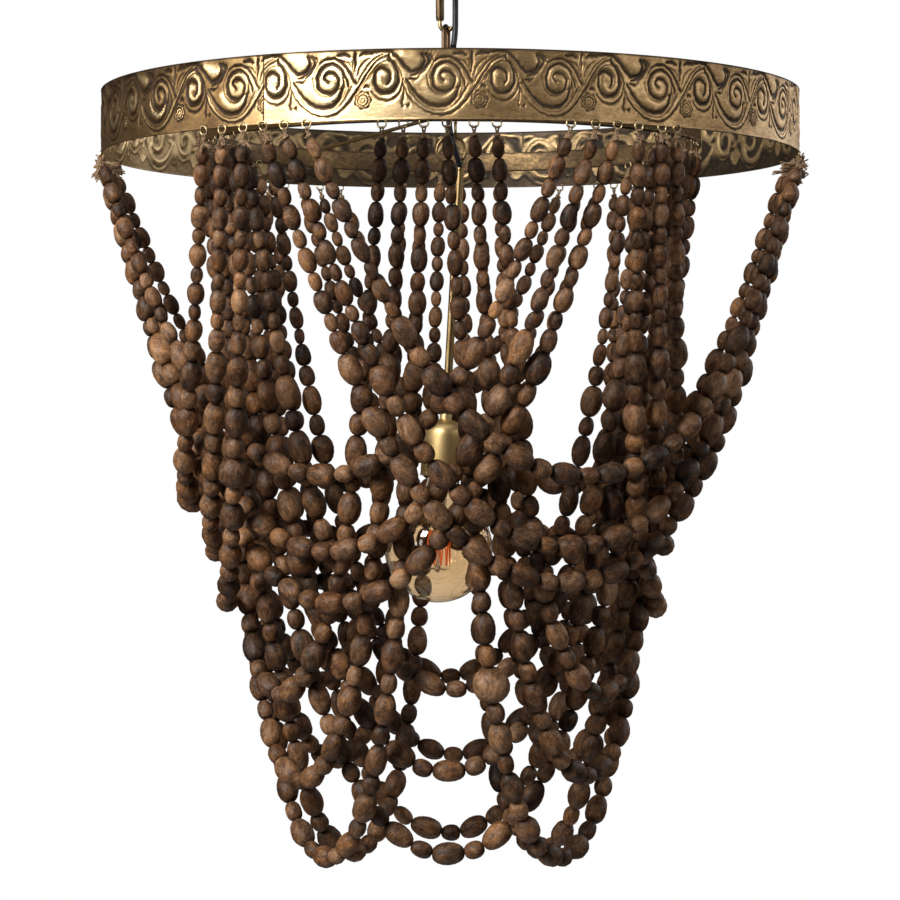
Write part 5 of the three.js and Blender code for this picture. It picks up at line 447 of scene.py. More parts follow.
         -123.07, -30.2, -774.82, -114.39, -44.82, -781.06, -100.48, -67.93, -780.22, -92.12, -81.73, -773.32, -80.89, -100.28, -755.38, -75.16, -109.91, -741.67, -67.66, -122.72, -716.99, -63.87, -129.32, -701.01, -58.54, -138.66, -674.36, -55.65, -143.74, -657.69,
         -51.48, -150.96, -630.69, -49.07, -155.03, -613.52, -45.46, -160.94, -585.25, -43.41, -164.31, -567.28, -40.58, -169.37, -538.13, -39.06, -172.67, -519.77, -37, -177.59, -492.77, -35.65, -180.74, -474.21, -33.8, -185.01, -447.49, -32.57, -187.84, -428.76,
         -30.79, -191.88, -400.61, -29.76, -194.21, -383.5, -28.39, -197.61, -357.02, -27.5, -200.06, -336.83, -26.86, -201.82, -322.05, -25.99, -204.2, -301.67, -25.4, -205.86, -287.29, -24.55, -208.19, -266.65, -23.93, -209.93, -251.07, -23.16, -212.05, -231.74,
         -22.62, -213.57, -217.65, -21.83, -215.76, -197.18, -21.27, -217.33, -182.38, -20.96, -218.2, -174.2]),
    "inner_m60_p60_1": ("ksmsmsmsmsmrLrLrLrLrLrLrLrLrLrLrLrLrLrLrmsmsmsmsmsk", [4, 11.24, 14.77, 11.61, 14.73, 11.75, 14.74, 10.85, 15.69, 11.29, 15.2, 16.05, 22.25, 16.31, 21.78, 16.83, 22.19, 16.51, 22.22, 16.7, 21.25, 16.68, 21.6, 16.16, 21.77, 15.88, 21.22, 16.69, 21.93, 16.63, 22.74, 16.1, 21.94, 16.62, 21.35, 15.64, 21.07, 15.72, 22.9, 16.61, 15.57, 10.64, 15.55, 10.96, 15.01, 11.6, 15.42, 10.7, 15.53, 10.68, 4],
        [-170.28, -138.03, -174.2, -169.37, -137.92, -180.13, -166.83, -137.62, -196.62, -163.98, -137.29, -214.96, -161.68, -137.01, -229.53, -158.42, -136.62, -249.79, -156.06, -136.33, -264.21, -152.89, -135.94, -283.29, -150.41, -135.62, -297.91, -147.19, -135.21, -316.56,
         -144.52, -134.87, -331.7, -140.94, -134.4, -351.53, -137.7, -133.97, -368.9, -131.96, -133.21, -397.51, -128.16, -132.71, -414.91, -121.34, -131.81, -443.48, -116.55, -131.16, -461.65, -108.83, -130.12, -487.83, -102.82, -129.3, -505.76, -93.28, -128.01, -530.45,
         -85.74, -127.6, -547.48, -73.58, -128.01, -571.32, -63.47, -128.36, -587.37, -44.68, -128.96, -609.27, -30.67, -129.45, -619.92, -3.56, -130.59, -629.53, 13.67, -131.38, -628.72, 40.18, -132.55, -617.13, 53.97, -133.03, -605.43, 70.54, -133.48, -584.59,
         80.22, -133.86, -568.76, 92.6, -134.52, -543.48, 99.59, -134.89, -526.11, 108.16, -135.33, -501.38, 113.16, -135.58, -485.01, 120.19, -135.91, -459.32, 124.27, -136.1, -442.88, 130.5, -136.38, -415.53, 134.07, -136.54, -398.47, 139.18, -136.73, -372.06,
         142.51, -136.83, -353.56, 146.07, -136.93, -332.98, 148.41, -137, -319.1, 151.72, -137.1, -299.03, 154.17, -137.17, -283.85, 157.31, -137.25, -263.9, 159.55, -137.31, -249.42, 162.57, -137.39, -229.46, 164.75, -137.44, -214.82, 167.47, -137.51, -196.15,
         169.46, -137.55, -182.41, 170.64, -137.58, -174.2]),
    "inner_m60_p60_2": ("ksmsmsmsmsmrLrLrLrBrLrLrLrLrLrLrLrLrLrLrLrLrLrmsmsmsmsmsk", [4, 11.35, 15.62, 11.56, 14.7, 10.76, 14.64, 11.47, 15.38, 11.33, 15.26, 15.69, 22.67, 15.73, 22.21, 16.67, 22.97, 15.54, 32.26, 16.46, 21.56, 15.75, 22.18, 16.55, 22.16, 16.86, 22.34, 16.62, 21.03, 15.65, 21.58, 16.73, 21.1, 16.46, 22.81, 15.59, 21.65, 16.09, 22.69, 16.98, 22.87, 15.63, 21.74, 16.19, 21.36, 16.45, 15.12, 11.63, 15.05, 11.52, 15.64, 11.63, 15.14, 10.93, 15.84, 10.65, 4],
        [-181.52, -122.87, -174.2, -180.77, -122.78, -180.15, -178.59, -122.5, -197.3, -176.05, -122.17, -217.11, -174.11, -121.93, -231.92, -171.43, -121.59, -252.11, -169.56, -121.35, -265.93, -166.76, -121.01, -286.23, -164.64, -120.75, -301.24, -161.81, -120.4, -320.93,
         -159.8, -120.16, -334.7, -156.7, -119.79, -355.36, -154.09, -119.48, -372.28, -149.51, -118.93, -400.34, -146.46, -118.57, -417.85, -141.25, -117.95, -445.96, -137.73, -117.54, -463.68, -131.7, -116.85, -491.8, -127.47, -116.36, -509.97, -120.27, -115.43, -536.76,
         -114.62, -114.59, -554.21, -104.58, -113.04, -581.42, -98.26, -112.5, -597.62, -87.78, -112.47, -622.9, -79.72, -112.54, -639.17, -64.37, -112.9, -663.8, -53.47, -113.2, -676.75, -31.2, -113.79, -694.01, -14.95, -114.06, -699.71, 12.81, -114.24, -698.56,
         29.08, -114.3, -691.66, 50.56, -114.43, -674.22, 62.58, -114.58, -659.72, 77.27, -114.83, -636.47, 85.68, -114.97, -619.89, 97.16, -115.54, -594.01, 103.58, -116.05, -577.95, 112.66, -116.74, -551.97, 118.16, -117.15, -534.21, 125.93, -117.75, -506.08,
         130.36, -118.11, -488.34, 136.74, -118.65, -460.3, 140.46, -118.98, -442.56, 145.81, -119.47, -415.19, 148.95, -119.75, -398.03, 153.4, -120.17, -371.99, 156.12, -120.45, -354.98, 159.26, -120.76, -334.63, 161.56, -120.99, -319.43, 164.58, -121.28, -298.96,
         166.6, -121.48, -284.96, 169.48, -121.75, -264.6, 171.37, -121.93, -250.93, 174.04, -122.18, -231.2, 176.07, -122.37, -216.01, 178.51, -122.6, -197.38, 180.44, -122.78, -182.51, 181.52, -122.88, -174.2]),
    "inner_m60_p60_3": ("ksmsmsmsmsmLrLrLrLrLrLrLrLrLrLrLrLrLrLrLrLrLrLrLrLrLmsmsmsmsmsk", [4, 11.7, 14.55, 11.25, 15.89, 10.85, 15.23, 11.03, 15.9, 11.6, 14.73, 21.12, 16.36, 21.19, 16.37, 22.27, 16.84, 22.9, 16.47, 21.81, 15.6, 22.82, 15.88, 21.28, 15.84, 22.6, 15.88, 21.08, 16.86, 21.41, 15.88, 21.61, 15.98, 22.64, 15.88, 21.87, 15.78, 22.8, 16.06, 22.35, 16.32, 22.65, 16.79, 21.27, 16.03, 21.51, 16.29, 20.94, 16.45, 22.55, 16.53, 21.32, 14.97, 11.32, 14.72, 11.57, 15.75, 10.9, 14.52, 11.68, 14.53, 10.95, 4],
        [-191.3, -107.02, -174.2, -190.62, -106.92, -180.16, -188.65, -106.61, -197.53, -186.48, -106.28, -216.44, -184.69, -106, -231.9, -182.45, -105.65, -250.93, -180.63, -105.36, -266.05, -178.15, -104.97, -286.38, -176.31, -104.68, -301.19, -173.8, -104.28, -321.03,
         -171.95, -103.98, -335.33, -169.31, -103.55, -355.39, -165.58, -102.94, -382.42, -162.85, -102.49, -401.21, -158.82, -101.81, -427.48, -155.8, -101.31, -446.14, -151.31, -100.56, -472.28, -147.88, -99.98, -490.9, -142.21, -99.03, -519.7, -138.61, -98.49, -537.28,
         -132.18, -97.56, -565.36, -127.92, -96.91, -582.31, -120.17, -95.7, -610.05, -114.6, -95, -627.94, -105.44, -94.12, -654.5, -98.89, -93.48, -671.15, -87.84, -93, -695.73, -79.87, -93.14, -710.94, -65.43, -93.45, -733.64, -54.2, -93.71, -747.23,
         -33.03, -94.15, -764.54, -15.57, -94.35, -771.75, 12.17, -94.48, -771.72, 28.36, -94.7, -765.36, 50.15, -95.26, -747.9, 61.11, -95.6, -734.82, 76.29, -96.05, -711.07, 84.74, -96.22, -694.49, 96.19, -96.65, -668.22, 102.84, -97.06, -650.29,
         112.04, -97.87, -622.68, 117.39, -98.48, -605.25, 124.37, -99.35, -579.89, 128.73, -99.89, -562.48, 134.87, -100.63, -535.8, 138.47, -101.03, -518.9, 144.23, -101.64, -490.03, 147.75, -102.01, -471.93, 152.75, -102.52, -444.49, 155.86, -102.84, -426.48,
         160.22, -103.29, -399.85, 162.96, -103.58, -382.28, 166.99, -104.03, -355.24, 169.85, -104.36, -335.34, 172, -104.62, -320.06, 174.64, -104.94, -301.12, 176.57, -105.18, -287.03, 179.28, -105.52, -267.01, 181.18, -105.76, -252.68, 183.91, -106.12, -231.87,
         185.77, -106.36, -217.46, 188.33, -106.7, -197.39, 190.2, -106.95, -182.56, 191.26, -107.09, -174.2]),
    "inner_p60_p180_1": ("ksmsmsmsmsmLrLrLrLrLrLrLrLrLrLrLrLrLrLrLmsmsmsmsmsk", [4, 11.41, 14.61, 11.33, 14.78, 10.92, 15.93, 11.75, 14.56, 11.13, 14.64, 21.04, 17.05, 21, 16.53, 21.02, 16.41, 22.92, 16.57, 22.49, 16.02, 22.88, 16.34, 21.45, 16.63, 22.49, 16.3, 21.86, 16.08, 21.55, 15.89, 22.43, 16.88, 21.07, 15.52, 22.55, 16.16, 22.06, 15.64, 21.01, 14.46, 11.53, 15.84, 10.95, 15.83, 10.76, 14.54, 11.22, 14.66, 11.31, 4],
        [211.69, -56.87, -174.2, 210.98, -56.31, -180.13, 208.97, -54.74, -196.73, 206.48, -52.8, -217.02, 204.75, -51.45, -230.9, 202.29, -49.52, -250.33, 200.5, -48.12, -264.18, 197.9, -46.07, -283.92, 195.97, -44.54, -298.18, 193.25, -42.39, -317.9,
         191.21, -40.77, -332.35, 188.47, -38.59, -351.33, 184.48, -35.39, -377.36, 181.41, -32.95, -396, 176.5, -29.08, -423.53, 173.12, -26.42, -441.07, 167.38, -21.95, -468.32, 163.61, -19.05, -484.67, 157.37, -12.61, -512.42, 153.67, -7.48, -529.25,
         148.29, 0.83, -555.64, 144.77, 6.47, -571.3, 138.72, 16.83, -594.81, 133.92, 25.83, -610.38, 124.96, 42.74, -630.65, 118.15, 55.69, -639.34, 105.31, 80.21, -641.93, 97.51, 94.87, -635.11, 87.64, 113.24, -616.41, 82.64, 122.66, -601.78,
         76.19, 135.02, -575.82, 73.12, 141.82, -559.31, 69.5, 151.08, -534.26, 67.42, 156.5, -517.06, 64.66, 163.74, -490.95, 63.03, 168.08, -473.58, 60.75, 174.14, -446.57, 59.33, 177.89, -428.01, 57.5, 182.76, -401.73, 56.29, 185.96, -382.95,
         54.61, 190.44, -354.63, 53.48, 193.46, -334.13, 52.67, 195.63, -319.05, 51.7, 198.23, -300.44, 50.94, 200.27, -285.55, 49.94, 202.95, -265.46, 49.26, 204.76, -251.56, 48.28, 207.38, -231.05, 47.59, 209.24, -216.22, 46.71, 211.61, -196.98,
         46.02, 213.44, -181.96, 45.67, 214.39, -174.2]),
    "inner_p60_p180_2": ("ksmsmsmsmsmsLrLrLrLrLrLrLrLrLrLrLrLrLrLrLrLrLsmsmsmsmsmsk", [4, 11.55, 14.99, 10.72, 14.79, 11.26, 15.04, 11.28, 15.37, 10.97, 14.66, 11.51, 22.04, 15.87, 22.7, 16.51, 22.16, 16.18, 23.01, 16.33, 21.38, 16.13, 21.11, 16.26, 22.82, 16.15, 21.74, 16.92, 22.5, 15.92, 21.67, 16.17, 21.99, 15.49, 21.35, 15.54, 22.4, 16.94, 21.95, 15.74, 21.38, 16.55, 22.77, 16.36, 22.07, 11.49, 15.17, 11, 15, 10.83, 14.69, 10.91, 15.9, 10.64, 14.66, 10.82, 4],
        [205.72, -75.68, -174.2, 205.09, -75.12, -180.14, 203.27, -73.54, -197.1, 201.02, -71.56, -217.92, 199.34, -70.1, -233.1, 197.2, -68.23, -252.23, 195.47, -66.71, -267.36, 193.04, -64.57, -288.26, 191.24, -63, -303.3, 188.85, -60.89, -322.97,
         186.93, -59.2, -338.37, 184.47, -57.02, -357.74, 182.6, -55.37, -372.09, 178.57, -51.76, -401.35, 175.85, -49.29, -419.82, 171.6, -45.47, -446.55, 168.43, -42.6, -465.12, 163.12, -38.18, -493.59, 159.29, -35.05, -512.4, 153.24, -29.65, -540.35,
         150.02, -25.39, -557.68, 145.84, -18.78, -583.61, 142.95, -13.84, -601.95, 138.2, -5.81, -627.9, 134.89, 0.02, -644.03, 129.04, 10.82, -668.22, 124.44, 19.46, -682.92, 115.46, 36.62, -703.15, 107.5, 51.72, -712.32, 94.7, 75.4, -712.63,
         86.62, 90.22, -704.33, 77.1, 107.73, -684.93, 72.16, 116.91, -669.88, 66.32, 128.18, -645.94, 62.94, 135.02, -628.59, 58.35, 144.76, -600.74, 55.67, 150.92, -582.75, 52.31, 158.58, -556.59, 50.28, 163.23, -538.51, 47.51, 169.6, -510.73,
         45.92, 173.24, -493.31, 43.71, 178.36, -466.89, 42.38, 181.45, -449.73, 40.27, 186.36, -420.13, 39.06, 189.21, -401.6, 37.29, 193.36, -372.68, 36.46, 195.32, -358.22, 35.35, 197.91, -338.68, 34.57, 199.74, -324.58, 33.44, 202.38, -303.79,
         32.69, 204.14, -289.67, 31.62, 206.65, -269.08, 30.87, 208.41, -254.36, 29.82, 210.85, -233.49, 29.1, 212.53, -218.81, 28.09, 214.89, -197.87, 27.35, 216.63, -182.31, 26.96, 217.54, -174.2]),
    "inner_p60_p180_3": ("ksmsmsmsmsmLrLrBrLrLrLrLrLrLrLrLrLrLrLrLrLrLrLrLrLrLmsmsmsmsmsk", [4, 11.56, 15.82, 10.85, 15.24, 11.21, 15.54, 10.65, 15.59, 11.38, 15.63, 21.77, 16.17, 22.1, 16.85, 30.1, 15.99, 21.94, 17.09, 21.74, 16.65, 22.43, 17.02, 21.97, 16.7, 23.1, 16.89, 22.03, 15.6, 22.68, 16.75, 22.46, 16.57, 22.47, 15.7, 22.06, 16.57, 22.26, 17.03, 20.95, 16.39, 23.01, 16.51, 21.55, 15.89, 22.58, 16.2, 22.61, 16.82, 21.71, 15.69, 21.86, 15.66, 10.82, 14.82, 10.95, 15.23, 11.36, 14.76, 11.4, 15.55, 11.38, 4],
        [198.89, -92.14, -174.2, 198.31, -91.66, -180.15, 196.63, -90.26, -197.34, 194.76, -88.71, -216.27, 193.3, -87.49, -230.92, 191.34, -85.85, -250.48, 189.78, -84.54, -265.77, 187.59, -82.7, -287.04, 185.99, -81.34, -302.4, 183.86, -79.52, -322.71,
         182.26, -78.16, -337.73, 180.04, -76.25, -358.42, 176.94, -73.55, -386.36, 174.89, -71.76, -404.17, 171.29, -68.61, -433.97, 169.01, -66.63, -451.81, 164.87, -62.95, -480.9, 162.12, -60.45, -498.04, 157.53, -56.36, -524.62, 154.2, -53.44, -542.37,
         148.78, -48.73, -568.92, 144.63, -45.12, -587.5, 139.05, -39.34, -616.5, 135.51, -35.37, -635.17, 129.96, -29.1, -661.15, 126.24, -24.33, -678.97, 120.44, -15.74, -706.79, 116.36, -9.8, -722.55, 109.28, 1.12, -746.74, 103.89, 10.19, -762.57,
         94.44, 26.38, -781.75, 86.77, 39.54, -790.01, 72.14, 64.28, -791.16, 63.61, 78.62, -783.34, 52.78, 96.82, -762.23, 47.92, 105.21, -747.68, 42.1, 117.91, -721.56, 39.22, 124.68, -704.42, 35.98, 134.64, -677.24, 34.28, 140.08, -660.18,
         31.82, 147.6, -633.97, 30.19, 152.61, -616.15, 28.05, 159.32, -589.72, 26.72, 163.48, -571.57, 24.89, 169.25, -544.15, 23.76, 172.85, -525.73, 22.2, 177.85, -498.22, 21.19, 181.14, -478.92, 19.83, 185.65, -450.82, 18.99, 188.43, -432.5,
         17.81, 192.35, -405.12, 17.05, 194.9, -386.35, 16.01, 198.34, -359.53, 15.23, 200.88, -338.59, 14.69, 202.65, -323.77, 13.99, 204.91, -304.35, 13.44, 206.66, -289.05, 12.71, 209.02, -268.03, 12.2, 210.64, -253.34, 11.48, 212.94, -232.07,
         10.99, 214.48, -217.5, 10.34, 216.54, -197.87, 9.83, 218.14, -182.41, 9.56, 218.99, -174.2]),
    "inner_p180_m60_1": ("ksmsmsmsmsLrLrLrLrLrLrLrLrLrLrLrLrLrLrLrLsmsmsmsmsk", [4, 10.8, 14.63, 11.68, 15.96, 11.47, 14.72, 11.67, 15.81, 10.66, 21.7, 16.1, 22.57, 15.9, 22.99, 16.81, 22.24, 16.82, 22.12, 16.32, 20.99, 15.61, 22.5, 16.95, 21.71, 15.86, 22.07, 15.62, 21.88, 15.95, 22.69, 16.35, 21.15, 16.3, 21.54, 16.51, 21.91, 17.02, 22.6, 16.56, 21.64, 10.73, 14.63, 11.17, 15.77, 11.24, 15.54, 11.57, 15.82, 11.03, 4],
        [-46.16, 214.28, -174.2, -46.44, 213.49, -180.14, -47.26, 211.19, -197.29, -48.16, 208.64, -216.07, -48.83, 206.74, -229.92, -49.82, 203.95, -249.81, -50.51, 201.99, -263.44, -51.55, 199.06, -283.56, -52.33, 196.86, -298.31, -53.4, 193.85, -318,
         -54.21, 191.56, -332.69, -55.74, 187.22, -359.07, -56.81, 184.22, -376.15, -58.68, 178.95, -403.91, -59.93, 175.43, -420.98, -62.1, 169.32, -447.99, -63.57, 165.2, -464.49, -66.09, 158.15, -490.02, -67.95, 152.93, -506.84, -71.05, 144.2, -531.56,
         -73.48, 137.32, -548.23, -78.1, 126.8, -572.96, -81.84, 120.08, -588.25, -89.6, 107.15, -611.7, -96.09, 97.3, -624.69, -109.87, 76.91, -639.85, -119.88, 62.05, -641.84, -134.41, 40.09, -631.01, -142, 28.58, -618.41, -150.64, 15.52, -596.92,
         -155.2, 8.7, -581.89, -161.87, -0.88, -555.28, -165.61, -5.9, -539.36, -171.35, -12.9, -512.31, -174.79, -16.7, -494.98, -179.38, -21.72, -469.43, -182.33, -24.94, -451.37, -186.33, -29.28, -424.61, -188.81, -31.96, -406.47, -192.21, -35.63, -379.17,
         -194.26, -37.89, -361.21, -197.06, -41.05, -334.54, -198.54, -42.71, -319.61, -200.48, -44.88, -299.68, -201.9, -46.47, -284.67, -203.78, -48.57, -264.3, -205.15, -50.09, -249.15, -206.82, -51.95, -230.26, -208.13, -53.4, -215.15, -209.71, -55.15, -196.57,
         -210.91, -56.48, -182.31, -211.59, -57.24, -174.2]),
    "inner_p180_m60_2": ("ksmsmsmsmsmLrLrLrLrLrLrLrLrLrLrLrLrLrLrLrLrLrLmsmsmsmsmsk", [4, 11.58, 15.14, 11.51, 14.93, 11.68, 15.18, 11.21, 14.78, 10.69, 14.44, 23.01, 15.56, 21.95, 16.03, 21.7, 16.01, 22.6, 16.06, 22.1, 15.53, 21.1, 16.21, 22.63, 16.16, 22.99, 16.26, 21.81, 17.04, 21.77, 16.05, 22.09, 15.73, 22.48, 17.06, 22.54, 15.71, 21.03, 16.71, 22.55, 16, 22.26, 16.96, 21.54, 16.12, 21.55, 14.62, 11.47, 15.41, 11.66, 15.25, 10.94, 14.79, 11.13, 15.9, 11.14, 4],
        [-27.65, 217.45, -174.2, -27.86, 216.73, -180.15, -28.48, 214.66, -197.09, -29.23, 212.18, -217.23, -29.77, 210.41, -231.43, -30.53, 207.93, -250.93, -31.12, 206.06, -265.39, -31.97, 203.33, -286.04, -32.59, 201.41, -300.35, -33.46, 198.68, -320.32,
         -34.12, 196.64, -334.96, -34.98, 193.94, -354.03, -36.24, 189.73, -382.13, -37.02, 186.9, -399.91, -38.36, 182.09, -428.22, -39.26, 178.91, -445.62, -40.86, 173.46, -473.32, -42, 169.64, -491.17, -44.06, 163.34, -518.55, -45.7, 158.68, -537.12,
         -48.25, 151.44, -562.92, -50.17, 145.98, -580.17, -53.96, 136.96, -607.66, -57.04, 131.56, -625.25, -62.72, 121.86, -651.57, -67.11, 115.02, -666.66, -75.75, 101.5, -688.8, -82.79, 90.71, -700.6, -97.27, 69.09, -712.76, -107.51, 53.65, -712.41,
         -120.95, 32.88, -700.15, -127.99, 21.91, -687.95, -136.57, 8.57, -666.23, -141.6, 0.85, -649.55, -148.42, -8.71, -622.99, -152.37, -13.76, -605.55, -158.13, -20.52, -579.59, -161.85, -24.6, -562.65, -166.94, -30.16, -536.82, -170.11, -33.64, -518.87,
         -174.59, -38.62, -490.3, -177.03, -41.37, -472.96, -180.58, -45.42, -445.38, -182.76, -47.93, -427.02, -185.95, -51.62, -398.02, -187.76, -53.69, -380.7, -190.39, -56.63, -354.26, -192.23, -58.61, -335.1, -193.65, -60.14, -320, -195.44, -62.06, -300.72,
         -196.75, -63.46, -286.38, -198.57, -65.4, -266.05, -199.83, -66.73, -251.85, -201.55, -68.56, -232.03, -202.86, -69.96, -216.69, -204.56, -71.75, -196.6, -205.74, -72.99, -182.51, -206.43, -73.73, -174.2]),
    "inner_p180_m60_3": ("ksmsmsmsmsmrLrLrLrLrLrLrLrLrLrLrLrLrLrLrLrLrLrLrLrLrLrmsmsmsmsmsk", [4, 11.7, 14.87, 11.26, 15.45, 11.49, 14.55, 11.18, 15.01, 11.7, 15.86, 16.56, 22.66, 15.82, 22.59, 15.86, 22.24, 16.86, 22.07, 16.79, 22, 16.95, 21.51, 15.8, 21.18, 15.8, 21.28, 16.21, 21.34, 15.89, 22.51, 16.97, 21.18, 16.11, 22.35, 15.81, 22.49, 16.34, 21.09, 15.73, 22.75, 16.11, 21.05, 15.89, 20.92, 15.76, 22.25, 15.66, 21.75, 15.51, 22.32, 16.89, 22.28, 16.46, 15.45, 11.45, 15.15, 11.58, 15.94, 11.7, 14.63, 11.3, 15.68, 10.64, 4],
        [-9.67, 218.99, -174.2, -9.86, 218.26, -180.15, -10.41, 216.19, -197.05, -11.06, 213.76, -216.71, -11.52, 212.04, -230.49, -12.16, 209.6, -249.8, -12.64, 207.77, -264.06, -13.28, 205.28, -283.3, -13.78, 203.36, -297.92, -14.47, 200.69, -318.07,
         -14.99, 198.71, -332.79, -15.66, 196.13, -351.68, -16.3, 193.73, -368.98, -17.55, 189.55, -397.67, -18.39, 186.88, -415.16, -19.81, 182.35, -443.31, -20.75, 179.24, -461.54, -22.21, 174.3, -488.72, -23.24, 170.69, -507.16, -24.97, 165.17, -535.78,
         -26.13, 161.88, -553.16, -28.2, 156.02, -581.33, -29.66, 151.94, -599.08, -32.13, 145.24, -625.57, -33.94, 140.45, -642.69, -37.24, 131.81, -670.3, -39.6, 125.68, -687.53, -44.11, 116.03, -713.29, -47.37, 109.52, -728.46, -54.2, 97.42, -752.91,
         -59.66, 88.7, -767.38, -70.27, 71.39, -786.07, -78.88, 57.47, -792.98, -92.98, 35.04, -792.41, -101.26, 21.89, -785.47, -112.11, 4.57, -766.51, -117.56, -4.11, -752.14, -125.13, -15.36, -727.14, -129.17, -20.97, -711.34, -135.72, -29.2, -684.6,
         -139.76, -33.93, -667.15, -145.11, -40.24, -640.21, -147.96, -43.75, -623.19, -152.81, -48.54, -596.86, -155.75, -51.26, -580.3, -160.09, -55.29, -553.71, -162.81, -57.82, -535.79, -166.75, -61.46, -507.8, -169.02, -63.55, -490.61, -172.29, -66.56, -464.4,
         -174.46, -68.53, -446.19, -177.4, -71.2, -420.19, -179.36, -72.98, -401.84, -182.24, -75.59, -373.36, -183.85, -77.06, -356.47, -185.73, -78.78, -336.21, -187.06, -80, -321.53, -188.91, -81.7, -300.75, -190.23, -82.92, -285.52, -191.96, -84.53, -265.2,
         -193.12, -85.6, -251.26, -194.71, -87.09, -231.75, -195.92, -88.21, -216.77, -197.47, -89.67, -197.04, -198.58, -90.7, -182.96, -199.26, -91.34, -174.2]),
}


# ------------------------------------------------------------------ materials
def material(name):
    m = bpy.data.materials.new(name)
    m.use_nodes = True
    nt = m.node_tree
    return m, nt, nt.nodes["Principled BSDF"]


def node(nt, kind, inputs=None, **props):
    n = nt.nodes.new(kind)
    for k, v in props.items():
        setattr(n, k, v)
    for k, v in (inputs or {}).items():
        if hasattr(v, "bl_idname") and hasattr(v, "is_output"):
            nt.links.new(v, n.inputs[k])
        else:
            n.inputs[k].default_value = v
    return n


def ramp(nt, fac, stops):
    n = nt.nodes.new("ShaderNodeValToRGB")
    e = n.color_ramp.elements
    while len(e) > 1:
        e.remove(e[-1])
    e[0].position, e[0].color = stops[0][0], (*stops[0][1], 1)
    for p, c in stops[1:]:
        x = e.new(p)
        x.color = (*c, 1)
    nt.links.new(fac, n.inputs["Fac"])
    return n.outputs["Color"]


def maths(nt, op, a, b=None, clamp=False):
    n = nt.nodes.new("ShaderNodeMath")
    n.operation, n.use_clamp = op, clamp
    for i, v in enumerate((a, b)):
        if v is None:
            continue
        if isinstance(v, (int, float)):
            n.inputs[i].default_value = v
        else:
            nt.links.new(v, n.inputs[i])
    return n.outputs[0]


def mixed(nt, fac, a, b, blend="MIX"):
    n = nt.nodes.new("ShaderNodeMix")
    n.data_type, n.blend_type = "RGBA", blend
    for key, v in (("Factor", fac), ("A", a), ("B", b)):
        s = [i for i in n.inputs if i.name == key and (i.type == "RGBA" if key != "Factor" else i.type == "VALUE")][0]
        if isinstance(v, (int, float)):
            s.default_value = v
        elif isinstance(v, tuple):
            s.default_value = (*v, 1)
        else:
            nt.links.new(v, s)
    return [o for o in n.outputs if o.type == "RGBA"][0]


def scaled(nt, vector, scale, rot=(0, 0, 0)):
    return node(nt, "ShaderNodeMapping", {"Vector": vector, "Scale": scale, "Rotation": rot}).outputs["Vector"]


def noise(nt, vector, scale=1.0, detail=3.0, rough=0.5, distortion=0.0):
    return node(nt, "ShaderNodeTexNoise", {"Vector": vector, "Scale": scale, "Detail": detail, "Roughness": rough, "Distortion": distortion}).outputs["Fac"]


def bump(nt, height, distance, strength=1.0, normal=None):
    n = node(nt, "ShaderNodeBump", {"Height": height, "Distance": distance, "Strength": strength})
    if normal is not None:
        nt.links.new(normal, n.inputs["Normal"])
    return n.outputs["Normal"]


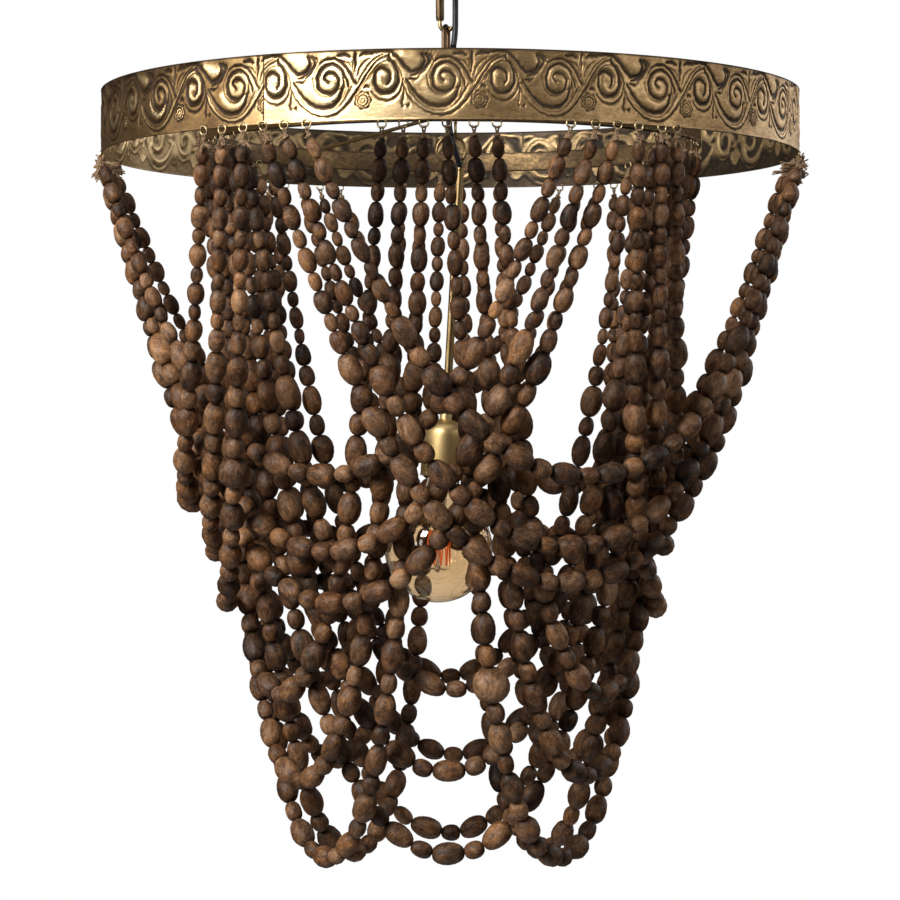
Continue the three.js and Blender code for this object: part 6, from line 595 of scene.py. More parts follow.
def wood():
    m, nt, b = material("bead_wood")
    gc = node(nt, "ShaderNodeAttribute", attribute_name="gc").outputs["Vector"]
    tone = node(nt, "ShaderNodeAttribute", attribute_name="tone").outputs["Fac"]
    warm = node(nt, "ShaderNodeAttribute", attribute_name="warm").outputs["Fac"]
    end = node(nt, "ShaderNodeAttribute", attribute_name="end").outputs["Fac"]
    patch = noise(nt, scaled(nt, gc, (0.13, 0.13, 0.08)), 1, 2, 0.5)
    mottle = noise(nt, scaled(nt, gc, (0.32, 0.32, 0.15)), 1, 3, 0.6, 0.9)
    rings = node(nt, "ShaderNodeTexWave", {"Vector": scaled(nt, gc, (1, 1, 0.10)), "Scale": 0.16, "Distortion": 5.5, "Detail": 3.0, "Detail Scale": 0.35, "Detail Roughness": 0.6},
                 wave_type="RINGS", rings_direction="Z", wave_profile="SIN").outputs["Fac"]
    streak = noise(nt, scaled(nt, gc, (0.46, 0.46, 0.12)), 1, 4, 0.60, 1.0)
    grit = noise(nt, scaled(nt, gc, (0.95, 0.95, 0.55)), 1, 3, 0.62, 0.4)
    line = noise(nt, scaled(nt, gc, (1.3, 1.3, 0.09)), 1, 3, 0.6, 0.5)
    fine = noise(nt, scaled(nt, gc, (3.0, 3.0, 0.25)), 1, 3, 0.65)
    pores = noise(nt, scaled(nt, gc, (4.0, 4.0, 0.60)), 1, 2, 0.4)
    hue = noise(nt, scaled(nt, gc, (0.17, 0.17, 0.11)), 1, 2, 0.5, 0.8)
    v = maths(nt, "ADD", maths(nt, "MULTIPLY", tone, 0.58), maths(nt, "MULTIPLY", patch, 0.80))
    v = maths(nt, "ADD", v, maths(nt, "MULTIPLY", rings, 0.08))
    v = maths(nt, "ADD", v, maths(nt, "MULTIPLY", streak, 0.24))
    v = maths(nt, "ADD", v, maths(nt, "MULTIPLY", mottle, 0.80))
    v = maths(nt, "ADD", v, maths(nt, "MULTIPLY", maths(nt, "SUBTRACT", grit, 0.5), 0.62))
    v = maths(nt, "ADD", v, maths(nt, "MULTIPLY", fine, 0.18))
    # painted shade: each bead darker towards its ends, where it meets the next
    v = maths(nt, "SUBTRACT", v, maths(nt, "MULTIPLY", end, 0.25))
    v = maths(nt, "SUBTRACT", v, 0.835, clamp=True)
    c = ramp(nt, v, [(0.0, (0.012, 0.0064, 0.0034)), (0.16, (0.032, 0.0165, 0.0083)), (0.36, (0.082, 0.0425, 0.0212)),
                     (0.54, (0.160, 0.085, 0.041)), (0.76, (0.305, 0.174, 0.086)), (1.0, (0.50, 0.305, 0.165))])
    # each bead leans to orange or to grey, and so does each patch of it
    lean = maths(nt, "ADD", maths(nt, "MULTIPLY", warm, 0.75), maths(nt, "MULTIPLY", maths(nt, "SUBTRACT", hue, 0.5), 2.4))
    c = mixed(nt, maths(nt, "MAXIMUM", maths(nt, "MINIMUM", lean, 1.0), 0.0), mixed(nt, 1.0, c, (0.98, 0.95, 1.00), "MULTIPLY"), mixed(nt, 1.0, c, (1.24, 0.98, 0.70), "MULTIPLY"))
    crack = ramp(nt, line, [(0.0, (0.20, 0.16, 0.14)), (0.33, (0.34, 0.29, 0.26)), (0.40, (1, 1, 1))])
    c = mixed(nt, 0.5, c, crack, "MULTIPLY")
    hole = ramp(nt, pores, [(0.0, (0.25, 0.2, 0.18)), (0.32, (0.38, 0.33, 0.29)), (0.39, (1, 1, 1))])
    c = mixed(nt, 0.9, c, hole, "MULTIPLY")
    nt.links.new(c, b.inputs["Base Color"])
    r = maths(nt, "ADD", maths(nt, "MULTIPLY", fine, 0.30), 0.33)
    nt.links.new(r, b.inputs["Roughness"])
    h = maths(nt, "ADD", maths(nt, "MULTIPLY", grit, 0.9), maths(nt, "MULTIPLY", maths(nt, "MINIMUM", pores, 0.40), 1.8))
    h = maths(nt, "ADD", h, maths(nt, "MULTIPLY", streak, 0.45))
    h = maths(nt, "ADD", h, maths(nt, "MULTIPLY", maths(nt, "MINIMUM", line, 0.42), 1.5))
    dents = noise(nt, scaled(nt, gc, (0.11, 0.11, 0.09)), 1, 2, 0.45)
    nt.links.new(bump(nt, h, 0.00026, 0.85, bump(nt, dents, 0.0026, 0.6)), b.inputs["Normal"])
    b.inputs["Specular IOR Level"].default_value = 0.32
    return m


def embossed_gold():
    m, nt, b = material("antique_gold")
    cav = node(nt, "ShaderNodeAttribute", attribute_name="cavity").outputs["Fac"]
    uv = node(nt, "ShaderNodeAttribute", attribute_name="strip").outputs["Vector"]
    blotch = noise(nt, scaled(nt, uv, (0.03, 0.05, 0.05)), 1, 4, 0.6)
    brush = noise(nt, scaled(nt, uv, (0.16, 1.7, 1.0)), 1, 4, 0.65)
    speck = noise(nt, scaled(nt, uv, (1.3, 1.3, 1.3)), 1, 3, 0.6)
    wear = noise(nt, scaled(nt, uv, (0.055, 0.09, 0.1)), 1, 3, 0.6)
    # painted highlight: the sheen zone from the band, mixed with wear noise, takes paler colours, more metal and a
    # smoother finish
    wear_and_sheen = node(nt, "ShaderNodeAttribute", attribute_name="painted_sheen").outputs["Fac"]
    wear_and_sheen = maths(nt, "ADD", wear_and_sheen, maths(nt, "MULTIPLY", maths(nt, "SUBTRACT", wear, 0.5), 0.9), clamp=True)
    rest = maths(nt, "SUBTRACT", 1.0, wear_and_sheen)
    stain = noise(nt, scaled(nt, uv, (0.24, 0.34, 0.3)), 1, 5, 0.66, 0.7)
    v = maths(nt, "ADD", cav, maths(nt, "MULTIPLY", maths(nt, "SUBTRACT", blotch, 0.5), 0.5))
    v = maths(nt, "ADD", v, maths(nt, "MULTIPLY", maths(nt, "SUBTRACT", stain, 0.5), maths(nt, "ADD", maths(nt, "MULTIPLY", rest, 0.62), 0.14)))
    v = maths(nt, "ADD", v, maths(nt, "MULTIPLY", maths(nt, "SUBTRACT", brush, 0.5), maths(nt, "MULTIPLY", rest, 0.34)))
    v = maths(nt, "ADD", v, maths(nt, "MULTIPLY", maths(nt, "SUBTRACT", brush, 0.5), 0.30))
    v = maths(nt, "ADD", v, maths(nt, "MULTIPLY", maths(nt, "SUBTRACT", speck, 0.5), 0.22), clamp=True)
    matt = ramp(nt, v, [(0.0, (0.050, 0.034, 0.022)), (0.20, (0.105, 0.068, 0.037)), (0.38, (0.215, 0.136, 0.066)),
                        (0.56, (0.42, 0.265, 0.120)), (0.78, (0.62, 0.415, 0.205)), (1.0, (0.82, 0.60, 0.34))])
    # paler colours for the painted highlight zone
    bright = ramp(nt, v, [(0.0, (0.030, 0.015, 0.005)), (0.20, (0.090, 0.049, 0.018)), (0.38, (0.25, 0.152, 0.062)),
                          (0.56, (0.44, 0.308, 0.152)), (0.78, (0.80, 0.62, 0.37)), (1.0, (0.93, 0.80, 0.57))])
    c = mixed(nt, wear_and_sheen, matt, bright)
    # inside faces take darker colours and a little less metal: painted shade
    within = node(nt, "ShaderNodeAttribute", attribute_name="inside").outputs["Fac"]
    back = ramp(nt, v, [(0.0, (0.026, 0.018, 0.011)), (0.2, (0.070, 0.048, 0.029)), (0.4, (0.15, 0.104, 0.058)), (0.6, (0.33, 0.228, 0.115)), (1.0, (0.70, 0.51, 0.27))])
    c = mixed(nt, within, c, back)
    nt.links.new(c, b.inputs["Base Color"])
    met = maths(nt, "ADD", 0.92, maths(nt, "MULTIPLY", wear_and_sheen, 0.06))
    met = maths(nt, "SUBTRACT", met, maths(nt, "MULTIPLY", within, 0.12))
    # the paint that was left in the hollows hides the metal
    bare = node(nt, "ShaderNodeMapRange", {"Value": v, "From Min": 0.10, "From Max": 0.42, "To Min": 0.35, "To Max": 1.0}).outputs[0]
    nt.links.new(maths(nt, "MULTIPLY", met, bare), b.inputs["Metallic"])
    haze = noise(nt, scaled(nt, uv, (0.012, 0.02, 0.03)), 1, 3, 0.6)
    r = maths(nt, "SUBTRACT", 0.60, maths(nt, "MULTIPLY", v, 0.20))
    r = maths(nt, "SUBTRACT", r, maths(nt, "MULTIPLY", wear_and_sheen, 0.16))
    r = maths(nt, "SUBTRACT", r, maths(nt, "MULTIPLY", maths(nt, "SUBTRACT", haze, 0.48), 0.40))
    r = maths(nt, "ADD", r, maths(nt, "MULTIPLY", maths(nt, "SUBTRACT", brush, 0.5), 0.24))
    nt.links.new(r, b.inputs["Roughness"])
    h = maths(nt, "ADD", maths(nt, "MULTIPLY", brush, 0.7), maths(nt, "MULTIPLY", speck, 0.6))
    h = maths(nt, "ADD", h, maths(nt, "MULTIPLY", blotch, 3.0))
    nt.links.new(bump(nt, h, 0.00028, 0.65), b.inputs["Normal"])
    b.inputs["Specular IOR Level"].default_value = 0.25
    return m


def metal(name, dark, mid, light, rough=(0.28, 0.45), stretch=(1, 1, 0.1), bump_mm=0.05):
    m, nt, b = material(name)
    co = node(nt, "ShaderNodeTexCoord").outputs["Object"]
    big = noise(nt, scaled(nt, co, (40, 40, 40)), 1, 4, 0.6)
    brush = noise(nt, scaled(nt, co, tuple(1400 * s for s in stretch)), 1, 3, 0.6)
    v = maths(nt, "ADD", maths(nt, "MULTIPLY", big, 0.75), maths(nt, "MULTIPLY", brush, 0.25))
    c = ramp(nt, v, [(0.30, dark), (0.5, mid), (0.70, light)])
    nt.links.new(c, b.inputs["Base Color"])
    b.inputs["Metallic"].default_value = 1.0
    r = node(nt, "ShaderNodeMapRange", {"Value": v, "From Min": 0.3, "From Max": 0.7, "To Min": rough[1], "To Max": rough[0]}).outputs[0]
    nt.links.new(r, b.inputs["Roughness"])
    nt.links.new(bump(nt, maths(nt, "ADD", brush, maths(nt, "MULTIPLY", big, 2.0)), bump_mm * MM, 0.6), b.inputs["Normal"])
    return m


def plain(name, dark, light, rough, scale=900, bump_mm=0.03, spec=0.5, **sockets):
    m, nt, b = material(name)
    co = node(nt, "ShaderNodeTexCoord").outputs["Object"]
    n = noise(nt, scaled(nt, co, (scale,) * 3), 1, 3, 0.6)
    nt.links.new(ramp(nt, n, [(0.3, dark), (0.7, light)]), b.inputs["Base Color"])
    nt.links.new(node(nt, "ShaderNodeMapRange", {"Value": n, "From Min": 0.3, "From Max": 0.7, "To Min": rough - 0.06, "To Max": rough + 0.08}).outputs[0], b.inputs["Roughness"])
    nt.links.new(bump(nt, n, bump_mm * MM, 0.5), b.inputs["Normal"])
    b.inputs["Specular IOR Level"].default_value = spec
    for k, v in sockets.items():
        b.inputs[k].default_value = v
    return m


def amber_glass():
    m, nt, b = material("amber_glass")
    co = node(nt, "ShaderNodeTexCoord").outputs["Object"]
    n = noise(nt, scaled(nt, co, (18, 18, 18)), 1, 2, 0.5)
    nt.links.new(ramp(nt, n, [(0.35, (0.76, 0.61, 0.42)), (0.65, (0.82, 0.69, 0.52))]), b.inputs["Base Color"])
    b.inputs["Transmission Weight"].default_value = 1.0
    b.inputs["Roughness"].default_value = 0.02
    b.inputs["IOR"].default_value = 1.45
    return m


def clear_glass():
    m, nt, b = material("stem_glass")
    co = node(nt, "ShaderNodeTexCoord").outputs["Object"]
    n = noise(nt, scaled(nt, co, (200, 200, 60)), 1, 2, 0.5)
    nt.links.new(ramp(nt, n, [(0.35, (0.80, 0.82, 0.82)), (0.65, (0.93, 0.94, 0.94))]), b.inputs["Base Color"])
    b.inputs["Transmission Weight"].default_value = 0.85
    b.inputs["Roughness"].default_value = 0.06
    b.inputs["IOR"].default_value = 1.5
    return m


def glow():
    m, nt, b = material("filament_glow")
    co = node(nt, "ShaderNodeTexCoord").outputs["Object"]
    n = noise(nt, scaled(nt, co, (500, 500, 160)), 1, 3, 0.6)
    c = ramp(nt, n, [(0.3, (0.42, 0.045, 0.002)), (0.7, (0.92, 0.16, 0.008))])
    nt.links.new(c, b.inputs["Base Color"])
    nt.links.new(c, b.inputs["Emission Color"])
    b.inputs["Emission Strength"].default_value = 0.45
    b.inputs["Roughness"].default_value = 0.5
    return m


M_WOOD = wood()
M_BAND = embossed_gold()
M_GOLD = metal("smooth_gold", (0.34, 0.23, 0.10), (0.52, 0.37, 0.17), (0.66, 0.49, 0.25))
M_BRONZE = metal("bronze", (0.06, 0.038, 0.02), (0.13, 0.085, 0.045), (0.24, 0.17, 0.09), rough=(0.32, 0.5))
M_BRASS = metal("satin_brass", (0.64, 0.42, 0.165), (0.82, 0.575, 0.25), (0.94, 0.72, 0.38), rough=(0.40, 0.50), bump_mm=0.03)
M_TUBE = metal("tube_brass", (0.30, 0.20, 0.085), (0.42, 0.29, 0.13), (0.54, 0.39, 0.19), rough=(0.28, 0.40), bump_mm=0.03)
M_WIRE = metal("eye_wire", (0.38, 0.27, 0.13), (0.60, 0.46, 0.25), (0.78, 0.63, 0.38), rough=(0.25, 0.4))
M_STEEL = metal("zinc_steel", (0.42, 0.42, 0.41), (0.58, 0.58, 0.56), (0.70, 0.70, 0.68))
M_BLACK = plain("holder_black", (0.012, 0.012, 0.012), (0.03, 0.029, 0.028), 0.55)
M_FLEX = plain("flex_black", (0.003, 0.0035, 0.006), (0.011, 0.012, 0.019), 0.45, scale=500)
M_JUTE = plain("jute", (0.11, 0.062, 0.034), (0.50, 0.335, 0.20), 0.85, scale=1500, bump_mm=0.12, spec=0.2)
M_GLASS = amber_glass()
M_CLEAR = clear_glass()
M_GLOW = glow()


# ------------------------------------------------------------------ strands: thread and beads
SEG = 12
RINGS = np.array([-1, -0.97, -0.87, -0.68, -0.37, 0, 0.37, 0.68, 0.87, 0.97, 1])
SHAPE = {"s": (2.0, 1.95), "m": (1.98, 1.98), "L": (1.95, 2.0), "r": (2.15, 2.0), "B": (1.95, 2.0)}
SLIM = {"s": 0.96, "m": 0.92, "L": 0.89, "r": 0.95, "B": 0.92}
BASE_TONE = {"s": 0.42, "m": 0.40, "L": 0.44, "r": 0.46, "B": 0.45}


def bead_faces():
    F, n = [], len(RINGS)
    for i in range(n - 1):
        for k in range(SEG):
            m = (k + 1) % SEG
            F.append([i * SEG + k, i * SEG + m, (i + 1) * SEG + m, (i + 1) * SEG + k])
    c0, c1 = n * SEG, n * SEG + 1
    for k in range(SEG):
        m = (k + 1) % SEG
        F.append([c0, m, k])
        F.append([c1, (n - 1) * SEG + k, (n - 1) * SEG + m])
    return F


FACES = bead_faces()
QUADS = np.array([f for f in FACES if len(f) == 4])
TRIS = np.array([f for f in FACES if len(f) == 3])


def strand_beads(name, P, seq, D):
    V, GC, TONE, WARM = [], [], [], []
    # how near each point is to the bead's ends, for the painted shade there
    ends = np.concatenate([np.repeat(np.clip((np.abs(RINGS) - 0.72) / 0.28, 0, 1), SEG), [1.0, 1.0]])
    a = np.arange(SEG) / SEG * 2 * math.pi
    drift = rng.normal(0, 0.05)
    for i, kind in enumerate(seq):
        if kind == "k":
            continue
        c, ax = (P[i] + P[i + 1]) / 2, P[i + 1] - P[i]
        length = np.linalg.norm(ax)
        ax = ax / length
        tilt = rng.normal(0, 0.05, 3)
        ax = ax + tilt - ax * (tilt @ ax)
        ax /= np.linalg.norm(ax)
        u = np.cross(ax, rng.normal(0, 1, 3))
        u /= np.linalg.norm(u)
        w = np.cross(ax, u)
        R, h = D[i] / 2 * SLIM[kind] * (1 + rng.normal(0, 0.03)), length / 2
        pa, pb = SHAPE[kind]
        pa += rng.normal(0, 0.12)
        end = min(1.5, 0.2 * R)
        rr = end + (R - end) * np.maximum(1 - np.abs(RINGS) ** pa, 0) ** (1 / pb)
        lop, ph, egg = 1 + rng.normal(0, 0.022), rng.uniform(0, 6.28), rng.normal(0, 0.045)
        ph2, amp2 = rng.uniform(0, 6.28), abs(rng.normal(0, 0.012))
        rad = rr[:, None] * (1 + (lop - 1) * np.cos(2 * a[None, :] - ph) + amp2 * np.cos(3 * a[None, :] - ph2)) * (1 + egg * RINGS[:, None])
        x, y = rad * np.cos(a), rad * np.sin(a)
        z = np.repeat((RINGS * h)[:, None], SEG, 1)
        loc = np.stack([x, y, z], 2).reshape(-1, 3)
        loc = np.vstack([loc, [0, 0, -0.86 * h], [0, 0, 0.86 * h]])
        V.append(c + loc[:, :1] * u + loc[:, 1:2] * w + loc[:, 2:] * ax)
        # the grain runs near the hole's line on most beads, across it on some
        g = rng.normal(0, 0.22, 2) if rng.random() > 0.16 else np.array([1.3, rng.normal(0, 0.4)])
        G = np.array(Euler((g[0], g[1], rng.uniform(0, 6.28))).to_matrix())
        GC.append(loc @ G.T + rng.uniform(-400, 400, 3))
        t = BASE_TONE[kind] + drift + rng.normal(0, 0.18)
        if rng.random() < 0.12:
            t += 0.25
        if rng.random() < 0.10:
            t -= 0.18
        TONE.append(np.full(len(loc), t))
        WARM.append(np.full(len(loc), min(1.0, max(0.0, rng.normal(0.42, 0.28)))))
    n = len(RINGS) * SEG + 2
    F = []
    for k in range(len(V)):
        F.append(k * n)
    off = np.array(F)
    quads = (QUADS[None] + off[:, None, None]).reshape(-1, 4)
    tris = (TRIS[None] + off[:, None, None]).reshape(-1, 3)
    faces = quads.tolist() + tris.tolist()
    ob = make_mesh("beads_" + name, np.vstack(V), faces, attrs={"gc": np.vstack(GC), "tone": np.concatenate(TONE), "warm": np.concatenate(WARM),
                   "end": np.tile(ends, len(V))}, materials=[M_WOOD])
    return ob


def curve_line(name, P, radius, mat):
    cu = bpy.data.curves.new(name, "CURVE")
    cu.dimensions = "3D"
    cu.bevel_depth = radius * MM
    cu.bevel_resolution = 1
    sp = cu.splines.new("POLY")
    sp.points.add(len(P) - 1)
    sp.points.foreach_set("co", np.hstack([np.asarray(P) * MM, np.ones((len(P), 1))]).astype(np.float32).ravel())
    cu.materials.append(mat)
    ob = bpy.data.objects.new(name, cu)
    bpy.context.scene.collection.objects.link(ob)
    return ob


STRANDS = {}
for name, (seq, D, flat) in STRAND_DATA.items():
    P = np.array(flat, float).reshape(-1, 3)
    STRANDS[name] = P
    thread = curve_line("thread_" + name, P, 0.8, M_JUTE)
    beads = strand_beads(name, P, seq, D)
    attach(thread, "frame")
    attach(beads, "frame")
    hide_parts("strand_" + name)
    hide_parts("strand_" + name)


# ------------------------------------------------------------------ flex
def mesh_flex(name, P, r=2.6):
    L = smooth_line(P, 2.5)
    V, F = tube(L, r, 16, round_ends=False)
    ob = make_mesh(name, V, F, materials=[M_FLEX])
    return ob, L


LEAN = math.radians(3.26)
PIVOT = np.array([9.0, 0.0, -178.9])
AXIS_Y = -3.9


def lamp_point(s, x=0.0, y=AXIS_Y):
    return [PIVOT[0] - s * math.sin(LEAN) + x * math.cos(LEAN), y, PIVOT[2] - s * math.cos(LEAN) - x * math.sin(LEAN)]


FLEX_A = [[4.5, -5, -0.6], [4.5, -5, -20], [4.5, -5, -45], [4.4, -5.1, -61], [3.9, -5.6, -70], [2.7, -6.7, -79]]
FLEX_B = [[2.7, -6.7, -79], [1.4, -8.4, -95], [0.4, -10, -108], [-0.7, -11.4, -122], [-1.4, -12.1, -136], [-0.9, -12.3, -148], [0.55, -11.7, -157.6]]
FLEX_C = [[0.55, -11.7, -157.6], [2.3, -10.4, -164], [4.6, -8.5, -171], [6.9, -6.3, -178], [8.1, -4.7, -182.6], [8.7, -4.05, -185.2],
          lamp_point(8), lamp_point(30), lamp_point(90), lamp_point(150), lamp_point(210), lamp_point(244)]
flex_a, la = mesh_flex("flex_upper", FLEX_A)
flex_b, lb = mesh_flex("flex_middle", FLEX_B)
flex_c, lc = mesh_flex("flex_lower", FLEX_C)
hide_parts("flex_top", "flex_link")
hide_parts("flex_frame")
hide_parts("flex_lamp")
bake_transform(flex_a)
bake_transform(flex_b)
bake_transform(flex_c)
# ------------------------------------------------------------------ the embossed scroll band
# One repeat of the traditional running scroll in millimetres: TILE wide, TOP at the upper edge and BOTTOM at the lower.
# It is drawn as the dark grooves that the chaser's punch left, with the raised shapes between them.
TILE, TOP, BOTTOM = 90.0, 3.0, 55.4
CELL = 0.25


def ease(P, step=0.9):
    return smooth_line([[x, y, 0] for x, y in P], step)[:, :2]


def near(x, y, line):
    """Distance to a line that repeats every TILE, how far along it (0..1), and the side."""
    best = np.full(x.shape, 1e9)
    along = np.zeros(x.shape)
    side = np.zeros(x.shape)
    n = len(line) - 1
    lo, hi = line.min(0) - 9, line.max(0) + 9
    for shift in (-TILE, 0.0, TILE):
        xs = x + shift
        m0 = (xs > lo[0]) & (xs < hi[0]) & (y > lo[1]) & (y < hi[1])
        if not m0.any():
            continue
        px, py = xs[m0], y[m0]
        b0, a0, s0 = best[m0], along[m0], side[m0]
        for i in range(n):
            a, b = line[i], line[i + 1]
            d = b - a
            L2 = max(d @ d, 1e-9)
            t = np.clip(((px - a[0]) * d[0] + (py - a[1]) * d[1]) / L2, 0, 1)
            q = np.hypot(px - a[0] - t * d[0], py - a[1] - t * d[1])
            m = q < b0
            b0 = np.where(m, q, b0)
            a0 = np.where(m, (i + t) / n, a0)
            s0 = np.where(m, np.sign(d[0] * (py - a[1]) - d[1] * (px - a[0])), s0)
        best[m0], along[m0], side[m0] = b0, a0, s0
    return best, along, side


def step(a, b, v):
    t = np.clip((v - a) / (b - a), 0, 1)
    return t * t * (3 - 2 * t)


# grooves: half-width at the start, middle and end, depth, and the line
GROOVES = [
    # the scroll under the arch: one groove that winds out from the eye
    ((0.7, 1.25, 0.9), 1.0, [(16.8, 28.8), (18.9, 25.4), (18.6, 21), (14.8, 18), (10.4, 17.8), (7.8, 20.6), (7.2, 25.5), (8.2, 31), (11.4, 34.6), (16, 35.8), (20.8, 34.2),
                             (24.2, 30.2), (25.4, 25), (24.6, 19.6), (22.4, 15), (19.6, 11.6), (17.8, 9.0)]),
    ((0.5, 0.7, 0.45), 0.7, [(5.0, 34.6), (8, 38.3), (12, 40.5), (16.5, 41.3), (21.5, 40.1), (25.4, 36.9), (27.7, 32.4), (28.5, 28.5), (28.9, 25.4)]),
    # the arch's outer side, down to the collar and round the lobe
    ((0.5, 1.15, 1.1), 1.0, [(3.5, 6.6), (8, 5.6), (13.5, 5.1), (19, 5.7), (23.6, 8.6), (28, 13.2), (31.8, 17.4), (35, 19.8), (39.4, 19.6), (43.4, 17.6), (45.6, 14), (45.4, 10.4), (43.9, 7.4)]),
    ((0.6, 0.9, 0.6), 0.8, [(18.1, 6.9), (18.0, 10), (18.2, 12.4)]),
    ((0.4, 0.6, 0.5), 0.6, [(20.4, 12.0), (23, 14.4), (25.8, 18), (27.6, 21.6), (28.2, 24.0)]),
    # the ragged hollow beyond the lobe
    ((0.8, 1.5, 0.5), 0.95, [(46.0, 8.0), (48.6, 9.8), (49.4, 12.6), (47.6, 15.4), (45.0, 18.0), (41.8, 20.4), (38.4, 22.2), (35.2, 23.0)]),
    ((0.7, 0.9, 0.3), 0.8, [(47.0, 7.4), (50.2, 9.0), (52.4, 12.2)]),
    ((0.6, 0.75, 0.2), 0.8, [(48.0, 16.4), (45.0, 19.8), (41.4, 23.2), (42.6, 24.4)]),
    ((0.5, 0.75, 0.3), 0.8, [(33.6, 25.6), (38.4, 26.0), (41.2, 24.6)]),
    # collar to the bottom of the wave, inside the double line
    ((0.5, 1.3, 0.9), 1.0, [(31.6, 25.8), (35.6, 31.6), (40.8, 37.8), (46.4, 42.4), (52.4, 44.9), (59, 45.4), (64.8, 43.7), (68.8, 39.6), (70.8, 35.2), (71.2, 31.8)]),
    # the line inside the double line, and its outer side
    ((0.3, 0.42, 0.35), 0.5, [(30.4, 27.2), (33.8, 33), (38.8, 39.6), (45, 45.0), (52, 48.1), (59.6, 48.6), (66.4, 46.0), (71.8, 40.6), (75.4, 34.6), (77.6, 30.8)]),
    ((0.4, 0.6, 0.55), 0.75, [(29.6, 28.8), (31.2, 34.4), (34.8, 40), (39.8, 44.6), (45.4, 48.6), (52, 51.2), (59.4, 52.0), (66, 50.6), (71.6, 47.2), (76.6, 42.2), (81, 36.6), (84.8, 31.4), (88.2, 26.2),
                              (92.2, 20.0), (97.2, 13.6), (102, 10.0), (106.4, 8.9)]),
    # the rise: fine parallel lines between the double line and the arch
    ((0.3, 0.5, 0.4), 0.6, [(83.4, 28.6), (87, 22.6), (91, 17), (95.2, 12.2), (99.6, 9.0), (104, 7.4)]),
    ((0.3, 0.5, 0.4), 0.6, [(84.4, 34.2), (89.4, 27.6), (93.6, 21.6), (97.6, 16.8), (102.2, 13.4), (106.8, 12.3)]),
    ((0.3, 0.45, 0.35), 0.55, [(91.6, 26.4), (95.4, 21.0), (99.4, 16.9), (103.4, 14.9)]),
    ((0.3, 0.5, 0.4), 0.6, [(69.6, 44.2), (73.4, 39.6), (76.8, 34.0), (79.4, 30.0)]),
    # the second scroll, under its own arch
    ((0.6, 1.15, 0.55), 0.95, [(60.4, 26.8), (58.2, 25.0), (58.2, 22.0), (61.0, 20.2), (65.2, 20.8), (68.4, 24.2), (68.8, 28.6), (66.4, 33), (61.4, 35.1), (56, 33.8), (52.6, 30), (51.8, 24.8), (53.0, 19.6),
                               (56.6, 15.6), (61.4, 13.5), (66.4, 14.1), (70.6, 17.2), (73.4, 21.4), (75.4, 26), (76.8, 30.4)]),
    ((0.4, 0.85, 0.7), 0.95, [(52.6, 13.2), (57.4, 10.6), (63, 9.6), (68.8, 11.0), (73.6, 14.6), (77.2, 19.4), (80.2, 24.4), (82.4, 28.2)]),
    ((0.3, 0.45, 0.3), 0.55, [(48.0, 22.6), (48.2, 28), (50.6, 32.8), (54.8, 36.2), (60.2, 37.1), (65.4, 35.4), (68.4, 32.4)]),
    ((0.4, 0.6, 0.4), 0.7, [(72.6, 24.4), (73.2, 28.2), (72.4, 31.4), (69.2, 31.8)]),
    ((0.3, 0.4, 0.3), 0.5, [(74.4, 30.0), (73.8, 34.4), (72.0, 38.2)]),
    # the upright leaf and its wings
    ((0.75, 0.85, 0.25), 1.0, [(82.0, 6.6), (81.9, 10), (81.8, 14.4), (81.7, 20.2)]),
    ((0.5, 1.1, 0.5), 0.95, [(67.8, 7.6), (71.4, 6.9), (75, 7.3), (78.4, 8.6)]),
    ((0.5, 1.1, 0.5), 0.95, [(85.2, 8.2), (88.8, 6.6), (92.4, 6.3), (95.8, 7.2)]),
    ((0.3, 0.5, 0.3), 0.6, [(72.6, 11.6), (76.4, 13.2), (79.4, 16.6)]),
    ((0.3, 0.5, 0.3), 0.6, [(93.6, 10.2), (89, 12.6), (85.4, 17.4), (83.6, 22.4)]),
    ((0.3, 0.4, 0.3), 0.5, [(79.9, 12), (80.0, 17), (81.2, 23.4)]),
    # stem and small leaf over the rosette
    ((0.6, 0.9, 0.3), 0.8, [(92.6, 30.8), (90.4, 30.2), (88.6, 31.8)]),
    ((0.3, 0.5, 0.3), 0.6, [(87.0, 34.4), (84.2, 37.4), (82.4, 41.0)]),
    # the small trefoil under the collar
    ((0.3, 0.55, 0.7), 0.7, [(29.2, 28.6), (29.6, 34.4), (29.0, 39.4), (28.0, 43.0)]),
    ((0.6, 0.7, 0.3), 0.8, [(28.4, 43.0), (29.2, 45.2), (30.4, 44.2)]),
    ((0.3, 0.6, 0.3), 0.8, [(31.6, 44.8), (33.0, 45.4), (34.0, 43.8)]),
]
# broad swellings that catch the light: the line along the top of each, its half-width and its height
SWELLS = [
    (4.6, 0.55, [(9, 14.5), (15, 12.5), (20.5, 16), (22.2, 22), (21.6, 27.4), (18, 31), (13.2, 30.6), (10.8, 26.6), (12.4, 22.8), (15.2, 23.2)]),
    (3.4, 0.35, [(62, 24.6), (64.8, 26.4), (63.4, 30.2), (58.8, 30.8), (55.6, 27), (56, 21), (60.2, 17.0), (66, 17.6), (70.4, 22.4), (71.4, 28)]),
    (6.0, 0.55, [(47.5, 31), (51.0, 36.6), (57.4, 40.2), (64, 39), (68.4, 35)]),
    (8.5, 0.60, [(29, 9), (36, 11), (40.5, 12.5)]),
    (2.6, 0.30, [(31, 31), (37, 40), (45, 46.8), (55, 50.2), (64, 49.6), (72, 44.6), (79, 36), (86, 26.5), (94, 16.2), (103, 10.4)]),
]


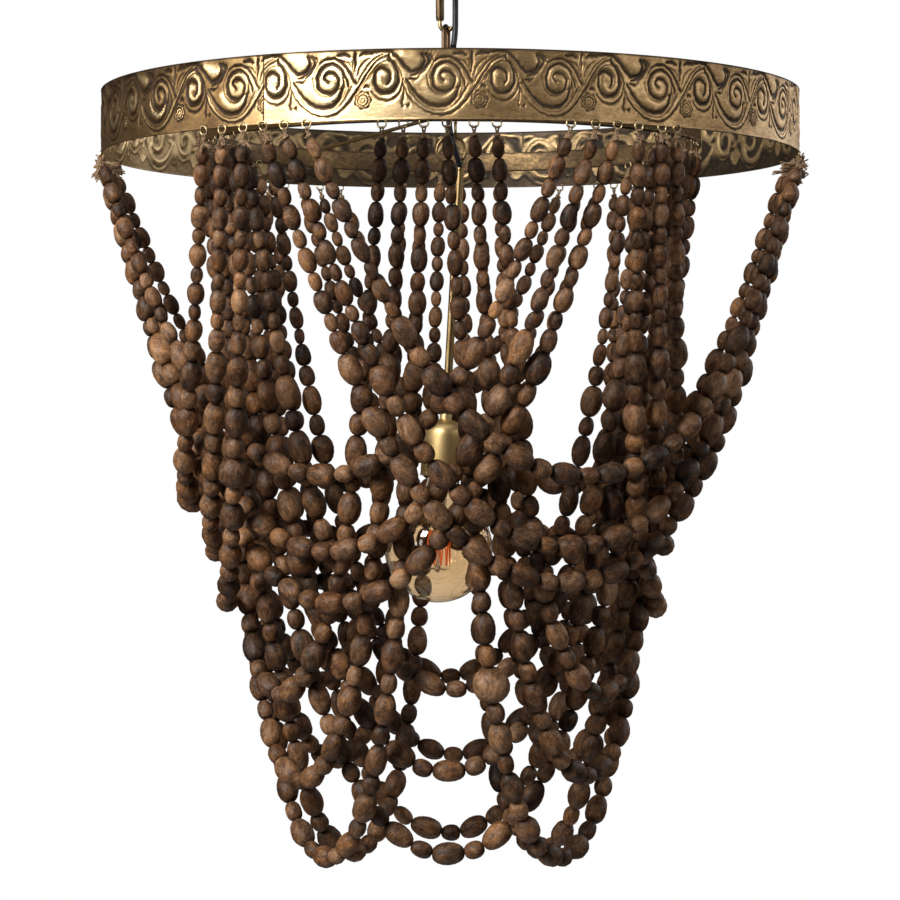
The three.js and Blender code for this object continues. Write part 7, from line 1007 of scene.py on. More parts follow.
def tile_maps():
    """Height in mm over the field, and how deep in a groove each spot is (0..1), on a fine grid."""
    xs = (np.arange(int(round(TILE / CELL))) + 0.5) * CELL
    ys = np.arange(int(round((BOTTOM - TOP) / CELL)) + 1) * CELL + TOP
    x, y = np.meshgrid(xs, ys, indexing="ij")
    # nothing is quite straight in hand work
    wx = x + 0.22 * np.sin(y * 0.9 + 1.3 * np.sin(x * 2 * math.pi * 3 / TILE)) + 0.18 * np.sin(x * 2 * math.pi * 11 / TILE + y * 0.35)
    wy = y + 0.20 * np.sin(x * 2 * math.pi * 13 / TILE + y * 0.5)
    h = np.zeros(x.shape)
    for half, high, pts in SWELLS:
        d, t, _ = near(x, y, ease(pts))
        h = np.maximum(h, high * (0.5 + 0.5 * np.cos(math.pi * np.clip(d / half, 0, 1))))
    deep = np.zeros(x.shape)
    sag = np.zeros(x.shape)
    for (w0, w1, w2), depth, pts in GROOVES:
        d, t, side = near(wx, wy, ease(pts))
        w = np.where(t < 0.5, w0 + (w1 - w0) * t * 2, w1 + (w2 - w1) * (t * 2 - 1))
        core = np.exp(-(d / w) ** 2 * 0.9) ** 1.2
        deep = np.maximum(deep, depth * core)
        sag = np.maximum(sag, depth * np.where(w > 0.55, 0.42, 0.2) * np.exp(-(d / (2.6 * w)) ** 2))
    # the ragged edge of the hollow
    rag = np.exp(-(((x - 49.5) / 4.5) ** 2 + ((y - 13.5) / 6.5) ** 2)) * (0.5 + 0.5 * np.sin(x * 2.1 + 1.2 * y)) * 0.55
    deep = np.maximum(deep, rag * (x > 46.5 - (y - 13) * 0.2))
    # rosette: a snail of a ring in a ring of petals
    rx, ry = (x - 87.9 + TILE / 2) % TILE - TILE / 2, y - 40.6
    r, a = np.hypot(rx, ry), np.arctan2(ry, rx)
    snail = np.exp(-(((r - 2.1 - 0.22 * (a + math.pi)) % 1.9 - 0.95) / 0.42) ** 2) * (r < 3.9)
    rim = np.exp(-((r - 4.1) / 0.5) ** 2)
    petal = np.exp(-((r - 6.1 - 0.55 * np.cos(7 * a)) / 0.5) ** 2)
    notch = np.exp(-(np.sin(3.5 * a) / 0.22) ** 2) * step(4.0, 4.8, r) * step(6.6, 6.0, r) * 0.6
    deep = np.maximum(deep, np.maximum(np.maximum(0.75 * rim, 0.6 * snail), np.maximum(0.75 * petal, notch)))
    h = np.maximum(h, 0.55 * step(6.4, 5.4, r))
    h = h - 1.0 * deep - sag
    edge = np.minimum(y - TOP, BOTTOM - y)
    h = h * step(0.3, 1.6, edge) + 0.30 * np.exp(-((edge - 0.5) / 0.6) ** 2)
    return h, deep * step(0.3, 1.6, edge)


TILE_H, TILE_DEEP = tile_maps()


def sample(grid, x, y):
    """A tile map read at x (repeating) and y."""
    fx = (x / CELL - 0.5) % grid.shape[0]
    fy = np.clip((y - TOP) / CELL, 0, grid.shape[1] - 1.001)
    i, j = np.floor(fx).astype(int), np.floor(fy).astype(int)
    u, v = fx - i, fy - j
    i0, i1 = i % grid.shape[0], (i + 1) % grid.shape[0]
    return (grid[i0, j] * (1 - u) + grid[i1, j] * u) * (1 - v) + (grid[i0, j + 1] * (1 - u) + grid[i1, j + 1] * u) * v


def blurred(a, kx, ky):
    """Box blur of a grid that closes on itself along its first axis."""
    for _ in range(2):
        c = np.cumsum(np.vstack([a[-kx:], a, a[:kx]]), axis=0)
        a = (c[2 * kx:] - np.vstack([np.zeros((1, a.shape[1])), c])[:a.shape[0]]) / (2 * kx + 1)
        c = np.cumsum(np.hstack([np.repeat(a[:, :1], ky, 1), a, np.repeat(a[:, -1:], ky, 1)]), axis=1)
        a = (c[:, 2 * ky:] - c[:, :-2 * ky]) / (2 * ky)
    return a


SEAM = math.radians(-28.45)
FRONT = math.radians(76.0)
# where the eye of every first scroll falls round the hoop, in degrees from the front, and how many repeats on
EYES_AT = np.array([-60.0, -26.68, -9.44, 7.46, 23.6, 40.95, 56.8, 300.9, 317.87, 334.8])
REPEAT = np.array([-1.93, 0, 1, 2, 3, 4, 5, 20, 21, 22.0])


def band_columns():
    """Angles from the front (-Y) toward +X, closer together where the relief faces the front."""
    fine, coarse = 0.52 / 305, 0.84 / 305
    a = np.arange(-FRONT, FRONT, fine)
    b = np.arange(FRONT, 2 * math.pi - FRONT, coarse)
    return a, b


def band_section(angles, rows, z):
    """Height of the relief and depth in its grooves at each angle and level."""
    turn = np.degrees(np.where(angles < SEAM, angles + 2 * math.pi, angles))
    x = 15.0 + TILE * np.interp(turn, EYES_AT, REPEAT)
    y = TOP + (-121.0 - z) / 55.0 * (BOTTOM - TOP)
    X, Y = np.meshgrid(x, y, indexing="ij")
    h, deep = sample(TILE_H, X, Y), sample(TILE_DEEP, X, Y)
    # the joint of the strip: a lapped end with its edge showing
    gap = (angles - SEAM) * 305
    lap = 0.4 * step(-0.4, 0.4, gap) * step(9, 3, gap) - 0.5 * np.exp(-((gap + 0.7) / 0.5) ** 2)
    deep = np.maximum(deep, 0.9 * np.exp(-((gap + 0.5) / 0.45) ** 2)[:, None])
    return h + lap[:, None], deep, Y


def hoop_wobble(a, z):
    """The hoop is hand made: a little out of round."""
    return 0.35 * np.sin(2 * a + 0.6) + 0.22 * np.sin(5 * a + 1.9) + 0.12 * np.sin(11 * a) * np.cos(z * 0.05)


def make_band():
    z_out = -175.7 + 54.4 * np.linspace(0, 1, 72)
    z_in = -121.6 - 53.8 * np.linspace(0, 1, 44)
    fa, ba = band_columns()
    ang = np.concatenate([fa, ba])
    h, deep, Y = band_section(ang, len(z_out), z_out)
    gap_fine, gap_wide = h - blurred(h, 3, 2), h - blurred(h, 10, 7)
    n, rows = len(ang), len(z_out)
    edge = np.minimum(Y - TOP, BOTTOM - Y)
    # grooves darker with the old paint left in them; crests lighter and broad hollows darker from the blurred height:
    # painted highlight and painted shade
    tone = 0.60 - 0.60 * np.clip(deep, 0, 1) ** 0.85 + 0.30 * np.clip(gap_fine, 0, 0.5) + 0.10 * np.clip(gap_wide, -0.6, 0.6)
    tone -= 0.40 * step(0.9, 0.2, edge) + 0.34 * step(1.7, 0.9, Y - TOP)
    wob = hoop_wobble(ang[:, None], z_out[None])
    r_out = 304.35 + 0.85 * h + wob * 0.5
    # inner face: the same relief pressed through, softer and reversed
    yi = TOP + (-121.0 - z_in) / 55.0 * (BOTTOM - TOP)
    soft, groove, wide = blurred(h, 1, 1), blurred(deep, 1, 1), blurred(deep, 3, 2)
    hi = np.stack([np.interp(yi, Y[0][::-1], row[::-1]) for row in soft])
    gi = np.stack([np.interp(yi, Y[0][::-1], row[::-1]) for row in groove])
    wi = np.stack([np.interp(yi, Y[0][::-1], row[::-1]) for row in wide])
    r_in = 303.42 + 0.80 * hi + hoop_wobble(ang[:, None], z_in[None]) * 0.5
    # a groove outside is a ridge here: painted lighter along its top as a highlight, with painted shade down both its
    # sides
    ridge, rim = step(0.10, 0.30, wi), np.exp(-((wi - 0.12) / 0.06) ** 2)
    tone_in = 0.30 + 0.30 * ridge - 0.24 * rim + 0.12 * np.clip(gi, 0, 0.8) - 0.10 * np.clip(hi, 0, 0.6)
    top = [(303.9, -121.15), (303.55, -121.0), (303.2, -121.15)]
    bot = [(303.2, -175.85), (303.55, -176.0), (303.9, -175.85)]

    def edge_rows(pts):
        w = hoop_wobble(ang, -150.0) * 0.5
        return np.stack([p[0] + w for p in pts], 1), np.tile([p[1] for p in pts], (n, 1))

    rt, zt = edge_rows(top)
    rb, zb = edge_rows(bot)
    R = np.hstack([r_out, rt, r_in, rb])
    Z = np.hstack([np.tile(z_out, (n, 1)), zt, np.tile(z_in, (n, 1)), zb])
    A = np.tile(ang[:, None], (1, R.shape[1]))
    # the stretch left of the middle, and the back at half strength, get paler gold colours, more metal and a smoother
    # finish: a painted highlight where the lamps reflect; the rest keeps the matt colours
    deg = (np.degrees(ang) + 180) % 360 - 180
    painted_sheen = np.tile((step(-130, -100, deg) * step(6, -14, deg) + 0.55 * step(130, 150, np.abs(deg)))[:, None], (1, R.shape[1]))
    # painted shade: the left stretch a little darker
    painted_left_shade = 0.06 * step(-28.2, -28.6, deg) * step(-100, -80, deg) + 0.03 * step(-46, -58, deg) * step(-100, -80, deg)
    # painted light on the inside face: much lighter on the left, a little darker at the back
    tone_in = tone_in + (0.44 * step(-152, -128, deg) * step(-20, -50, deg) - 0.06 * step(105, 135, np.abs(deg)))[:, None]
    # on the right stretch the inside flats are painted darker and the ridges lighter: painted shade and painted
    # highlight
    tone_in = tone_in + (0.14 * ridge - 0.16 * (1 - ridge)) * (step(35, 55, deg) * step(150, 130, deg))[:, None]
    # on the left the flats are painted darker and the crests lighter, and the upper part of the far left darker still:
    # painted shade and painted highlight
    crest = np.clip(h, 0, 0.62) / 0.62
    left = (step(-28.0, -40.0, deg) * step(-104, -92, deg))[:, None]
    upper = step(0.62, 0.18, (Y - TOP) / (BOTTOM - TOP)) * step(-44, -56, deg)[:, None]
    tone = tone + left * (0.55 * crest ** 1.4 - 0.28 - 0.14 * upper)
    tones = np.hstack([tone - painted_left_shade[:, None], np.full((n, 3), 0.10), tone_in, np.full((n, 3), 0.10)])
    rel = np.hstack([np.clip(h, 0, 0.9) / 0.9, np.zeros((n, 3)), np.zeros((n, len(z_in))), np.zeros((n, 3))])
    face = np.hstack([np.zeros((n, rows)), np.zeros((n, 3)), np.ones((n, len(z_in))), np.zeros((n, 3))])
    P = np.stack([R * np.sin(A), -R * np.cos(A), Z], 2)
    strip = np.stack([A * 305 + np.where(face > 0, 2500, 0), Z, R], 2)
    # four pieces, so that none is too heavy; each is closed with its own ends
    cuts = [0, int(np.searchsorted(fa, 0.0)), len(fa), len(fa) + len(ba) // 2, n]
    m = P.shape[1]
    out = []
    for k, (name, i0, i1) in enumerate(zip(("front_left", "front_right", "back_right", "back_left"), cuts[:-1], cuts[1:])):
        idx = np.arange(i0, i1 + 1) % n
        c = len(idx)
        V = P[idx].reshape(-1, 3)
        i, j = np.meshgrid(np.arange(c - 1), np.arange(m), indexing="ij")
        jn = (j + 1) % m
        quads = np.stack([i * m + j, (i + 1) * m + j, (i + 1) * m + jn, i * m + jn], 2).reshape(-1, 4)
        faces = quads.tolist() + [list(range(m))[::1], [(c - 1) * m + q for q in range(m)][::-1]]
        st = strip[idx].copy()
        st[..., 0] = np.where(st[..., 0] < st[0, :, 0][None] - 1000, st[..., 0] + 2 * math.pi * 305, st[..., 0])
        ob = make_mesh("band_" + name, V, faces, attrs={"cavity": tones[idx].ravel(), "relief": rel[idx].ravel(),
                       "inside": face[idx].ravel(), "painted_sheen": painted_sheen[idx].ravel(), "strip": st.reshape(-1, 3)}, materials=[M_BAND])
        ob.data.set_sharp_from_angle(angle=math.radians(75))
        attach(ob, "frame")
        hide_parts("outer_band")
        out.append(ob)
    return out


make_band()


# ------------------------------------------------------------------ the inner hoop
def make_inner_hoop():
    sec = [(219.6, -167.3), (220.0, -166.9), (219.75, -166.2), (219.62, -165.0), (219.7, -159.0), (219.62, -153.0), (219.75, -151.8), (220.0, -151.1),
           (219.6, -150.3), (219.2, -150.0), (218.8, -150.4), (218.75, -151.4), (218.5, -153.0), (218.45, -159.0), (218.5, -165.0), (218.75, -166.6), (218.8, -167.6), (219.2, -168.0)]
    n, m = 540, len(sec)
    a = np.arange(n) / n * 2 * math.pi
    R = np.array([s[0] for s in sec])[None] + (0.32 * np.sin(3 * a + 0.4) + 0.14 * np.sin(9 * a + 2))[:, None]
    Z = np.tile([s[1] for s in sec], (n, 1))
    # light hammering
    R = R + 0.07 * np.sin(a[:, None] * 61 + Z * 0.9) * np.cos(a[:, None] * 37 - Z * 0.6)
    A = np.tile(a[:, None], (1, m))
    P = np.stack([R * np.sin(A), -R * np.cos(A), Z], 2)
    i, j = np.meshgrid(np.arange(n), np.arange(m), indexing="ij")
    I, J = (i + 1) % n, (j + 1) % m
    F = np.stack([i * m + j, I * m + j, I * m + J, i * m + J], 2).reshape(-1, 4)
    edge = np.minimum(-150.0 - Z, Z + 168.0)
    inner = np.hstack([np.zeros((n, 9)), np.ones((n, 9))])
    # the inner face a little darker and partly on the darker inside colours: painted shade
    tone = 0.43 - 0.30 * step(1.8, 0.6, edge) - 0.06 * inner + 0.06 * np.sin(A * 7)
    strip = np.stack([A * 220 + 5000 + inner * 1700, Z, R], 2)
    ob = make_mesh("inner_hoop", P.reshape(-1, 3), F.tolist(), sharp=80, attrs={"cavity": tone.ravel(), "relief": np.zeros(n * m), "inside": inner.ravel() * 0.4, "strip": strip.reshape(-1, 3)},
                   materials=[M_BAND])
    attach(ob, "frame")
    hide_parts("inner_ring")


make_inner_hoop()


# ------------------------------------------------------------------ eyes, knots and frayed ends
def eye_wires(name, radius, bottom, angles):
    """A split wire ring through the hoop's lower edge for each strand end. It leans a little, at random."""
    parts = []
    for g, deg in enumerate(angles):
        a = math.radians(deg)
        wob = rng.normal(0, 0.12)
        n = 22
        open_at = rng.uniform(0, 6.28)
        t = open_at + np.linspace(0.10, 2 * math.pi - 0.10, n)
        R = 3.65
        # in the tangent plane, shifted a little radially along its turn so that the ends pass each other
        off = np.linspace(-0.35, 0.35, n)
        d = radius - 0.55
        local = np.stack([R * np.cos(t), off, R * np.sin(t)], 1)
        rot = np.array(Euler((rng.normal(0, 0.10), wob, 0)).to_matrix())
        local = local @ rot.T
        tang = np.array([math.cos(a), math.sin(a), 0])
        outw = np.array([math.sin(a), -math.cos(a), 0])
        c = outw * d + np.array([0, 0, bottom - 1.0])
        P = c + local[:, :1] * tang + local[:, 1:2] * outw + local[:, 2:] * np.array([0, 0, 1.0])
        parts.append(tube(P, 0.72, 8, round_ends=True))
    V, F = joined(parts)
    ob = make_mesh(name, V, F, materials=[M_WIRE])
    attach(ob, "frame")
    return ob


OUTER_DEG = sorted(v for g in OUTER_EYES.values() for v in g)
INNER_DEG = sorted(v for g in INNER_EYES.values() for v in g)
eyes_o = eye_wires("outer_eyes", 305.0, -176.0, OUTER_DEG)
eyes_i = eye_wires("inner_eyes", 220.0, -168.0, INNER_DEG)
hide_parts("outer_band")
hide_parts("inner_ring")


def hairs(base, away, count, reach, spread=1.0, droop=0.4, thick=0.36):
    """Loose fibres from one point, curling out."""
    parts = []
    for _ in range(count):
        d = away + rng.normal(0, 0.55 * spread, 3)
        d /= np.linalg.norm(d)
        L = reach * rng.uniform(0.45, 1.0)
        bend = rng.normal(0, 0.5, 3)
        n = 6
        P = []
        for k in range(n):
            t = k / (n - 1)
            P.append(base + d * L * t + bend * L * 0.35 * t * t + np.array([0, 0, -droop * L * t * t]))
        parts.append(tube(np.array(P), np.linspace(thick, thick * 0.45, n), 5, round_ends=False))
    return parts


def yarns(base, out, length, count, thick, droop=0.2):
    """A cut end of the cord: its yarns side by side, opening a little toward the end."""
    out = out / np.linalg.norm(out)
    u = np.cross(out, [0.2, 0.3, 0.93])
    u /= np.linalg.norm(u)
    w = np.cross(out, u)
    bend = rng.normal(0, 0.22, 3)
    turn = rng.uniform(0, 6.28)
    parts = []
    for k in range(count):
        a = turn + k / count * 2 * math.pi
        L = length * rng.uniform(0.82, 1.0)
        P = []
        for j in range(8):
            t = j / 7
            off = math.cos(a + 1.6 * t) * u + math.sin(a + 1.6 * t) * w
            P.append(base + out * L * t + bend * L * 0.5 * t * t + off * thick * (0.9 + 1.0 * t ** 3) + np.array([0, 0, -droop * L * t * t]))
        parts.append(tube(np.array(P), np.linspace(thick, thick * 0.8, 8), 6))
    return parts


def tangle(centre, size, count, thick):
    """Loops of loose yarn pulled tight round the knot."""
    parts = []
    for _ in range(count):
        P = centre + rng.normal(0, 1.0, (5, 3)) * size
        parts.append(tube(smooth_line(P, 0.8), thick * rng.uniform(0.75, 1.1), 6))
    return parts


def knot(name, hoop_point, first, second, along, long_fan, shaggy):
    """A jute loop through the eye, a small hard knot under it, and its frayed ends."""
    parts = []
    down = first - hoop_point
    down /= np.linalg.norm(down)
    side = np.cross(down, along)
    side /= max(np.linalg.norm(side), 1e-9)
    # two legs from the eye's wire to the knot
    top = hoop_point + np.array([0, 0, -2.6])
    for s in (-1, 1):
        P = smooth_line([top + side * 0.0 + along * 0.9 * s, top + along * 1.5 * s - down * 0.2 + side * 0.4 * s, (top + first) / 2 + along * 0.9 * s, first], 0.8)
        parts.append(tube(P, 0.7, 7))
    back = smooth_line([top + along * 0.9, top + along * 0.4 + np.array([0, 0, -0.9]) + side * 1.0, top - along * 0.4 + np.array([0, 0, -0.9]) + side * 1.0, top - along * 0.9], 0.5)
    parts.append(tube(back, 0.7, 7))
    # the knot: crossing coils
    ax = second - first
    ax /= max(np.linalg.norm(ax), 1e-9)
    u = np.cross(ax, [0.3, 0.2, 0.9])
    u /= np.linalg.norm(u)
    w = np.cross(ax, u)
    for turn, r0, tilt in ((0, 1.75, 0.45), (1.9, 1.7, -0.5), (3.4, 1.3, 0.7)):
        t = np.linspace(0, 2 * math.pi, 14)[:-1]
        C = first + ax * (0.8 * (turn > 0) + 0.2)
        P = C + r0 * (np.cos(t)[:, None] * u + np.sin(t)[:, None] * w) + np.outer(np.sin(t + turn) * r0 * tilt, ax)
        parts.append(tube(P, 1.0, 7, closed=True))
    base = first + ax * 0.4
    if long_fan:
        # the thick ends at the far left and right stand out to both sides
        inward = np.array([-math.copysign(1.0, first[0]), rng.normal(0, 0.25), rng.uniform(-0.16, 0.0)])
        parts += yarns(base + np.array([0, 0, 2.0]), inward, rng.uniform(11.0, 20.0), 5, 0.80, 0.06)
        outward = np.array([math.copysign(0.42, first[0]), rng.normal(0, 0.3), -0.95])
        parts += yarns(base + np.array([0, 0, 2.5]), outward, rng.uniform(12.0, 15.0), 6, 0.85, 0.05)
        # the loop is wound round several times between the eye and the knot
        mid = 0.5 * (hoop_point + np.array([0, 0, -3.0])) + 0.5 * base
        parts += tangle(mid, np.array([2.3, 2.3, 2.6]), 10, 0.72)
        parts += tangle(base - np.array([0, 0, 2.0]), np.array([2.7, 2.7, 3.2]), 10, 0.66)
        parts += hairs(base, inward, 8, 9, spread=0.7, thick=0.26)
        return parts
    out = side * rng.choice([-1, 1]) + ax * 0.3 + along * rng.normal(0, 0.7) + np.array([0, 0, -0.2])
    parts += yarns(base, out, rng.uniform(4.5, 8.0), 4, 0.50, 0.25)
    parts += tangle(base, 1.35, 3, 0.5)
    parts += hairs(base, out, int(rng.integers(5, 9)), rng.uniform(5, 8), spread=0.8, thick=0.28)
    if shaggy:
        parts += tangle(base + along * rng.normal(0, 1.5), 2.5, 7, 0.5)
        parts += yarns(base, along * rng.choice([-1, 1]) + np.array([0, 0, -0.3]), rng.uniform(6, 10), 4, 0.55, 0.2)
        parts += hairs(base, along, 6, 8, spread=1.2, thick=0.28)
    elif rng.random() < 0.6:
        parts += hairs(base, -out, int(rng.integers(3, 8)), rng.uniform(4, 8), thick=0.28)
    return parts


for ring, hoops in (("outer", "outer_knots"), ("inner", "inner_knots")):
    r0, bottom = (305.0, -176.0) if ring == "outer" else (220.0, -168.0)
    halves = {"left": [], "right": []}
    for name, P in STRANDS.items():
        if not name.startswith(ring):
            continue
        seq = STRAND_DATA[name][0]
        for end in (0, -1):
            E, Q, S = (P[0], P[1], P[2]) if end == 0 else (P[-1], P[-2], P[-3])
            a = math.atan2(E[0], -E[1])
            d = r0 - 0.55
            eye = np.array([math.sin(a) * d, -math.cos(a) * d, bottom - 1.0])
            tang = np.array([math.cos(a), math.sin(a), 0.0])
            deg = math.degrees(a)
            fan = ring == "outer" and (-98 < deg < -80 or 80 < deg < 98)
            shaggy = ring == "outer" and (-41 < deg < -27 or 28 < deg < 37)
            halves["left" if a < 0 else "right"] += knot(name, eye, 0.35 * E + 0.65 * Q if np.linalg.norm(E - Q) > 2.5 else Q, S, tang, fan, shaggy)
    for half, parts in halves.items():
        V, F = joined(parts)
        ob = make_mesh(hoops + "_" + half, V, F, materials=[M_JUTE])
        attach(ob, "frame")


# ------------------------------------------------------------------ metalwork, from the ceiling down
def piece(name, part, mat, body, nodes, sharp=None, mats=None, face_mats=None):
    V, F = part
    ob = make_mesh(name, V, F, materials=mats or [mat], sharp=sharp, face_mats=face_mats)
    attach(ob, body)
    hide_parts(*nodes)
    return ob


def knurled(part, axis, r_from, depth, every=2):
    V, F = part
    V = np.array(V)
    d = V[:, :2] - np.array(axis)
    r = np.hypot(d[:, 0], d[:, 1])
    a = np.arctan2(d[:, 1], d[:, 0])
    k = np.where((r > r_from) & (np.round(a / (2 * math.pi) * 72).astype(int) % every == 0), depth, 0)
    V[:, :2] -= d / np.maximum(r, 1e-6)[:, None] * k[:, None]
    return V, F


def plate(name, outline, holes, z0, z1, bevel):
    """A flat plate with holes, from a filled curve turned into a mesh."""
    cu = bpy.data.curves.new(name + "_outline", "CURVE")
    cu.dimensions = "2D"
    cu.fill_mode = "BOTH"
    cu.extrude = ((z1 - z0) / 2 - bevel) * MM
    cu.bevel_depth = bevel * MM
    cu.bevel_resolution = 2
    cu.offset = -bevel * MM
    for pts in [outline] + holes:
        sp = cu.splines.new("POLY")
        sp.points.add(len(pts) - 1)
        for k, (x, y) in enumerate(pts):
            sp.points[k].co = (x * MM, y * MM, 0, 1)
        sp.use_cyclic_u = True
    tmp = bpy.data.objects.new(name + "_outline", cu)
    bpy.context.scene.collection.objects.link(tmp)
    me = bpy.data.meshes.new_from_object(tmp.evaluated_get(bpy.context.evaluated_depsgraph_get()))
    bpy.data.objects.remove(tmp)
    me.name = name
    me.transform(Matrix.Translation((0, 0, (z0 + z1) / 2 * MM)))
    ob = bpy.data.objects.new(name, me)
    bpy.context.scene.collection.objects.link(ob)
    return ob


def circle(x, y, r, n=28, back=False):
    pts = [(x + r * math.cos(t), y + r * math.sin(t)) for t in np.arange(n) / n * 2 * math.pi]
    return pts[::-1] if back else pts


# ceiling bracket: a pressed strip with round ends, screw slots and two bores
outline = [(44 - 5 + 5 * math.cos(t), 11 - 5 + 5 * math.sin(t)) for t in np.linspace(0, math.pi / 2, 7)]
outline += [(-44 + 5 - 5 * math.sin(t), 11 - 5 + 5 * math.cos(t)) for t in np.linspace(0, math.pi / 2, 7)]
outline += [(-44 + 5 - 5 * math.cos(t), -11 + 5 - 5 * math.sin(t)) for t in np.linspace(0, math.pi / 2, 7)]
outline += [(44 - 5 + 5 * math.sin(t), -11 + 5 - 5 * math.cos(t)) for t in np.linspace(0, math.pi / 2, 7)]
br = plate("bracket_plate", outline, [circle(36, 0, 2.5, back=True), circle(-36, 0, 2.5, back=True), circle(-9, 0, 3.1, back=True), circle(4.5, -5, 3.4, back=True)], -3, 0, 0.35)
br.data.materials.clear()
br.data.materials.append(M_STEEL)
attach(br, "ceiling")
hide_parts("ceiling_bracket")

# threaded sleeve that carries the hook
stem = [(0, -0.3), (2.7, -0.3), (2.7, -3.3), (3.7, -3.3)]
z = -4.2
while z > -25:
    stem += [(3.7, z), (3.42, z - 0.35), (3.7, z - 0.7)]
    z -= 0.7
stem += [(3.7, -26), (3.7, -52.2), (3.45, -52.5), (3.7, -52.8), (3.7, -53.6), (3.3, -54.1), (3.3, -55), (0, -55)]
piece("hook_sleeve", lathe(stem, 40, 0.2, closed=False, axis=(-9, 0)), M_BRONZE, "ceiling", ["hook_stem"], sharp=50)

hook = [[-9, 0, -54.8], [-9, 0, -56.6]] + [[-3.5 + 5.5 * math.cos(t), 0, -58.5 + 5.5 * math.sin(t)] for t in np.linspace(math.pi, 1.80 * math.pi, 24)]
V1, F1 = tube(np.array(hook), 1.75, 18)
ball = lathe([(0, -2.2), (1.3, -1.8), (2.1, -0.8), (2.1, 0.6), (1.5, 1.4), (0, 1.6)], 20, 0.5, closed=False)
piece("hook_wire", joined([(V1, F1), place(ball, (0.95, 0, -61.7), (0, 0.63, 0))]), M_GOLD, "ceiling", ["ceiling_hook"])

# rose: a spun cup with a turned bead and a rolled rim
cup = [(0, -27.5), (7.5, -27.5), (29, -27.5), (30.2, -27.1), (31.5, -27.5), (33.5, -27.1), (42, -25.3), (50, -20.5), (54.2, -12.3), (54.5, -11.4), (55, -10.6), (55, -2.4), (54.6, -2.0),
       (55.0, -1.5), (55.0, -0.9), (54.4, -0.5), (53.9, -0.8), (53.8, -1.6), (53.8, -10.2), (49.2, -19.3), (41.5, -23.9), (29.8, -26.3), (0, -26.3)]


sides = 128
side_part = lathe([(29, -27.5)] + cup[3:22] + [(29, -26.3)], sides, 0.45, closed=False)
floor_ob = plate("rose_floor", circle(0, 0, 29.2, 128), [circle(-9, 0, 4.1, back=True), circle(4.5, -5, 4.2, back=True)], -27.5, -26.3, 0.1)
rose_side = make_mesh("rose_cup", *side_part, materials=[M_GOLD], sharp=60)
floor_ob.data.materials.clear()
floor_ob.data.materials.append(M_GOLD)
for ob in (rose_side, floor_ob):
    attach(ob, "rose")
    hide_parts("canopy_cup")

n0 = -27.8
nut = lathe([(4.05, n0), (6.6, n0), (7, n0 - 0.6), (7, n0 - 5), (6.4, n0 - 6), (4.05, n0 - 6)], 72, 0.3, axis=(-9, 0))
piece("rose_nut", knurled(nut, (-9, 0), 6.8, 0.25), M_BRONZE, "rose", ["canopy_nut"], sharp=40)
grip = lathe([(2.75, n0 + 6), (3.9, n0 + 6), (3.9, n0 - 0.05), (4.9, n0 - 0.05), (4.9, n0 - 1.6), (4.55, n0 - 2.3), (3.6, n0 - 5), (2.75, n0 - 5)], 36, 0.3, axis=(4.5, -5))
piece("flex_grip", grip, M_BLACK, "rose", ["cord_grip"], sharp=50)

# the long link: bent wire whose ends meet at the middle of the rear leg
LX, LD = -3.75, np.array([math.sin(math.radians(19)), math.cos(math.radians(19))])
P = []
for t in np.linspace(0, math.pi, 17):
    P.append((6 * math.cos(t), -66 + 6 * math.sin(t)))
for t in np.linspace(math.pi, 2 * math.pi, 17):
    P.append((6 * math.cos(t), -92 + 6 * math.sin(t)))
rear = [(6, -82), (6, -79.2)]
path = [[LX + u * LD[0], u * LD[1], zz] for u, zz in [(6, -78.9), (6, -72)] + P + rear]
link_part = tube(np.array(path), 2.0, 18, round_ends=True)
V, F = link_part
V = np.array(V)
piece("link_wire", (V, F), M_BRONZE, "link", ["chain_link"])

# hub: a turned boss with the rod and eye that hang it, and the loop below it
hub = [(0, -141), (3.2, -141), (4.5, -140.9), (5.4, -140.2), (7, -139.8), (7.9, -138.9), (8, -138.2), (7.6, -137.5), (8, -136.9), (8, -132.1), (7.6, -131.5), (8, -130.9), (7.9, -130.1), (7, -129.2), (5.6, -128.8), (5, -128), (0, -128)]
hub_part = lathe(hub, 64, 0.35, closed=False)
rod = lathe([(0, -131), (2.6, -131), (2.6, -127.2), (3.3, -126.8), (3.3, -125.8), (2.6, -125.4), (2.6, -109.5), (3.2, -109.0), (3.2, -107.6), (2.6, -107.0), (2.4, -106.0), (0, -105.6)], 32, 0.3, closed=False, axis=(-3.75, 0))
eye = ring_torus(6.0, 2.0, 48, 18)
eye = place(eye, (0, 0, 0), (math.radians(90), 0, 0))  # hole along Y
ang = math.atan2(0.945, 0.326) - math.pi / 2
eye = place(place(eye, (0, 0, 0), (0, 0, ang)), (-3.75, 0, -99.7))
stub = lathe([(0, -139), (1.6, -139), (2.4, -141.2), (2.4, -142.0), (1.6, -142.6), (1.6, -145.6), (0, -145.9)], 28, 0.25, closed=False, axis=(4.6, 0))
a = np.arange(48) / 48 * 2 * math.pi
loop = tube(np.stack([np.full(48, 4.6), 7.4 * np.cos(a), -152.45 + 7.4 * np.sin(a)], 1), 1.25, 14, closed=True)
piece("hub_and_eyes", joined([hub_part, rod, eye, stub, loop]), M_GOLD, "frame", ["hub"], sharp=50)

# spokes with a turned collar at the boss and a thicker foot on the hoop
for k, deg in enumerate((-148, -28, 92), 1):
    t = math.radians(deg)
    dirn = np.array([math.sin(t), -math.cos(t), 0])

    def at(d):
        return dirn * d + np.array([0, 0, -137.0 - 0.05165 * (d - 8)])

    d = np.concatenate([[7.2, 8.6, 10.4, 11.0, 12.0, 12.6], np.linspace(14, 292, 40), [294, 297, 300, 303.0]])
    r = np.concatenate([[2.0, 2.35, 2.35, 2.0, 2.0, 1.75], np.full(40, 1.75) + 0.03 * np.sin(np.arange(40) * 1.7), [1.75, 1.9, 2.1, 2.1]])
    piece(f"spoke_rod_{k}", tube(np.array([at(q) for q in d]), r, 14, round_ends=False), M_GOLD, "frame", [f"spoke_{k}"])

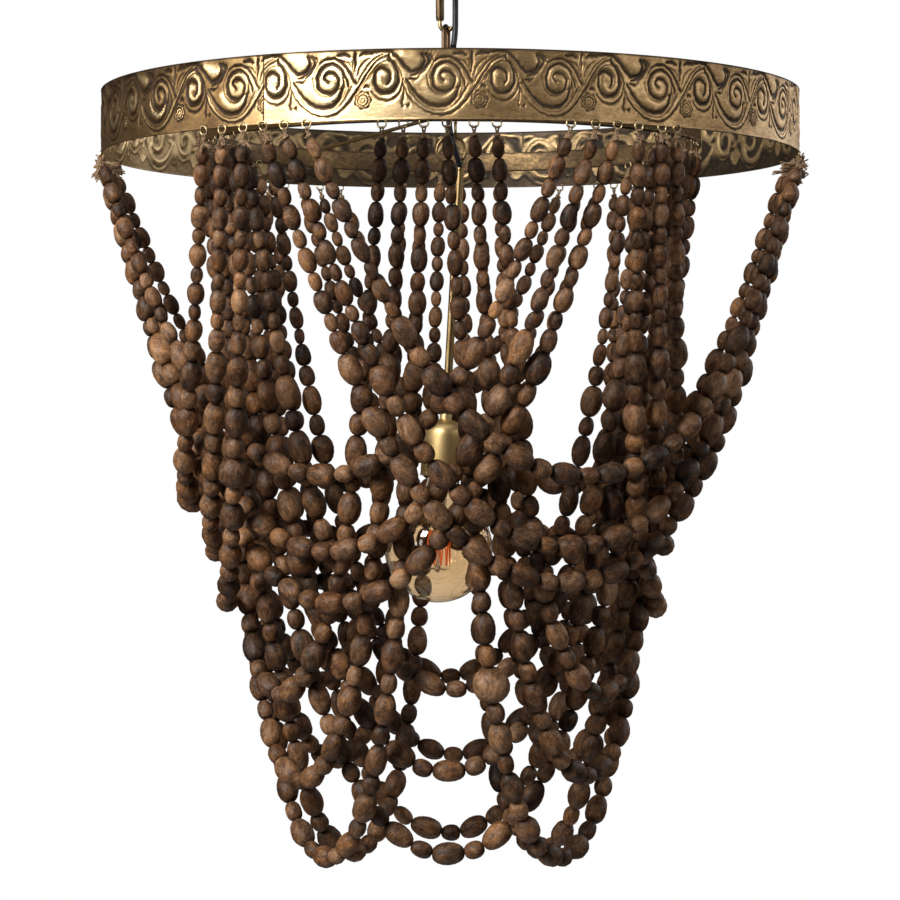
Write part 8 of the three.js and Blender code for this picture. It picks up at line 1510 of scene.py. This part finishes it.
# the ring the lamp hangs on, cut once
t = np.linspace(0.02, 2 * math.pi - 0.02, 64) + math.radians(60)
piece("ring_wire", tube(np.stack([0.8 + 12.7 * np.cos(t), 0.12 * np.sin(2 * t), -169.2 + 12.7 * np.sin(t)], 1), 1.2, 16), M_TUBE, "ring", ["split_ring"])


# ------------------------------------------------------------------ the lamp, in its own leaning frame
def lamp(part):
    V, F = part
    V = np.asarray(V, float)
    s = -V[:, 2]
    X = PIVOT[0] - s * math.sin(LEAN) + V[:, 0] * math.cos(LEAN)
    Z = PIVOT[2] - s * math.cos(LEAN) - V[:, 0] * math.sin(LEAN)
    return np.stack([X, AXIS_Y + V[:, 1], Z], 1), F


def turned(profile, sides=64, soft=0.3, closed=True):
    return lamp(lathe([(r, -s) for r, s in profile], sides, soft, closed))


tube_p = [(2.9, 5.7), (3.3, 5.7), (3.6, 6.0), (3.6, 8.6), (3.45, 8.9), (3.6, 9.2), (3.6, 222), (3.6, 229.4), (4.6, 229.9), (6.2, 230.3), (6.4, 230.8), (6.4, 232.8), (6.1, 233.2), (2.9, 233.2)]
stem_part = turned(tube_p, 48, 0.25)
TILT = -(math.atan2(PIVOT[0] - 0.8, -169.2 - PIVOT[2]) + LEAN)


def lug_plate():
    """Flat eye on the ring's line; its neck down the back of the tube is the bar made below. Local frame: the pivot is
    the origin, X the ring's tangent.
    """
    n = 40
    a = np.arange(n) / n * 2 * math.pi
    V, F = [], []
    prof = [(1.85, -0.8), (2.0, -1.0), (2.8, -1.0), (3.0, -0.8), (3.0, 0.8), (2.8, 1.0), (2.0, 1.0), (1.85, 0.8)]
    for r, x in prof:
        V += [[x, r * math.cos(t), r * math.sin(t)] for t in a]
    m = len(prof)
    for i in range(m):
        j = (i + 1) % m
        for k in range(n):
            q = (k + 1) % n
            F.append([i * n + k, i * n + q, j * n + q, j * n + k])
    V = np.array(V)
    c, s = math.cos(TILT), math.sin(TILT)
    V = np.stack([V[:, 0] * c + V[:, 2] * s, V[:, 1], -V[:, 0] * s + V[:, 2] * c], 1)
    return V - np.array([0, AXIS_Y, 0]), F


def bar_box(x0, x1, y0, y1, z0, z1, b=0.2):
    """A bar with bevelled edges."""
    V, F = [], []
    rings = [(z0, b), (z0 + b, 0), (z1 - b, 0), (z1, b)]
    for z, e in rings:
        for x, y in ((x0 + e + b, y0 + e), (x1 - e - b, y0 + e), (x1 - e, y0 + e + b), (x1 - e, y1 - e - b), (x1 - e - b, y1 - e), (x0 + e + b, y1 - e), (x0 + e, y1 - e - b), (x0 + e, y0 + e + b)):
            V.append([x, y, z])
    for i in range(3):
        for k in range(8):
            m = (k + 1) % 8
            F.append([i * 8 + k, i * 8 + m, i * 8 + 8 + m, i * 8 + 8 + k])
    F += [list(range(8))[::-1], [24 + k for k in range(8)]]
    return np.array(V, float), F


neck = bar_box(-1.1, 1.1, -0.75 - AXIS_Y, 1.15 - AXIS_Y, -11.9, -1.95, 0.2)
piece("lamp_stem", joined([stem_part, lamp(lug_plate()), lamp(neck)]), M_TUBE, "lamp", ["stem_tube"], sharp=45)

cup_p = [(4.0, 222.5), (5.4, 222.5), (5.4, 227), (6.2, 227.4), (9, 228.4), (12, 229.6), (15, 231.2), (17.2, 233.1), (18.6, 235.4), (19.35, 238.2), (19.6, 241),
         (19.6, 272.6), (19.3, 273.0), (19.6, 273.4), (19.6, 275.4), (20.1, 276.2), (19.6, 277), (18.6, 277), (18.6, 241.6), (17.7, 236.6), (14.4, 232.4), (8.8, 229.8), (4.0, 229.0)]
piece("holder_shell", turned(cup_p, 96, 0.3), M_BRASS, "lamp", ["holder_cup"], sharp=50)
ins = [(3.2, 246.5), (17.4, 246.5), (18.25, 248), (18.25, 273), (17.9, 273.4), (14.4, 273.4), (14, 273), (14, 251.5), (3.2, 251.5)]
piece("holder_core", turned(ins, 72, 0.3), M_BLACK, "lamp", ["holder_insert"], sharp=50)

# lamp base: contact, insulator and rolled thread
cap_p = [(0, 252.4), (4.2, 252.4), (4.5, 252.8), (4.5, 254.4), (8.5, 255.6), (12.3, 257.6)]
s = 258.4
while s < 273:
    cap_p += [(12.55, s), (13.2, s + 0.9), (12.9, s + 1.4), (12.3, s + 1.9)]
    s += 2.6
cap_p += [(12.9, 274.4), (13.15, 275.2), (13.2, 276.4), (12.3, 276.4), (11.9, 259.5), (0, 259.5)]
piece("lamp_base", turned(cap_p, 64, 0.25, closed=False), M_STEEL, "bulb", ["bulb_cap"], sharp=50)

# globe
R_GLOBE, S_GLOBE = 47.5, 340.3
neck_o = [(13.0, 276.7), (13.1, 278.6), (13.5, 282), (14.0, 285.2), (14.8, 288), (16.1, 291.0), (17.8, 293.6), (19.9, 295.8), (22.2, 297.7), (24.6, 299.5)]
ang_g = np.radians(np.linspace(34.6, 180, 56))
out_g = [(max(R_GLOBE * math.sin(t), 0), S_GLOBE - R_GLOBE * math.cos(t)) for t in ang_g]
out_g[-1] = (0, out_g[-1][1])
Ri = R_GLOBE - 0.9
in_g = [(max(Ri * math.sin(t), 0), S_GLOBE - Ri * math.cos(t)) for t in ang_g][::-1]
in_g[0] = (0, in_g[0][1])
neck_i = [(r - 0.95, q + (0.45 if q > 290 else 0)) for r, q in neck_o][::-1]
piece("globe", turned(neck_o + out_g + in_g + neck_i, 96, 0, closed=True), M_GLASS, "bulb", ["bulb_glass"])

# inside the globe: pressed stem, support wires and the caged filament
press = [(0, 278.6), (10.5, 278.6), (11.2, 279.4), (9.4, 281.6), (6.8, 285.0), (4.9, 290.0), (3.8, 297), (3.4, 306), (3.0, 314), (2.3, 318), (2.3, 321), (1.6, 324), (1.5, 354), (2.2, 356), (2.4, 358.6), (1.6, 361), (0, 361.6)]
piece("press_stem", turned(press, 40, 0.5, closed=False), M_CLEAR, "bulb", ["bulb_filament"])
N, HIGH, LOW = 12, 322.0, 358.0
cage = []
for i in range(2 * N - 1):
    t = i / (2 * N) * 2 * math.pi
    q = 11.2 if i % 2 else 8.2
    cage.append([q * math.cos(t), q * math.sin(t), -(LOW if i % 2 else HIGH)])
fine = []
for i in range(len(cage) - 1):
    p, q = np.array(cage[i]), np.array(cage[i + 1])
    for k in range(6):
        t = 0.08 + k / 6 * 0.92
        c = p + (q - p) * t
        c[:2] *= 1 + 0.06 * math.sin(t * math.pi)
        fine.append(c)
fine.append(np.array(cage[-1]))
piece("filament", lamp(tube(np.array(fine), 0.62, 6)), M_GLOW, "bulb", ["bulb_filament"])
arms = []
for i in range(0, 2 * N - 1, 2):
    e = np.array(cage[i])
    arms.append(tube(smooth_line([[e[0] * 0.22, e[1] * 0.22, -317.5], [e[0] * 0.6, e[1] * 0.6, -319.2], e + np.array([0, 0, -0.2])], 1.5), 0.28, 5))
for i in range(1, 2 * N - 1, 2):
    e = np.array(cage[i])
    arms.append(tube(smooth_line([[e[0] * 0.16, e[1] * 0.16, -356.5], [e[0] * 0.6, e[1] * 0.6, -359.0], e + np.array([0, 0, 0.2])], 1.5), 0.28, 5))
for s in (-1, 1):
    arms.append(tube(smooth_line([[s * 6.0, 0.6 * s, -281], [s * 4.6, 0.9 * s, -292], [s * 4.4, 1.0 * s, -305], [s * 5.6, 0.6 * s, -314], [s * 8.1, 0.3 * s, -321.6]], 2.0), 0.38, 6))
piece("filament_supports", lamp(joined(arms)), M_STEEL, "bulb", ["bulb_filament"])


# ------------------------------------------------------------------ floor, world and lights
def floor_material():
    m, nt, b = material("floor_pale")
    co = node(nt, "ShaderNodeTexCoord").outputs["Object"]
    n = noise(nt, scaled(nt, co, (3, 3, 3)), 1, 4, 0.6)
    nt.links.new(ramp(nt, n, [(0.3, (0.80, 0.80, 0.79)), (0.7, (0.86, 0.86, 0.85))]), b.inputs["Base Color"])
    b.inputs["Roughness"].default_value = 0.75
    return m


a = np.arange(72) / 72 * 2 * math.pi
disc = [[1700 * math.cos(t), 1700 * math.sin(t), -2400.0] for t in a] + [[0, 0, -2400.0]]
fl = make_mesh("floor", disc, [[72, k, (k + 1) % 72] for k in range(72)], smooth=False, materials=[floor_material()])

world = bpy.data.worlds.new("studio")
bpy.context.scene.world = world
world.use_nodes = True
wt = world.node_tree
bg = wt.nodes["Background"]
bg.inputs["Color"].default_value = (0.93, 0.96, 1.0, 1)
bg.inputs["Strength"].default_value = 0.030
white = wt.nodes.new("ShaderNodeBackground")
white.inputs["Color"].default_value = (1, 1, 1, 1)
white.inputs["Strength"].default_value = 1.0
lp = wt.nodes.new("ShaderNodeLightPath")
mx = wt.nodes.new("ShaderNodeMixShader")
add = wt.nodes.new("ShaderNodeMath")
add.operation = "MAXIMUM"
wt.links.new(lp.outputs["Is Camera Ray"], add.inputs[0])
wt.links.new(lp.outputs["Is Transmission Ray"], add.inputs[1])
wt.links.new(add.outputs[0], mx.inputs[0])
wt.links.new(bg.outputs[0], mx.inputs[1])
wt.links.new(white.outputs[0], mx.inputs[2])
wt.links.new(mx.outputs[0], wt.nodes["World Output"].inputs["Surface"])


def softbox(name, loc, target, size, power, colour=(1, 1, 1)):
    d = bpy.data.lights.new(name, "AREA")
    d.shape = "RECTANGLE"
    d.size, d.size_y = size
    d.energy = power
    d.color = colour
    o = bpy.data.objects.new(name, d)
    bpy.context.scene.collection.objects.link(o)
    o.location = loc
    o.rotation_euler = (Vector(target) - Vector(loc)).to_track_quat("-Z", "Y").to_euler()
    o.visible_camera = False
    return o


MID = (0, 0, -0.42)
softbox("left", (-1.72, -1.40, 0.10), MID, (1.20, 0.70), 20, (1.0, 0.985, 0.955))
softbox("left_back", (-2.10, 1.10, 0.05), MID, (1.5, 1.1), 0.35, (1.0, 0.93, 0.84))
softbox("left_strip", (-2.25, -0.20, 0.10), MID, (0.15, 0.80), 8.0, (1.0, 0.96, 0.88))
softbox("key", (-1.40, -2.10, 1.05), MID, (0.75, 0.65), 66, (1.0, 0.985, 0.96))
softbox("right", (2.0, -1.1, 0.35), MID, (1.5, 1.2), 10.5, (1.0, 0.99, 0.98))
softbox("right_side", (1.95, 1.25, 0.30), MID, (1.4, 1.2), 11)
softbox("top", (0, -0.3, 1.3), MID, (1.4, 1.4), 5)

sc = bpy.context.scene
sc.view_settings.view_transform = "Standard"
sc.view_settings.look = "None"
sc.view_settings.exposure = 0.0
